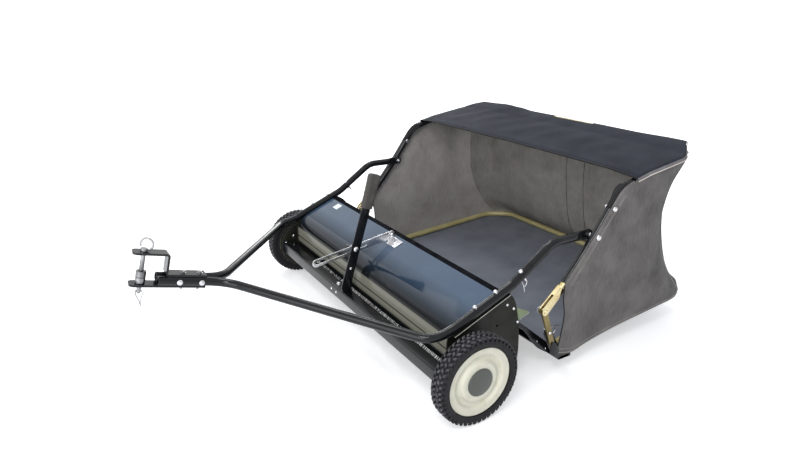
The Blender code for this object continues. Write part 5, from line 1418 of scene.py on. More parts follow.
        # Pale thin rod along the flange's outer edge: a painted highlight where light catches the edge.
        rim = [Vector((reach, *point_along(front, line, s, -0.0012))) for s in (0.0, length)]
        edge = Workpiece(f"plate_edge_{side.label}").tube(rim, 0.0010, 8)
        edge.done(PAINTS.rubbed, Part.HOUSING)

    def plate_bolts(self, side: Side) -> None:
        """Small bolts on the outside and inside of an end plate."""
        out = Vector((side.value, 0.0, 0.0))
        face = side.value * (PLACES.plate_x + PLACES.plate_thickness)
        inner = side.value * PLACES.plate_x
        piece = Workpiece(f"plate_bolts_{side.label}")
        for y, z in ((0.162, 0.264), (0.187, 0.246), (0.205, 0.200)):
            piece.head(Vector((face, y, z)), out, 0.0046)
            if y < 0.2:
                piece.head(Vector((inner, y, z)), -out, 0.0048, Head.HEX)
        for y in (0.010, 0.150):
            z = PLACES.tube_z(y) - (PLACES.tube_radius + PLACES.gap) / PLACES.cosine - 0.0028
            piece.head(Vector((side.value * 0.522, y, z)), Vector((0.0, 0.39, -0.92)), 0.0044, Head.HEX)
        piece.done(PAINTS.zinc, Part.HOUSING)

    def label(self) -> None:
        """Bare white sticker on the cover's right end, with rounded corners."""
        line = PLACES.slope_line
        middle = (0.101, self.cover_z(0.101))
        half_y, half_x, x = 0.014, 0.017, -0.420
        corner = 0.003
        flat = softened([(-half_y, -half_x), (half_y, -half_x), (half_y, half_x), (-half_y, half_x)], corner)
        piece = Workpiece("blank_label")
        low, high = [], []
        for along, across in flat:
            for rows, lift in ((low, 0.0001), (high, 0.0004)):
                y, z = point_along(middle, line, along, lift)
                rows.append(piece.mesh.verts.new((x + across, y, z)))
        faces = [piece.mesh.faces.new(low), piece.mesh.faces.new(high)]
        for i in range(len(low)):
            j = (i + 1) % len(low)
            faces.append(piece.mesh.faces.new((low[i], low[j], high[j], high[i])))
        bmesh.ops.recalc_face_normals(piece.mesh, faces=faces)
        piece.done(PAINTS.label, Part.HOUSING)


@dataclass
class HeightFrame:
    """Cross member, axle plates, lever, knob and slotted strap."""

    front_y: float = -0.090
    depth: float = 0.035
    top_z: float = 0.150
    height: float = 0.040
    sheet: float = 0.003
    foot: SidePoint = (-0.0836, 0.1530)
    bolt: SidePoint = (-0.040, 0.295)
    lever_length: float = 0.382
    half_width: float = 0.016
    half_thickness: float = 0.0025
    grip_start: float = 0.286
    grip_end: float = 0.400
    strap_pivot: SidePoint = (0.098, 0.318)
    strap_length: float = 0.292
    strap_half: float = 0.013
    strap_sheet: float = 0.003

    @property
    def line(self) -> SidePoint:
        """Direction of the lever."""
        return heading(self.foot, self.bolt)

    @property
    def strap_line(self) -> SidePoint:
        """Direction of the strap."""
        return heading(self.strap_pivot, self.bolt)

    def spot(self, s: float, n: float = 0.0) -> SidePoint:
        """Side-view point s up the lever and n to its left."""
        return point_along(self.foot, self.line, s, n)

    def build(self, housing: Housing) -> None:
        """Build the frame.

        Args:
            housing: the cover that the strap's bracket stands on.
        """
        self.cross_member()
        for side in Side:
            self.axle_plate(side)
        self.lever()
        self.grip()
        self.bracket()
        self.clamp_bolt()
        self.knob()
        self.strap()
        self.strap_bracket(housing)

    def cross_member(self) -> None:
        """Front channel with rolled edges, and its bolts."""
        front, rear = self.front_y, self.front_y + self.depth
        top, bottom, t = self.top_z, self.top_z - self.height, self.sheet
        outer = (side_arc((front + 0.006, bottom + 0.006), 0.006, 180.0, 270.0, 6)
                 + [(rear, bottom), (rear, bottom + t)])
        inner = side_arc((front + 0.006, bottom + 0.006), 0.003, 270.0, 180.0, 6)
        inner += side_arc((front + 0.006, top - 0.006), 0.003, 180.0, 90.0, 6)
        upper = [(rear, top - t), (rear, top)] + side_arc((front + 0.006, top - 0.006), 0.006, 90.0, 180.0, 6)
        half = PLACES.axle_plate_x - PLACES.gap
        piece = Workpiece("cross_member_skin").prism(outer + inner + upper, -half, half)
        piece.done(PAINTS.tube, Part.HEIGHT_FRAME, ["cross_member"])
        bolts = Workpiece("cross_member_bolts")
        for x in (-0.051, -0.086):
            bolts.head(Vector((x, front, 0.132)), Vector((0.0, -1.0, 0.0)), 0.0044)
        for side in Side:
            for y, z in ((-0.079, 0.1455), (-0.066, 0.1305)):
                bolts.head(Vector((side.value * (half - 0.0105), y, z + 0.0045)), Vector((0.0, 0.0, 1.0)),
                    0.0040)
        bolts.done(PAINTS.zinc, Part.HEIGHT_FRAME)

    def axle_plate(self, side: Side) -> None:
        """Dished dust cover with its stud, and three bolts on its inner face."""
        x = PLACES.axle_plate_x
        rim, t, deep = 0.0925, 0.003, 0.5545
        profile = [
            (x, 0.0), (x, 0.060), (x, rim - 0.004), (x + 0.0012, rim - 0.0012), (x + 0.004, rim), (deep, rim),
            (deep, rim - t), (x + t + 0.003, rim - t), (x + t, rim - t - 0.003), (x + t, 0.018),
            (0.5595, 0.0125), (0.5595, 0.008), (0.6050, 0.008), (0.6060, 0.0072), (0.6060, 0.0),
        ]
        out = Vector((side.value, 0.0, 0.0))
        piece = Workpiece(f"axle_plate_skin_{side.label}").turned(profile, Vector((0.0, *PLACES.axle)), out,
            72)
        hub = [(x - 0.004, 0.0085), (x - 0.004, 0.0128), (x - 0.0033, 0.0135), (x, 0.0135), (x, 0.0085)]
        piece.turned(hub, Vector((0.0, *PLACES.brush)), out, 32)
        piece.done(PAINTS.plate, Part.HEIGHT_FRAME, [f"axle_plate_{side.label}"])
        bolts = Workpiece(f"axle_plate_bolts_{side.label}")
        for y, z in ((-0.040, 0.168), (-0.048, 0.096), (0.004, 0.070), (0.0, 0.127)):
            bolts.head(Vector((side.value * x, y, z)), -out, 0.0050, Head.HEX)
        bolts.done(PAINTS.zinc, Part.HEIGHT_FRAME)

    def lever(self) -> None:
        """Flat lever bar with rounded edges."""
        w = self.half_width
        bar = [
            self.spot(0.0015, 0.006 - w), self.spot(0.012, -w), self.spot(self.grip_start - 0.004, 0.001 - w),
            self.spot(self.grip_start + 0.006, -0.0115), self.spot(self.lever_length, -0.0115),
            self.spot(self.lever_length, 0.0115), self.spot(self.grip_start + 0.006, 0.0115),
            self.spot(self.grip_start - 0.004, w - 0.001), self.spot(0.012, w), self.spot(0.0015, w - 0.006),
        ]
        piece = Workpiece("lever_skin").prism(bar, -self.half_thickness, self.half_thickness, 0.0007)
        piece.done(PAINTS.tube, Part.HEIGHT_FRAME, ["height_lever"])
        bolt = Workpiece("lever_low_bolt")
        bolt.head(Vector((self.half_thickness, *self.spot(0.082, 0.0))), Vector((1.0, 0.0, 0.0)), 0.0050)
        bolt.done(PAINTS.zinc, Part.HEIGHT_FRAME)

    def grip(self) -> None:
        """Foam-like grip: a flattened sleeve with soft shoulders, ribs and a rounded cap."""
        start, end = self.grip_start, self.grip_end
        rows = [
            (start, 0.0150, 0.0090), (start + 0.002, 0.0178, 0.0112), (start + 0.007, 0.0188, 0.0121),
            (start + 0.055, 0.0196, 0.0123), (end - 0.045, 0.0202, 0.0124), (end - 0.020, 0.0216, 0.0125),
            (end - 0.010, 0.0220, 0.0124), (end - 0.005, 0.0208, 0.0118), (end - 0.0015, 0.0175, 0.0098),
            (end, 0.0120, 0.0065),
        ]
        piece = Workpiece("grip_skin")
        rings = []
        fine = 90
        for k in range(fine + 1):
            s, wide, thick = curve_at(rows, k / fine)
            ridge = (0.00045 * math.sin(2.0 * math.pi * (s - start) / 0.0062)
                     * smooth_step(start, start + 0.01, s))
            ridge *= smooth_step(end - 0.004, end - 0.016, s)
            rings.append(self._superellipse(piece, s, wide + ridge, thick + ridge))
        faces = [piece.mesh.faces.new(rings[0]), piece.mesh.faces.new(rings[-1])]
        for a, b in zip(rings, rings[1:]):
            faces += piece._band(a, b, len(a))
        bmesh.ops.recalc_face_normals(piece.mesh, faces=faces)
        piece.done(PAINTS.grip, Part.HEIGHT_FRAME, ["lever_grip"], 60.0)

    def _superellipse(self, piece: Workpiece, s: float, wide: float, thick: float) -> list:
        """Ring of the grip's rounded-square section."""
        ring = []
        for k in range(36):
            t = 2.0 * math.pi * k / 36.0
            c, d = math.cos(t), math.sin(t)
            n = wide * math.copysign(abs(c) ** 0.62, c)
            x = thick * math.copysign(abs(d) ** 0.62, d)
            ring.append(piece.mesh.verts.new((x, *self.spot(s, n))))
        return ring

    def bracket(self) -> None:
        """Lever bracket on the cross member, with its two domed bolts."""
        right = -self.half_thickness - PLACES.gap
        front, rear, base_z = self.front_y + 0.001, self.front_y + self.depth - 0.001, self.top_z + PLACES.gap
        ear = [(front, base_z), (rear, base_z), self.spot(0.075, -0.013), self.spot(0.092, -0.008),
               self.spot(0.092, 0.008), self.spot(0.075, 0.013)]
        piece = Workpiece("lever_bracket_skin").prism(ear, right - 0.003, right, 0.0005)
        base = [(front, base_z), (rear, base_z), (rear, base_z + 0.003), (front, base_z + 0.003)]
        piece.prism(base, right - 0.082, right - 0.001, 0.0004)
        piece.done(PAINTS.tube, Part.HEIGHT_FRAME, ["lever_bracket"])
        bolts = Workpiece("lever_bracket_bolts")
        for x in (right - 0.025, right - 0.062):
            bolts.head(Vector((x, -0.0725, base_z + 0.003)), Vector((0.0, 0.0, 1.0)), 0.0066, Head.HEX)
        bolts.done(PAINTS.zinc, Part.HEIGHT_FRAME)

    def clamp_bolt(self) -> None:
        """Carriage bolt through lever, strap and knob."""
        middle = Vector((0.0, *self.bolt))
        left = self.half_thickness + PLACES.gap
        piece = Workpiece("clamp_bolt_skin").tube(
            [middle + Vector((-0.031, 0.0, 0.0)), middle + Vector((0.003, 0.0, 0.0))], 0.0039, 18)
        piece.head(middle + Vector((left, 0.0, 0.0)), Vector((1.0, 0.0, 0.0)), 0.0092)
        piece.done(PAINTS.zinc, Part.HEIGHT_FRAME, ["lever_bolt"])

    def knob(self) -> None:
        """Wing knob with a round boss and two rounded wings."""
        right = -self.half_thickness - self.strap_sheet - 3.0 * PLACES.gap
        profile = [(0.0, 0.0043), (0.0, 0.0110), (0.0005, 0.0115), (0.004, 0.0115), (0.010, 0.0092),
                   (0.015, 0.0080), (0.015, 0.0043)]
        out = Vector((-1.0, 0.0, 0.0))
        piece = Workpiece("knob_skin").turned(profile, Vector((right, *self.bolt)), out, 32)
        for sign in (1.0, -1.0):
            inner = point_along(self.bolt, self.line, 0.0, sign * 0.0075)
            outer = point_along(self.bolt, self.line, 0.0, sign * 0.0225)
            piece.prism(bar_outline(inner, outer, 0.0025, 0.0042, 10), right - 0.021, right - 0.004, 0.0012)
        piece.done(PAINTS.knob, Part.KNOB, ["wing_knob"])

    def strap(self) -> None:
        """Slotted strap with round ends."""
        right = -self.half_thickness - PLACES.gap
        rear = self.strap_pivot
        front = point_along(rear, self.strap_line, self.strap_length - self.strap_half)
        outline = bar_outline(rear, front, self.strap_half, self.strap_half, 16)
        piece = Workpiece("strap_skin").prism(outline, right - self.strap_sheet, right, 0.0005)
        slot = bar_outline(point_along(rear, self.strap_line, 0.102),
                           point_along(rear, self.strap_line, 0.278), 0.005, 0.005, 12)
        piece.minus(Workpiece("cutter").prism(slot, right - 0.01, right + 0.01))
        piece.done(PAINTS.zinc, Part.STRAP, ["height_strap"])

    def strap_bracket(self, housing: Housing) -> None:
        """Bent bracket on the cover with the strap's pivot bolt and its fixing bolts."""
        line = PLACES.slope_line
        seat_y = self.strap_pivot[0] - 0.004
        seat = (seat_y, housing.cover_z(seat_y) + PLACES.gap / PLACES.cosine)
        left, t = -self.half_thickness, 0.0025
        base = [point_along(seat, line, -0.018), point_along(seat, line, 0.018),
                point_along(seat, line, 0.018, t), point_along(seat, line, -0.018, t)]
        piece = Workpiece("strap_bracket_skin").prism(base, left, left + 0.052, 0.0005)
        ear = [point_along(seat, line, -0.015), point_along(seat, line, 0.015)]
        ear += side_arc(self.strap_pivot, 0.011, 20.0, 205.0, 16)
        piece.prism(ear, left, left + t, 0.0005)
        fixing = point_along(seat, line, -0.002, t)
        up = Vector((0.0, -line[1], line[0]))
        piece.head(Vector((left + 0.034, *fixing)), up, 0.0062, Head.HEX)
        piece.done(PAINTS.zinc, Part.HOUSING, ["strap_bracket"])
        right = -self.half_thickness - 2.0 * PLACES.gap - self.strap_sheet
        middle = Vector((0.0, *self.strap_pivot))
        pivot = Workpiece("strap_pivot_skin")
        pivot.tube([middle + Vector((right - 0.007, 0.0, 0.0)),
            middle + Vector((left + t + 0.004, 0.0, 0.0))], 0.0039, 18)
        pivot.head(middle + Vector((right, 0.0, 0.0)), Vector((-1.0, 0.0, 0.0)), 0.0062, Head.HEX)
        pivot.head(middle + Vector((left + t, 0.0, 0.0)), Vector((1.0, 0.0, 0.0)), 0.0066, Head.HEX)
        pivot.done(PAINTS.zinc, Part.HOUSING, ["strap_pivot_bolt"])


@dataclass
class Wheel:
    """Lugged tyre, moulded wheel with its ring gear, and hub cap."""

    side: Side
    radius: float = 0.127
    inner_x: float = 0.558
    width: float = 0.048
    rim_radius: float = 0.0985
    wall: float = 0.004
    cap_radius: float = 0.0395
    lugs: int = 48
    lug_height: float = 0.0056
    teeth: int = 60
    pinion_teeth: int = 10
    gear_x: float = 0.5605
    gear_width: float = 0.014

    @property
    def body(self) -> Part:
        """The wheel's moving body."""
        return Part.WHEEL_LEFT if self.side is Side.LEFT else Part.WHEEL_RIGHT

    @property
    def middle(self) -> Vector:
        """Origin of the axle line."""
        return Vector((0.0, *PLACES.axle))

    @property
    def out(self) -> Vector:
        """Outward direction of the axle."""
        return Vector((self.side.value, 0.0, 0.0))

    @property
    def module(self) -> float:
        """Gear module from the distance between the axle and the brush shaft."""
        return 2.0 * math.dist(PLACES.axle, PLACES.brush) / (self.teeth - self.pinion_teeth)

    @property
    def mesh_angle(self) -> float:
        """Direction from the axle to the brush shaft, in degrees."""
        return math.degrees(math.atan2(PLACES.brush[1] - PLACES.axle[1], PLACES.brush[0] - PLACES.axle[0]))

    def build(self) -> None:
        """Build the wheel and the pinion in it."""
        self.tyre()
        self.disc()
        self.ring_gear()
        self.cap()
        self.pinion()

    def tyre(self) -> None:
        """Tyre carcass with four staggered rows of lugs and shoulder blocks."""
        inner, outer, r = self.inner_x, self.inner_x + self.width, self.radius
        base = r - self.lug_height
        seat = self.rim_radius + 0.0003
        profile = [
            (inner, seat), (inner + 0.0012, seat + 0.002), (inner, seat + 0.006), (inner, r - 0.012),
            (inner + 0.004, base - 0.0025), (inner + 0.012, base), (outer - 0.012, base),
            (outer - 0.004, base - 0.0025), (outer, r - 0.012), (outer, seat + 0.006),
            (outer - 0.0012, seat + 0.002), (outer, seat),
        ]
        piece = Workpiece(f"tyre_skin_{self.side.label}").turned(profile, self.middle, self.out, 104)
        lip = [(inner - 0.0006, 0.0938), (inner - 0.0010, 0.0962), (inner - 0.0004, 0.0992),
               (inner + 0.0003, 0.0992), (inner + 0.0003, 0.0938)]
        piece.turned(lip, self.middle, self.out, 104)
        rng = random.Random(21)
        rows = ((0.0070, 0.0, 0.42), (0.0180, 0.5, -0.42), (0.0300, 0.08, 0.42), (0.0410, 0.58, -0.42))
        for offset, shift, lean in rows:
            for k in range(self.lugs):
                turn = 2.0 * math.pi * (k + shift + rng.uniform(-0.05, 0.05)) / self.lugs
                self._lug(piece, inner + offset, turn, 0.0050, 0.0050 + rng.uniform(-0.0006, 0.0006),
                          base - 0.0012, r - 0.0002 - self._fall(offset), lean)
        for place, shift in ((inner + 0.0012, 0.5), (outer - 0.0012, 0.08)):
            for k in range(self.lugs):
                turn = 2.0 * math.pi * (k + shift) / self.lugs
                self._lug(piece, place, turn, 0.0018, 0.0044, r - 0.0185, r - 0.0045, 0.0)
        piece.done(PAINTS.rubber, self.body, [f"tyre_{self.side.label}"], 28.0)

    def _fall(self, offset: float) -> float:
        """How much the tread drops from the tyre's middle, at a distance from its inner edge."""
        share = (offset - self.width / 2.0) / (self.width / 2.0)
        return 0.0022 * share * share

    def _lug(
        self, piece: Workpiece, x: float, turn: float, half_x: float, half_arc: float, low: float,
        high: float, lean: float,
    ) -> None:
        """Add one block of the tread, narrower at its top.

        Args:
            piece: the tyre being made.
            x: middle of the block along the axle.
            turn: its angle round the axle.
            half_x: half its width.
            half_arc: half its length round the tyre.
            low: radius that it stands on.
            high: radius of its top.
            lean: how far it slants across the tread.
        """
        corners = []
        for radius, scale in ((low, 1.0), (high, 0.72)):
            for a, b in ((-1, -1), (1, -1), (1, 1), (-1, 1)):
                angle = turn + b * scale * half_arc / radius + lean * a * half_arc / radius
                y = PLACES.axle[0] + radius * math.cos(angle)
                z = PLACES.axle[1] + radius * math.sin(angle)
                corners.append(piece.mesh.verts.new((self.side.value * (x + a * scale * half_x), y, z)))
        faces = [piece.mesh.faces.new(corners[4:8])]
        for i in range(4):
            j = (i + 1) % 4
            faces.append(piece.mesh.faces.new((corners[i], corners[j], corners[4 + j], corners[4 + i])))
        faces.append(piece.mesh.faces.new(list(reversed(corners[:4]))))
        bmesh.ops.recalc_face_normals(piece.mesh, faces=faces)

    def disc(self) -> None:
        """Moulded wheel face: a rolled lip, a deep groove and a raised hub ring."""
        face, wall = self.inner_x + self.width - 0.0035, self.wall
        front = [
            (face - 0.0030, self.rim_radius), (face - 0.0005, 0.0975), (face, 0.0955),
            (face - 0.0008, 0.0900), (face - 0.0012, 0.0820), (face - 0.0032, 0.0770),
            (face - 0.0092, 0.0722), (face - 0.0112, 0.0670), (face - 0.0092, 0.0618),
            (face - 0.0032, 0.0570), (face - 0.0004, 0.0530), (face, 0.0490), (face - 0.0002, 0.0420),
        ]
        smooth = [curve_at([(x, r, 0.0) for x, r in front], k / 60.0) for k in range(61)]
        profile = [(self.inner_x + 0.0005, self.rim_radius)] + [(p.x, p.y) for p in smooth]
        profile += [
            (face - 0.0002, 0.0083), (self.gear_x - 0.0005, 0.0083), (self.gear_x - 0.0005, 0.0150),
            (face - wall, 0.0480), (face - wall - 0.0112, 0.0670), (face - wall - 0.0010, 0.0830),
            (face - wall - 0.001, self.rim_radius - wall), (self.inner_x + 0.0005, self.rim_radius - wall),
        ]
        piece = Workpiece(f"wheel_skin_{self.side.label}").turned(profile, self.middle, self.out, 112)
        piece.done(PAINTS.ivory, self.body, [f"wheel_{self.side.label}"])

    def ring_gear(self) -> None:
        """Internal ring gear moulded inside the rim."""
        pitch = self.module * self.teeth / 2.0
        phase = self.mesh_angle + 180.0 / self.teeth
        outline = self._teeth(PLACES.axle, self.teeth, pitch - 0.8 * self.module, pitch + self.module, 0.70,
            1.90, phase)
        outer = self.rim_radius - self.wall
        piece = Workpiece(f"ring_gear_{self.side.label}")
        low, high = self.gear_x, self.gear_x + self.gear_width
        loops = []
        for x in (low, high):
            rim = []
            for y, z in outline:
                offset = Vector((y - PLACES.axle[0], z - PLACES.axle[1])).normalized() * outer
                rim.append((PLACES.axle[0] + offset.x, PLACES.axle[1] + offset.y))
            for ring in (outline, rim):
                loops.append([piece.mesh.verts.new((self.side.value * x, y, z)) for y, z in ring])
        inner_low, outer_low, inner_high, outer_high = loops
        count = len(outline)
        for i in range(count):
            j = (i + 1) % count
            piece.mesh.faces.new((inner_low[i], inner_low[j], inner_high[j], inner_high[i]))
            piece.mesh.faces.new((inner_low[i], outer_low[i], outer_low[j], inner_low[j]))
            piece.mesh.faces.new((inner_high[i], inner_high[j], outer_high[j], outer_high[i]))
            piece.mesh.faces.new((outer_low[i], outer_high[i], outer_high[j], outer_low[j]))
        bmesh.ops.recalc_face_normals(piece.mesh, faces=piece.mesh.faces[:])
        piece.done(PAINTS.ivory, self.body)

    @staticmethod
    def _teeth(
        centre: SidePoint, count: int, tip: float, root: float, tip_half: float, root_half: float,
        phase: float
    ) -> list[SidePoint]:
        """Outline of a gear with straight-flanked teeth, angles in degrees."""
        outline = []
        for k in range(count):
            middle = phase + 360.0 * k / count
            for radius, offset in ((root, -root_half), (tip, -tip_half), (tip, tip_half), (root, root_half)):
                turn = math.radians(middle + offset)
                outline.append((centre[0] + radius * math.cos(turn), centre[1] + radius * math.sin(turn)))
        return outline

    def cap(self) -> None:
        """Domed hub cap with a turned rim."""
        seat, r = self.inner_x + self.width - 0.0032, self.cap_radius
        profile = [
            (seat, 0.0), (seat, r - 0.0004), (seat + 0.0010, r), (seat + 0.0022, r - 0.0006),
            (seat + 0.0030, r - 0.0030), (seat + 0.0034, r - 0.0060), (seat + 0.0046, r - 0.0110),
            (seat + 0.0056, r - 0.0200), (seat + 0.0062, r - 0.0300), (seat + 0.0063, 0.0),
        ]
        piece = Workpiece(f"hub_cap_skin_{self.side.label}").turned(profile, self.middle, self.out, 72)
        piece.done(PAINTS.cap, self.body, [f"hub_cap_{self.side.label}"])

    def pinion(self) -> None:
        """Ten-tooth pinion with its hub."""
        pitch = self.module * self.pinion_teeth / 2.0
        outline = self._teeth(PLACES.brush, self.pinion_teeth, pitch + 0.8 * self.module, pitch - self.module,
                              3.0, 12.5, self.mesh_angle)
        sign = self.side.value
        piece = Workpiece(f"pinion_skin_{self.side.label}")
        piece.prism(softened(outline, 0.0008, 2), sign * (self.gear_x + 0.0005),
            sign * (self.gear_x + self.gear_width), 0.0003)
        hub = [(0.5415, 0.0083), (0.5415, 0.0106), (0.5421, 0.0112), (0.5612, 0.0112), (0.5612, 0.0083)]
        piece.turned(hub, Vector((0.0, *PLACES.brush)), self.out, 28)
        body = Part.BRUSH if self.side is Side.LEFT else Part.PINION_RIGHT
        piece.done(PAINTS.nylon, body, [f"pinion_{self.side.label}"])


@dataclass
class BrushRoll:
    """Bushes and four dense bristle strips round the shaft and core, which stay as imported."""

    half_length: float = 0.466
    reach: float = 0.104
    base: float = 0.036
    back: float = 0.009
    half_width: float = 0.006
    rows: int = 3
    columns: int = 120
    strand: float = 0.0011
    seed: int = 7

    def build(self) -> None:
        """Build the strips and the bushes."""
        for index in range(4):
            self.strip(index)
        self.bushes()

    def bushes(self) -> None:
        """Flanged nylon bushes in the end plates."""
        inner, outer = PLACES.plate_x - 0.005, PLACES.plate_x + PLACES.plate_thickness
        profile = [
            (inner, 0.0083), (inner, 0.0155), (inner + 0.0006, 0.0160), (outer + 0.0003, 0.0160),
            (outer + 0.0003, 0.0205), (outer + 0.0008, 0.0210), (outer + 0.0035, 0.0210),
            (outer + 0.0040, 0.0204), (outer + 0.0040, 0.0083),
        ]
        for side in Side:
            piece = Workpiece(f"bush_skin_{side.label}")
            piece.turned(profile, Vector((0.0, *PLACES.brush)), Vector((side.value, 0.0, 0.0)), 36)
            piece.done(PAINTS.nylon, Part.HOUSING, [f"brush_bush_{side.label}"])

    def strip(self, index: int) -> None:
        """One strip: its backing and three rows of bent strands.

        Args:
            index: which of the four strips, from 0.
        """
        rng = random.Random(self.seed + index)
        turn = math.radians(45.0 + 90.0 * index)
        out = (math.cos(turn), math.sin(turn))
        top = self.base + self.back
        backing = [
            point_along(PLACES.brush, out, self.base, -self.half_width),
            point_along(PLACES.brush, out, top, -self.half_width),
            point_along(PLACES.brush, out, top, self.half_width),
            point_along(PLACES.brush, out, self.base, self.half_width),
        ]
        piece = Workpiece(f"bristle_skin_{index + 1}").prism(backing, -self.half_length, self.half_length,
            0.0008)
        pitch = 2.0 * (self.half_length - 0.006) / (self.columns - 1)
        for row in range(self.rows):
            lean = (row - (self.rows - 1) / 2.0) * 2.0 / (self.rows - 1)
            for column in range(self.columns):
                x = -self.half_length + 0.006 + pitch * (column + 0.33 * row - 0.33)
                self._strand(piece, rng, out, x, lean, top)
        piece.done(PAINTS.bristle, Part.BRUSH, [f"bristle_strip_{index + 1}"], 60.0)

    def _strand(self, piece: Workpiece, rng: random.Random, out: SidePoint, x: float, lean: float,
            top: float) -> None:
        """Add one bent strand of three sides.

        Args:
            piece: the strip being made.
            rng: its source of small differences.
            out: the way the strip faces.
            x: its place along the roll.
            lean: which row it stands in, from -1 to 1.
            top: radius that it grows from.
        """
        tip = self.reach - rng.uniform(0.0008, 0.0040)
        sway_x, sway_n = rng.uniform(-0.0045, 0.0045), rng.uniform(-0.0030, 0.0030)
        foot = lean * self.half_width * 0.55
        rings = []
        for share in (0.0, 0.5, 1.0):
            radius = top - 0.002 + (tip - top + 0.002) * share
            offset = foot + (lean * 0.0085 + sway_n) * share ** 1.6
            thick = self.strand * (1.0 - 0.25 * share)
            ring = []
            for angle in (90.0, 210.0, 330.0):
                across, beside = thick * math.cos(math.radians(angle)), thick * math.sin(math.radians(angle))
                y, z = point_along(PLACES.brush, out, radius, offset + beside)
                ring.append(piece.mesh.verts.new((x + sway_x * share + across, y, z)))
            rings.append(ring)
        faces = [piece.mesh.faces.new(rings[0]), piece.mesh.faces.new(rings[-1])]
        for a, b in zip(rings, rings[1:]):
            faces += piece._band(a, b, 3)
        bmesh.ops.recalc_face_normals(piece.mesh, faces=faces)


@dataclass
class HopperFrame:
    """Tubes, forks, links and bar that carry the hopper's cloth."""

    fork_half: float = 0.0083
    link_half: float = 0.004
    frame_x: float = 0.490
    frame_radius: float = 0.0111
    frame_front: float = 0.384
    frame_rear: float = 1.000
    chamfer: float = 0.078
    rear_y: float = 0.875
    rear_z: float = 0.627
    rear_half: float = 0.430
    sheet: float = 0.003
    sleeve_bolt: SidePoint = (0.4915, 0.4995)
    cheek_x: float = 0.5491
    cheek: tuple[SidePoint, ...] = (
        (0.3385, 0.0665), (0.320, 0.0720), (0.303, 0.0900), (0.300, 0.1120), (0.308, 0.1240), (0.322, 0.1180),
        (0.334, 0.1000), (0.3385, 0.0850),
    )

    def build(self) -> None:
        """Build the upper and the lower frame."""
        for side in Side:
            self.leg(side)
            self.fork(side)
            self.pivot_bolt(side)
            self.link(side)
        self.top_rail()
        self.lower_tube()
        self.front_bar()

    def leg_line(self, side: Side) -> list[Vector]:
        """Centre line of one black side tube."""
        x = side.value * PLACES.leg_x
        corners = [
            Vector((x, 0.337, 0.300)), Vector((x, *PLACES.pivot)), Vector((x, 0.526, 0.548)),
            Vector((x, 0.600, PLACES.rail_z(0.600))), Vector((x, 0.735, PLACES.rail_z(0.735))),
        ]
        return bent_line(corners, [0.20, 0.075, 0.055], 4.0)

    def leg(self, side: Side) -> None:
        """One black side tube."""
        piece = Workpiece(f"side_tube_skin_{side.label}").tube(self.leg_line(side), PLACES.leg_radius, 26)
        piece.done(PAINTS.tube, Part.UPPER, [f"hopper_side_tube_{side.label}"])

    def fork(self, side: Side) -> None:
        """Gold fork under the side tube: two folded cheeks, a spigot and the elbow pin."""
        x = side.value * PLACES.leg_x
        path = self.leg_line(side)
        along = (path[1] - path[0]).normalized()
        start, end = PLACES.elbow, (0.337, 0.300)
        line = heading(start, end)
        length = math.dist(start, end)
        body = bar_outline(start, point_along(start, line, length - 0.0165), 0.0125, 0.0100, 14)
        piece = Workpiece(f"fork_skin_{side.label}").prism(body, x - self.fork_half, x + self.fork_half,
            0.0007)
        slot_half = self.link_half + PLACES.gap
        slot = bar_outline(point_along(start, line, -0.03), point_along(start, line, 0.034), 0.02, 0.02, 8)
        piece.minus(Workpiece("cutter").prism(slot, x - slot_half, x + slot_half))
        piece.tube([path[0] - along * 0.014, path[0] + along * 0.004], 0.0108, 24)
        middle = Vector((x, *start))
        reach = self.fork_half
        for way in (1.0, -1.0):
            across = Vector((way, 0.0, 0.0))
            piece.head(middle + across * reach, across, 0.0060)
            piece.head(Vector((x, *point_along(start, line, 0.052))) + across * reach, across, 0.0036)
        piece.done(PAINTS.gold, Part.UPPER, [f"hopper_fork_{side.label}"])
        clip = Workpiece(f"fork_clip_{side.label}")
        inner = x - side.value * (reach + 0.005)
        shape = [(0.000, 0.010), (-0.010, 0.006), (-0.012, -0.004), (-0.004, -0.010), (0.006, -0.006),
                 (0.008, 0.003), (0.020, 0.004)]
        wire = [Vector((inner, start[0] + a, start[1] + b)) for a, b in shape]
        clip.tube([curve_at(wire, k / 28.0) for k in range(29)], 0.0008, 8)
        clip.done(PAINTS.zinc, Part.UPPER)

    def pivot_bolt(self, side: Side) -> None:
        """Bolt, spacer and nut that hang the hopper on the arm, and the upper bolt of the sleeve."""
        sign = side.value
        out = Vector((sign, 0.0, 0.0))
        middle = Vector((0.0, *PLACES.pivot))
        inner, outer = 0.5155, 0.5592
        piece = Workpiece(f"pivot_bolt_skin_{side.label}")
        piece.tube([middle + out * (inner - 0.008), middle + out * outer], 0.0040, 18)
        piece.head(middle + out * inner, -out, 0.0068, Head.HEX)
        spacer = [(0.5245, 0.0042), (0.5245, 0.0068), (0.5250, 0.0072), (0.5309, 0.0072), (0.5314, 0.0068),
                  (0.5314, 0.0042)]
        piece.turned(spacer, middle, out, 28)
        piece.head(middle + out * (outer - 0.0005), out, 0.0088)
        piece.done(PAINTS.zinc, Part.UPPER, [f"hopper_pivot_bolt_{side.label}"])
        upper = Workpiece(f"sleeve_bolt_{side.label}")
        upper.head(Vector((sign * 0.5586, *self.sleeve_bolt)), out, 0.0080)
        upper.head(Vector((sign * (PLACES.leg_x - PLACES.leg_radius + 0.0005), *self.sleeve_bolt)), -out,
            0.0068, Head.HEX)
        upper.done(PAINTS.zinc, Part.UPPER)

    def link(self, side: Side) -> None:
        """Gold link from the elbow pin to the front bar, with its own pin and hairpin."""
        x = side.value * PLACES.leg_x
        low = (0.322, 0.088)
        piece = Workpiece(f"link_skin_{side.label}")
        piece.prism(bar_outline(PLACES.elbow, low, 0.0098, 0.0072, 14), x - self.link_half,
            x + self.link_half, 0.0008)
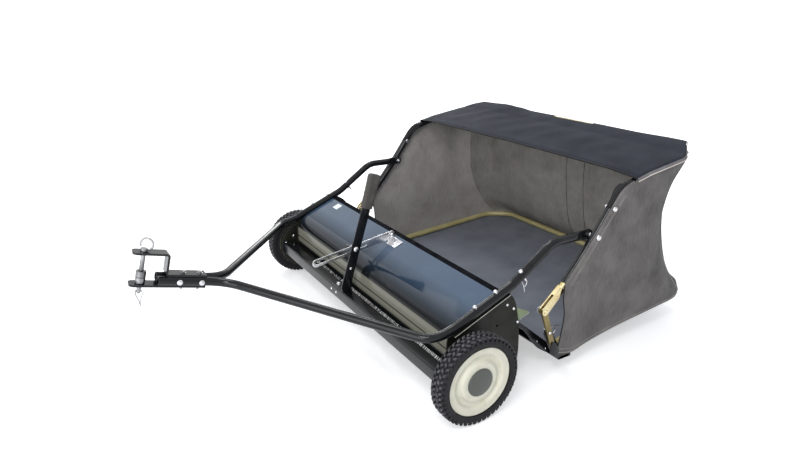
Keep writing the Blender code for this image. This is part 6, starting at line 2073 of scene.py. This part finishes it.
        # The link takes a darker copy of the gold plating, painted shade.
        piece.done(PAINTS.link, Part.LOWER, [f"hopper_link_{side.label}"])
        pin = Workpiece(f"link_pin_{side.label}")
        line = heading(PLACES.elbow, low)
        spot = point_along(PLACES.elbow, line, 0.082)
        inner = x - side.value * self.link_half
        across = Vector((-side.value, 0.0, 0.0))
        base = Vector((inner, *spot))
        pin.head(Vector((x + side.value * self.link_half, *spot)), -across, 0.0050)
        pin.tube([base, base + across * 0.016], 0.0028, 12)
        shape = [(0.302, 0.157), (0.318, 0.160), (0.334, 0.154), (0.338, 0.144), (0.330, 0.137),
                 (0.320, 0.139), (0.316, 0.149), (0.322, 0.157), (0.336, 0.160), (0.354, 0.158)]
        wire = [Vector((base.x + across.x * 0.012, y, z)) for y, z in shape]
        pin.tube([curve_at(wire, k / 40.0) for k in range(41)], 0.0012, 8)
        pin.done(PAINTS.zinc, Part.LOWER)

    def top_rail(self) -> None:
        """Gold tube across the top rear."""
        rail_end = (0.797, 0.6023)
        x = PLACES.leg_x
        start = self.leg_line(Side.LEFT)[-1]
        corners = [
            start, Vector((x, *rail_end)), Vector((self.rear_half, self.rear_y, self.rear_z)),
            Vector((0.0, self.rear_y, self.rear_z + 0.004)),
            Vector((-self.rear_half, self.rear_y, self.rear_z)), Vector((-x, *rail_end)),
            Vector((-x, start.y, start.z)),
        ]
        path = bent_line(corners, [0.07, 0.07, 0.0, 0.07, 0.07], 4.0)
        piece = Workpiece("top_rail_skin").tube(path, PLACES.rail_radius, 24)
        piece.done(PAINTS.gold, Part.UPPER, ["hopper_top_rail"])

    def lower_tube(self) -> None:
        """Gold U-shaped tube round the floor."""
        x, front, rear, c = self.frame_x, self.frame_front, self.frame_rear, self.chamfer
        z = PLACES.frame_z
        corners = [
            Vector((x, front, z(front))), Vector((x, rear - c, z(rear - c))), Vector((x - c, rear, z(rear))),
            Vector((c - x, rear, z(rear))), Vector((-x, rear - c, z(rear - c))),
            Vector((-x, front, z(front))),
        ]
        path = bent_line(corners, [0.06, 0.06, 0.06, 0.06], 4.0)
        piece = Workpiece("lower_frame_skin").tube(path, self.frame_radius, 26, bore=(0.02, 0.02))
        piece.done(PAINTS.frame, Part.LOWER, ["hopper_lower_frame"])

    def front_bar(self) -> None:
        """Black bar under the floor's front edge, with its ears, brackets and rivets."""
        top = (PLACES.frame_z(self.frame_front) - self.frame_radius - PLACES.gap - self.sheet
               - 1.2 * PLACES.gap)
        low, front, rear = top - 0.010, 0.352, 0.402
        reach = PLACES.leg_x - self.link_half - PLACES.gap
        outline = [(front, low), (rear, low), (rear, top), (front + 0.012, top), (front, top - 0.004)]
        piece = Workpiece("front_bar_skin").prism(softened(outline, 0.0015), -reach, reach)
        bracket = [
            (0.2148, 0.1905), (0.2190, 0.1915), (0.330, 0.0985), (0.372, 0.0640), (0.3795, 0.0600),
            (0.3795, low + 0.001), (0.352, low + 0.001), (0.330, 0.0620), (0.305, 0.0790), (0.284, 0.1010),
            (0.268, 0.1260), (0.240, 0.1600), (0.2146, 0.1800),
        ]
        ear = [
            (0.395, low), (0.352, low), (0.318, 0.085), (0.283, 0.150), (0.286, 0.166), (0.298, 0.171),
            (0.309, 0.163), (0.340, 0.105), (0.395, 0.062),
        ]
        for side in Side:
            ends = sorted((side.value * 0.4942, side.value * 0.4972))
            piece.prism(softened(bracket, 0.010), ends[0], ends[1], 0.0005)
            ends = sorted((side.value * (reach - 0.004), side.value * reach))
            piece.prism(softened(ear, 0.006), ends[0], ends[1], 0.0006)
            ends = sorted((side.value * (PLACES.leg_x + self.link_half + 0.0003), side.value * self.cheek_x))
            piece.prism(softened(self.cheek, 0.005), ends[0], ends[1], 0.0004)
        piece.done(PAINTS.tube, Part.LOWER, ["hopper_front_bar"])
        rivets = Workpiece("apron_rivets")
        for side in Side:
            for y, z in ((0.300, 0.104), (0.338, 0.0685)):
                rivets.head(Vector((side.value * 0.4972, y, z)), Vector((side.value, 0.0, 0.0)), 0.0026)
        rivets.done(PAINTS.zinc, Part.LOWER)


# The back cloth from bottom to top: corner x, y, z, then the middle's y, z
BACK_ROWS: tuple[tuple[float, ...], ...] = (
    (0.4860, 0.976, 0.106, 1.0128, 0.107),
    (0.4875, 0.962, 0.118, 1.0136, 0.119),
    (0.4890, 0.950, 0.130, 1.0090, 0.1305),
    (0.4900, 0.935, 0.145, 0.9840, 0.145),
    (0.4900, 0.896, 0.190, 0.9320, 0.190),
    (0.4900, 0.852, 0.250, 0.9030, 0.260),
    (0.4880, 0.811, 0.350, 0.8820, 0.360),
    (0.4900, 0.802, 0.440, 0.8710, 0.450),
    (0.4980, 0.811, 0.530, 0.8720, 0.540),
    (0.5100, 0.833, 0.590, 0.8868, 0.605),
    (0.5130, 0.844, 0.6115, 0.8872, 0.631),
)

Grid = list[list[Vector]]


@dataclass
class HopperCloth:
    """Every sewn panel of the hopper, with its hems, piping and stitches."""

    thickness: float = 0.0014
    outer_x: float = 0.5563
    hem_y: float = 0.572
    wrap_turns: tuple[float, ...] = (46.0, 35.0, 24.0, 12.0)
    seam_radius: float = 0.0022
    fold_start: Vector = field(default_factory=lambda: Vector((0.0, 0.337, 0.300)))
    fold_end: Vector = field(default_factory=lambda: Vector((0.0, 0.3710, 0.0731)))

    def build(self) -> None:
        """Build the panels."""
        for side in Side:
            self.side_panel(side)
        self.back_panel()
        self.top_panel()
        self.floor()

    def fold(self, piece: bpy.types.Object) -> None:
        """Bake a piece's transform into its mesh."""
        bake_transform(piece)

    def sheet_from(
        self, name: str, grid: Grid, keep: Callable[[int, int], bool] | None = None, inner_face_differs: bool = False
    ) -> Workpiece:
        """Closed thin sheet over a grid, grown along the grid's own normals.

        Args:
            name: the piece's name.
            grid: rows of points.
            keep: says which cells are kept, by row and column.
            inner_face_differs: whether the face on the grid itself takes the second finish.

        Returns:
            The sheet as a piece in making.
        """
        piece = Workpiece(name)
        rows, columns = len(grid), len(grid[0])
        near, far = [], []
        for r in range(rows):
            near.append([piece.mesh.verts.new(p) for p in grid[r]])
            line = []
            for c in range(columns):
                across = grid[r][min(c + 1, columns - 1)] - grid[r][max(c - 1, 0)]
                up = grid[min(r + 1, rows - 1)][c] - grid[max(r - 1, 0)][c]
                line.append(piece.mesh.verts.new(grid[r][c] + across.cross(up).normalized() * self.thickness))
            far.append(line)
        cells = {(r, c) for r in range(rows - 1) for c in range(columns - 1) if keep is None or keep(r, c)}
        for r, c in cells:
            inside = piece.mesh.faces.new((near[r][c], near[r][c + 1], near[r + 1][c + 1], near[r + 1][c]))
            inside.material_index = int(inner_face_differs)
            piece.mesh.faces.new((far[r][c], far[r + 1][c], far[r + 1][c + 1], far[r][c + 1]))
            borders = {
                (r - 1, c): ((r, c), (r, c + 1)), (r + 1, c): ((r + 1, c + 1), (r + 1, c)),
                (r, c - 1): ((r + 1, c), (r, c)), (r, c + 1): ((r, c + 1), (r + 1, c + 1)),
            }
            for neighbour, (a, b) in borders.items():
                if neighbour not in cells:
                    piece.mesh.faces.new((near[b[0]][b[1]], near[a[0]][a[1]], far[a[0]][a[1]],
                        far[b[0]][b[1]]))
        loose = [v for v in piece.mesh.verts if not v.link_faces]
        bmesh.ops.delete(piece.mesh, geom=loose, context="VERTS")
        bmesh.ops.recalc_face_normals(piece.mesh, faces=piece.mesh.faces[:])
        return piece

    def corner_line(self, side: Side) -> list[tuple[float, float, float]]:
        """Sewn corner between side and back cloth, bottom to top."""
        return [(side.value * x, y, z) for x, y, z, _, _ in BACK_ROWS]

    def side_boundary(self, side: Side) -> tuple[list, list, list, list]:
        """Bottom, top, front and rear edge of a side panel."""
        x = side.value
        front = [
            (x * 0.5440, 0.339, 0.0745), (x * 0.5460, 0.349, 0.130), (x * 0.5520, 0.349, 0.205),
            (x * self.outer_x, 0.336, 0.290), (x * self.outer_x, 0.396, 0.370),
            (x * self.outer_x, 0.446, 0.431), (x * self.outer_x, 0.502, 0.500),
            (x * self.outer_x, self.hem_y - 0.010, 0.574),
        ]
        corner = self.corner_line(side)
        bottom = [
            front[0], (x * 0.5410, 0.400, 0.0600), (x * 0.5280, 0.480, 0.0630), (x * 0.519, 0.590, 0.071),
            (x * 0.515, 0.700, 0.079), (x * 0.513, 0.830, 0.089), (x * 0.510, 0.920, 0.098), corner[0],
        ]
        lift = PLACES.leg_radius - 0.0015
        top = [front[-1]] + [(x * self.outer_x, y, PLACES.rail_z(y) + lift) for y in (0.620, 0.680, 0.740)]
        top += [(x * (self.outer_x - 0.002), 0.793, PLACES.rail_z(0.793) + lift), corner[-1]]
        return bottom, top, front, corner

    def side_panel(self, side: Side) -> None:
        """Side panel: it wraps round the leg, hangs in soft folds and ends in a double piping."""
        bottom, top, front, rear = self.side_boundary(side)
        columns, rows = 48, 56
        grid: Grid = []
        for r in range(rows + 1):
            v = r / rows
            line = []
            for c in range(columns + 1):
                u = c / columns
                corners = (Vector(bottom[0]) * (1 - u) * (1 - v) + Vector(bottom[-1]) * u * (1 - v)
                           + Vector(top[0]) * (1 - u) * v + Vector(top[-1]) * u * v)
                point = (curve_at(bottom, u) * (1 - v) + curve_at(top, u) * v + curve_at(front, v) * (1 - u)
                         + curve_at(rear, v) * u - corners)
                point.x += side.value * self.ripple(u, v)
                line.append(point)
            grid.append(line)
        wrap = self.leg_wrap(side, grid, front)
        grid = [extra + line for extra, line in zip(wrap, grid)]
        if side is Side.RIGHT:
            grid = [list(reversed(line)) for line in grid]
        area = self.area(grid)
        panel = self.sheet_from(f"side_panel_{side.label}", grid, inner_face_differs=True)
        made = panel.done(PAINTS.side_mesh, None, [f"hopper_side_cloth_{side.label}"], 60.0,
            PAINTS.side_inner_painted_light)
        trims = self.side_trims(side, grid)
        self.fold(made)
        LOG.info("side panel %s: %.3f m2 of cloth", side.label, area)

    @staticmethod
    def ripple(u: float, v: float) -> float:
        """Outward push of the side panel's slack, in metres."""
        fade = math.sin(math.pi * min(max(u, 0.0), 1.0)) * math.sin(math.pi * min(max(v, 0.0), 1.0))
        pull = 0.0030 * math.sin(9.0 * u + 5.0 * v + 0.6) * smooth_step(0.0, 0.5, u)
        crease = -0.0026 * math.exp(-((v - 0.47 + 0.22 * u) / 0.030) ** 2)
        streak = 0.0012 * math.sin(31.0 * u + 3.0 * math.sin(6.0 * v)) * (1.0 - v)
        return (pull + crease + streak) * fade ** 0.6 if fade > 0.0 else 0.0

    def leg_wrap(self, side: Side, grid: Grid, front: Sequence) -> Grid:
        """Extra columns that carry the panel's front edge round the leg tube.

        Args:
            side: the panel's side.
            grid: the panel's rows.
            front: its front edge.

        Returns:
            For each row, the points before the panel's own, forward edge first.
        """
        radius = abs(front[3][0]) - PLACES.leg_x
        leg = even_line(HopperFrame().leg_line(side), 0.004)
        result = []
        for line in grid:
            edge = line[0]
            on_leg = smooth_step(0.275, 0.300, edge.z)
            near = min(range(len(leg)), key=lambda i: (leg[i] - edge).length)
            along = (leg[min(near + 2, len(leg) - 1)] - leg[max(near - 2, 0)]).normalized()
            forward = Vector((0.0, -along.z, along.y))
            extra = []
            for degrees in self.wrap_turns:
                t = math.radians(degrees)
                round_leg = Vector((side.value * (PLACES.leg_x + radius * math.cos(t)), leg[near].y,
                    leg[near].z))
                round_leg += forward * (radius * math.sin(t))
                hem = edge + Vector((0.0, -0.0085 * degrees / self.wrap_turns[0], 0.0))
                extra.append(hem.lerp(round_leg, on_leg))
            beside = Vector((side.value * (PLACES.leg_x + radius), leg[near].y, leg[near].z))
            for c, share in enumerate((1.0, 0.6, 0.25)):
                line[c] = line[c].lerp(line[c] + beside - edge, on_leg * share)
            result.append(extra)
        return result

    @staticmethod
    def area(grid: Grid) -> float:
        """Surface in square metres of a grid as it is built."""
        total = 0.0
        for low, high in zip(grid, grid[1:]):
            for a, b, c, d in zip(low, low[1:], high[1:], high):
                total += 0.5 * ((b - a).cross(c - a).length + (c - a).cross(d - a).length)
        return total

    def cord_along(self, name: str, points: Sequence[Vector], radius: float, finish: Finish,
            body: Part | None) -> bpy.types.Object:
        """Round piping sewn along a line.

        Args:
            name: the piece's name.
            points: the line it follows.
            radius: its radius.
            finish: what it is made of.
            body: the body it rides on, or None to bake it in place on no body.

        Returns:
            The piping.
        """
        piece = Workpiece(name).tube(list(points), radius, 8).done(finish, body, (), 80.0)
        if body is None:
            self.fold(piece)
        return piece

    def side_trims(self, side: Side, grid: Grid) -> list[bpy.types.Object]:
        """Double piping on the bottom hem and corner, and the sleeve's stitches."""
        sign = side.value
        rows = grid if side is Side.LEFT else [list(reversed(line)) for line in grid]
        wrap = len(self.wrap_turns)
        push = Vector((sign * (self.thickness + 0.0006), 0.0, 0.0))
        trims = []
        for k, (row, name) in enumerate(((1, "lower"), (3, "upper"))):
            line = [p + push for p in rows[row][wrap:]]
            trims.append(self.cord_along(f"hem_piping_{name}_{side.label}", line, 0.0013 - 0.0003 * k,
                PAINTS.piping, None))
        edge = [line[-2] + push for line in rows[2:-1]]
        trims.append(self.cord_along(f"corner_piping_{side.label}", edge, 0.0011, PAINTS.piping, None))
        front = [line[0] for line in rows if line[wrap].z < 0.300]
        trims.append(self.cord_along(f"front_binding_{side.label}", front, 0.0017, PAINTS.binding, None))
        # The corner seam takes the back's lighter inner-face finish.
        corner = [curve_at(self.corner_line(side), k / 60.0) for k in range(1, 60)]
        trims.append(self.cord_along(f"corner_seam_{side.label}", corner, self.seam_radius,
            PAINTS.back_lining, None))
        for column, name in ((1, "front"), (2, "rear")):
            seam = [line[wrap + column] + push * 0.9 for line in rows if 0.30 < line[wrap].z < 0.545]
            trims.append(self.cord_along(f"sleeve_stitch_{name}_{side.label}", seam, 0.0006, PAINTS.piping,
                Part.UPPER))
        return trims

    def back_panel(self) -> None:
        """Back panel, drawn in between top rail and floor frame, with two sewn seams."""
        shares = [(0.0, 0.0), (0.27, 0.0), (0.54, 0.0), (0.84, 0.0), (0.90, 0.10), (0.96, 0.45), (1.0, 1.0)]
        fine_shares = []
        for k in range(31):
            point = curve_at([(a, b, 0.0) for a, b in shares], k / 30.0)
            fine_shares.append((min(point.x, 1.0), min(max(point.y, 0.0), 1.0)))
        spread = [(-a, b) for a, b in reversed(fine_shares[1:])] + fine_shares
        rows = 60
        grid: Grid = []
        for r in range(rows + 1):
            v = r / rows
            lower = curve_at([row[:3] for row in BACK_ROWS], v)
            middle = curve_at([(row[3], row[4], 0.0) for row in BACK_ROWS], v)
            line = []
            for share, setback in spread:
                y = middle.x + (lower.y + 0.0016 - middle.x) * setback
                z = middle.y + (lower.z - middle.y) * setback
                x = -share * (lower.x - 0.0012)
                fade = math.sin(math.pi * v) * (1.0 - share * share)
                y += fade * (0.0022 * math.sin(23.0 * x + 4.0 * z)
                             + 0.0014 * math.sin(47.0 * x - 7.0 * z + 1.0))
                line.append(Vector((x, y, z)))
            grid.append(line)
        panel = self.sheet_from("back_panel", grid, inner_face_differs=True).done(
            PAINTS.back_mesh, None, ["hopper_back_cloth"], 60.0, PAINTS.back_lining
        )
        for x in (0.018, 0.106):
            seam = []
            for line in grid:
                near = min(line, key=lambda p: abs(p.x - x))
                seam.append(Vector((x, near.y - 0.0006, near.z)))
            self.cord_along(f"back_seam_{round(x * 1000)}", seam[1:-1], 0.0008, PAINTS.binding,
                None)
        self.fold(panel)

    def top_panel(self) -> None:
        """Top panel: one curved sheet from skirt to skirt, notched over the rear rail's middle."""
        rows = [(self.hem_y, 0.5428), (0.630, 0.5428), (0.690, 0.5428), (0.745, 0.5425), (0.795, 0.5395),
                (0.848, 0.5090), (0.872, 0.4930), (0.888, 0.468), (0.8925, 0.410)]
        count = 64
        lines = []
        for r in range(count + 1):
            y, half, _ = curve_at([(a, b, 0.0) for a, b in rows], r / count)
            lines.append((y, half))
        across = [k / 40.0 for k in range(-40, 41)]
        skirt = [0.26, 0.50, 0.72, 0.92, 1.10, 1.24]
        grid: Grid = []
        for r, (y, half) in enumerate(lines):
            share = (y - self.hem_y) / (0.875 - self.hem_y)
            tail = smooth_step(0.872, 0.8925, y)
            rim = self.top_edge(y)
            line = [Vector((s * half, y, rim + self.crown(share, s) - 0.0065 * tail)) for s in across]
            drop_reach = 0.0148 * (1.0 - smooth_step(0.765, 0.845, y))
            left = [self._skirt(line[-1], turn, drop_reach, 1.0) for turn in skirt]
            right = [self._skirt(line[0], turn, drop_reach, -1.0) for turn in reversed(skirt)]
            grid.append(right + line + left)
        middle = len(skirt)

        def kept(r: int, c: int) -> bool:
            """Leave out the notch over the rail's middle."""
            s = across[min(max(c - middle, 0), len(across) - 1)]
            return not (lines[r][0] > 0.8565 and -0.17 < s < 0.25)

        panel = self.sheet_from("top_panel", grid, kept).done(PAINTS.top, Part.UPPER, ["hopper_top_cloth"],
            60.0)
        trims = self.top_trims(grid)

    def top_edge(self, y: float) -> float:
        """Height of the top panel's underside over the rails."""
        edge = PLACES.rail_z(y) + PLACES.leg_radius + 0.0006
        if y > 0.797:
            extra = min(1.0, (y - 0.797) / 0.078)
            edge = edge * (1.0 - extra) + (0.627 + PLACES.rail_radius + 0.0006) * extra
        return edge

    @staticmethod
    def crown(share: float, s: float) -> float:
        """Rise of the top panel above its rails, with its soft creases."""
        rise = (0.004 + 0.006 * math.sin(math.pi * min(max(share, 0.0), 1.0))) * (1.0 - s * s)
        fade = math.sin(math.pi * min(max(share, 0.0), 1.0)) * (1.0 - abs(s) ** 6)
        diagonal = 0.0016 * math.exp(-((abs(s) - 0.55 - 0.35 * (1.0 - share)) / 0.05) ** 2)
        waves = 0.0010 * math.sin(13.0 * s + 4.0 * share) + 0.0008 * math.sin(29.0 * s - 6.0 * share)
        back, inward = 0.303 * share, 0.543 * (1.0 - abs(s))
        pulls = (0.0014 * math.sin(13.0 * math.atan2(back, inward))
                 * math.exp(-(math.hypot(back, inward) / 0.13) ** 2))
        fold = 0.0012 * math.exp(-((share - 0.085) / 0.020) ** 2) * (1.0 - s ** 8)
        swell = 0.0085 * math.exp(-((s + 0.68) / 0.16) ** 2) * smooth_step(0.55, 1.0, share)
        front_corner = smooth_step(0.84, 1.0, abs(s)) * (1.0 - smooth_step(0.0, 0.22, share))
        rear_middle = smooth_step(0.6, 1.0, share) * (1.0 - smooth_step(0.60, 0.95, abs(s)))
        rise += 0.0045 * (1.0 - front_corner) * (1.0 - rear_middle)
        return (rise + swell + (diagonal + waves) * fade + fold
                + pulls * (1.0 - abs(s) ** 30) * smooth_step(0.0, 0.06, share))

    @staticmethod
    def _skirt(edge: Vector, turn: float, reach: float, way: float) -> Vector:
        """Point of the top panel where it rolls over a side rail."""
        return edge + Vector((way * reach * math.sin(min(turn, math.pi / 2)), 0.0,
                              -reach * (1.0 - math.cos(turn)) - 0.004 * max(0.0, turn - math.pi / 2)))

    def top_trims(self, grid: Grid) -> list[bpy.types.Object]:
        """Piping along both side seams, a bound front hem and its stitches."""
        trims = []
        for side, columns in ((Side.LEFT, range(-4, 0)), (Side.RIGHT, range(0, 4))):
            out = Vector((side.value * (self.thickness + 0.0003), 0.0, 0.0004))
            band = self.sheet_from(f"side_band_{side.label}",
                [[row[c] + out for c in columns] for row in grid[1:-6]])
            trims.append(band.done(PAINTS.band, Part.UPPER, (), 60.0))
            lowest = columns[-1] if side is Side.LEFT else columns[0]
            line = [row[lowest] + out + Vector((side.value * 0.0012, 0.0, -0.0016)) for row in grid[1:-6]]
            trims.append(self.cord_along(f"top_piping_{side.label}", line, 0.0017, PAINTS.edge, Part.UPPER))
            knob = Workpiece(f"corner_knob_{side.label}")
            turns = [math.radians(-90.0 + 18.0 * k) for k in range(11)]
            profile = [(0.0052 * math.sin(t), 0.0056 * math.cos(t)) for t in turns]
            knob.turned(profile, Vector((side.value * 0.5150, 0.8480, 0.6135)), Vector((0.0, 0.3, 1.0)), 20)
            trims.append(knob.done(PAINTS.binding, Part.UPPER))
            trims.append(self.corner_patch(side))
        hem = [p + Vector((0.0, -0.0012, 0.0004)) for p in grid[0][3:-3]]
        trims.append(self.cord_along("front_hem", hem, 0.0022, PAINTS.binding, Part.UPPER))
        stitch = [p + Vector((0.0, 0.0, self.thickness + 0.0002)) for p in grid[2][4:-4]]
        trims.append(self.cord_along("hem_stitch", stitch, 0.0007, PAINTS.binding, Part.UPPER))
        return trims

    def corner_patch(self, side: Side) -> bpy.types.Object:
        """Black patch sewn round the inner side of a leg, below the top panel's front corner."""
        leg = [p for p in even_line(HopperFrame().leg_line(side), 0.004) if 0.495 < p.z < 0.556]
        radius = PLACES.leg_radius + 0.0008
        grid: Grid = []
        for i, point in enumerate(leg):
            along = (leg[min(i + 1, len(leg) - 1)] - leg[max(i - 1, 0)]).normalized()
            forward = Vector((0.0, -along.z, along.y))
            line = []
            for degrees in (52.0, 75.0, 100.0, 125.0, 150.0, 170.0):
                t = math.radians(degrees)
                line.append(point + Vector((side.value * radius * math.cos(t), 0.0, 0.0))
                            + forward * (radius * math.sin(t)))
            flap = 0.0105 * smooth_step(0.0, 0.80, i / (len(leg) - 1))
            for share in (0.5, 1.0):
                line.append(line[5] - Vector((side.value * flap * share, 0.0, 0.0)))
            grid.append(line if side is Side.RIGHT else list(reversed(line)))
        return self.sheet_from(f"corner_patch_{side.label}", grid).done(PAINTS.binding, Part.UPPER, (), 60.0)

    def floor(self) -> None:
        """Floor sheet that hangs in its frame, with the apron that rises to the deflector."""
        half, frame = 0.4932, HopperFrame()
        rear, c = frame.frame_rear + frame.frame_radius - 0.001, frame.chamfer
        level = lambda y: PLACES.frame_z(y) - frame.frame_radius - PLACES.gap - self.thickness
        controls = [(0.2150, 0.1920), (0.288, 0.1285), (0.362, 0.0655)]
        apron = [curve_at([(y, z - self.thickness, 0.0) for y, z in controls], k / 14.0) for k in range(15)]
        rows = [(p.x, p.y, half - 0.001) for p in apron[:-1]]
        steps = 56
        for k in range(steps + 1):
            y = 0.374 + (rear - 0.374) * k / steps
            narrow = max(0.0, y - (rear - c))
            rows.append((y, level(y), half - narrow))
        grid: Grid = []
        for y, z, width in rows:
            line = []
            for k in range(61):
                s = 1.0 - k / 30.0
                inside = (1.0 - s * s) * smooth_step(0.34, 0.50, y) * smooth_step(rear, rear - 0.10, y)
                sag = -0.0030 * inside + 0.0008 * inside * math.sin(21.0 * s + 9.0 * y)
                line.append(Vector((width * s, y, z + sag)))
            grid.append(line)
        piece = self.sheet_from("floor_panel", grid).done(PAINTS.floor, Part.LOWER, ["hopper_floor"], 60.0)


@dataclass
class Studio:
    """Camera, lamps, floor and world."""

    place: Vector = field(default_factory=lambda: Vector((1.61985, -0.87783, 1.02428)))
    azimuth: float = 1.02809
    elevation: float = 0.346217
    roll: float = 0.0041
    focal_pixels: float = 605.164
    width_pixels: float = 785.0
    sensor: float = 36.0

    def build(self) -> None:
        """Set up everything that isn't the object."""
        self.camera()
        self.floor()
        self.world()
        self.lamp("key", Vector((1.9, -1.7, 2.9)), 0.8, 34.0)
        self.lamp("front", Vector((1.7, -3.0, 1.1)), 2.6, 64.0)
        self.lamp("fill", Vector((-2.6, -1.2, 2.2)), 2.6, 22.0)
        self.lamp("back", Vector((-1.35, 0.39, 4.0)), 1.2, 36.0)
        self.lamp("rim", Vector((-3.6, 1.9, 1.3)), 1.2, 26.0)
        scene = bpy.context.scene
        scene.view_settings.view_transform = "Standard"

    def camera(self) -> None:
        """Camera at the photograph's place and angle."""
        ca, sa, ce, se = (math.cos(self.azimuth), math.sin(self.azimuth),
                          math.cos(self.elevation), math.sin(self.elevation))
        back = Vector((sa * ce, -ca * ce, se))
        right = Vector((ca, sa, 0.0))
        up = back.cross(right)
        c, s = math.cos(self.roll), math.sin(self.roll)
        rolled_right, rolled_up = right * c + up * s, up * c - right * s
        data = bpy.data.cameras.new("camera")
        data.sensor_width = self.sensor
        data.lens = self.focal_pixels * self.sensor / self.width_pixels
        data.clip_end = 100.0
        obj = bpy.data.objects.new("camera", data)
        bpy.context.scene.collection.objects.link(obj)
        turn = Matrix((rolled_right, rolled_up, back)).transposed().to_4x4()
        obj.matrix_world = Matrix.Translation(self.place) @ turn
        bpy.context.scene.camera = obj

    def floor(self) -> None:
        """Wide pale floor that stays almost white to the camera and keeps the shadow."""
        builder = bmesh.new()
        bmesh.ops.create_circle(builder, cap_ends=True, segments=96, radius=14.0)
        data = bpy.data.meshes.new("studio_floor")
        builder.to_mesh(data)
        builder.free()
        obj = bpy.data.objects.new("studio_floor", data)
        bpy.context.scene.collection.objects.link(obj)
        obj.location.z = -0.0005
        paint = bpy.data.materials.new("studio_floor")
        paint.use_nodes = True
        tree = paint.node_tree
        shader = tree.nodes["Principled BSDF"]
        shader.inputs["Base Color"].default_value = (0.82, 0.82, 0.82, 1.0)
        shader.inputs["Roughness"].default_value = 0.9
        shader.inputs["Specular IOR Level"].default_value = 0.0
        glow = tree.nodes.new("ShaderNodeEmission")
        tree.links.new(self._rising_glow(tree), glow.inputs["Strength"])
        seen = self._seen(tree)
        nothing = tree.nodes.new("ShaderNodeEmission")
        nothing.inputs["Strength"].default_value = 0.0
        pick = tree.nodes.new("ShaderNodeMixShader")
        tree.links.new(seen, pick.inputs[0])
        tree.links.new(nothing.outputs[0], pick.inputs[1])
        tree.links.new(glow.outputs[0], pick.inputs[2])
        both = tree.nodes.new("ShaderNodeAddShader")
        tree.links.new(shader.outputs[0], both.inputs[0])
        tree.links.new(pick.outputs[0], both.inputs[1])
        tree.links.new(both.outputs[0], tree.nodes["Material Output"].inputs["Surface"])
        data.materials.append(paint)

    @staticmethod
    def _rising_glow(tree: bpy.types.NodeTree) -> bpy.types.NodeSocket:
        """Glow that is faint round the machine and full white far from it."""
        place = tree.nodes.new("ShaderNodeTexCoord").outputs["Object"]
        length = tree.nodes.new("ShaderNodeVectorMath")
        length.operation = "LENGTH"
        tree.links.new(place, length.inputs[0])
        rise = tree.nodes.new("ShaderNodeMapRange")
        for name, number in (("From Min", 1.2), ("From Max", 3.4), ("To Min", 0.45), ("To Max", 1.0)):
            rise.inputs[name].default_value = number
        tree.links.new(length.outputs["Value"], rise.inputs["Value"])
        return rise.outputs["Result"]

    @staticmethod
    def _seen(tree: bpy.types.NodeTree) -> bpy.types.NodeSocket:
        """1 for rays from the camera or from a shiny or clear surface."""
        path = tree.nodes.new("ShaderNodeLightPath")
        first = tree.nodes.new("ShaderNodeMath")
        first.operation = "MAXIMUM"
        tree.links.new(path.outputs["Is Camera Ray"], first.inputs[0])
        tree.links.new(path.outputs["Is Glossy Ray"], first.inputs[1])
        second = tree.nodes.new("ShaderNodeMath")
        second.operation = "MAXIMUM"
        tree.links.new(first.outputs[0], second.inputs[0])
        tree.links.new(path.outputs["Is Transmission Ray"], second.inputs[1])
        return second.outputs[0]

    def world(self) -> None:
        """Soft grey-white world that looks white to the camera."""
        world = bpy.data.worlds.new("studio")
        world.use_nodes = True
        tree = world.node_tree
        plain = tree.nodes["Background"]
        plain.inputs["Color"].default_value = (0.90, 0.94, 1.0, 1.0)
        plain.inputs["Strength"].default_value = 0.70
        white = tree.nodes.new("ShaderNodeBackground")
        white.inputs["Color"].default_value = (1.0, 1.0, 1.0, 1.0)
        white.inputs["Strength"].default_value = 1.0
        pick = tree.nodes.new("ShaderNodeMixShader")
        tree.links.new(self._seen(tree), pick.inputs[0])
        tree.links.new(plain.outputs[0], pick.inputs[1])
        tree.links.new(white.outputs[0], pick.inputs[2])
        tree.links.new(pick.outputs[0], tree.nodes["World Output"].inputs["Surface"])
        bpy.context.scene.world = world

    @staticmethod
    def lamp(name: str, place: Vector, size: float, power: float) -> None:
        """Soft square lamp that faces the machine.

        Args:
            name: the lamp's name.
            place: where it stands.
            size: length of its side.
            power: its strength in watts.
        """
        data = bpy.data.lights.new(name, "AREA")
        data.size, data.energy = size, power
        obj = bpy.data.objects.new(name, data)
        bpy.context.scene.collection.objects.link(obj)
        aim = Vector((0.0, 0.15, 0.25)) - place
        obj.matrix_world = Matrix.Translation(place) @ aim.to_track_quat("-Z", "Y").to_matrix().to_4x4()


def dress_kept_nodes(nodes: dict[str, bpy.types.Object]) -> None:
    """Give the solids that stay as they are their finish.

    Args:
        nodes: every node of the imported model.
    """
    kept = {"brush_shaft": PAINTS.zinc, "brush_core": PAINTS.plate}
    for name, finish in kept.items():
        nodes[name].data.materials.clear()
        nodes[name].data.materials.append(finish.material())
        LOG.info("%s: kept, with %s", name, finish.name)


def main() -> None:
    """Build the dressed sweeper, sub-assembly by sub-assembly."""
    logging.basicConfig(level=logging.INFO, format="%(name)s %(message)s")
    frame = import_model()
    Studio().build()
    hitch = Hitch()
    housing = Housing()
    hitch.build()
    Drawbar().build(hitch)
    housing.build()
    HeightFrame().build(housing)
    for side in Side:
        Wheel(side).build()
    BrushRoll().build()
    HopperFrame().build()
    HopperCloth().build()
    dress_kept_nodes(frame["nodes"])
    LOG.info("all sub-assemblies are built")


if __name__ == "__main__":
    main()
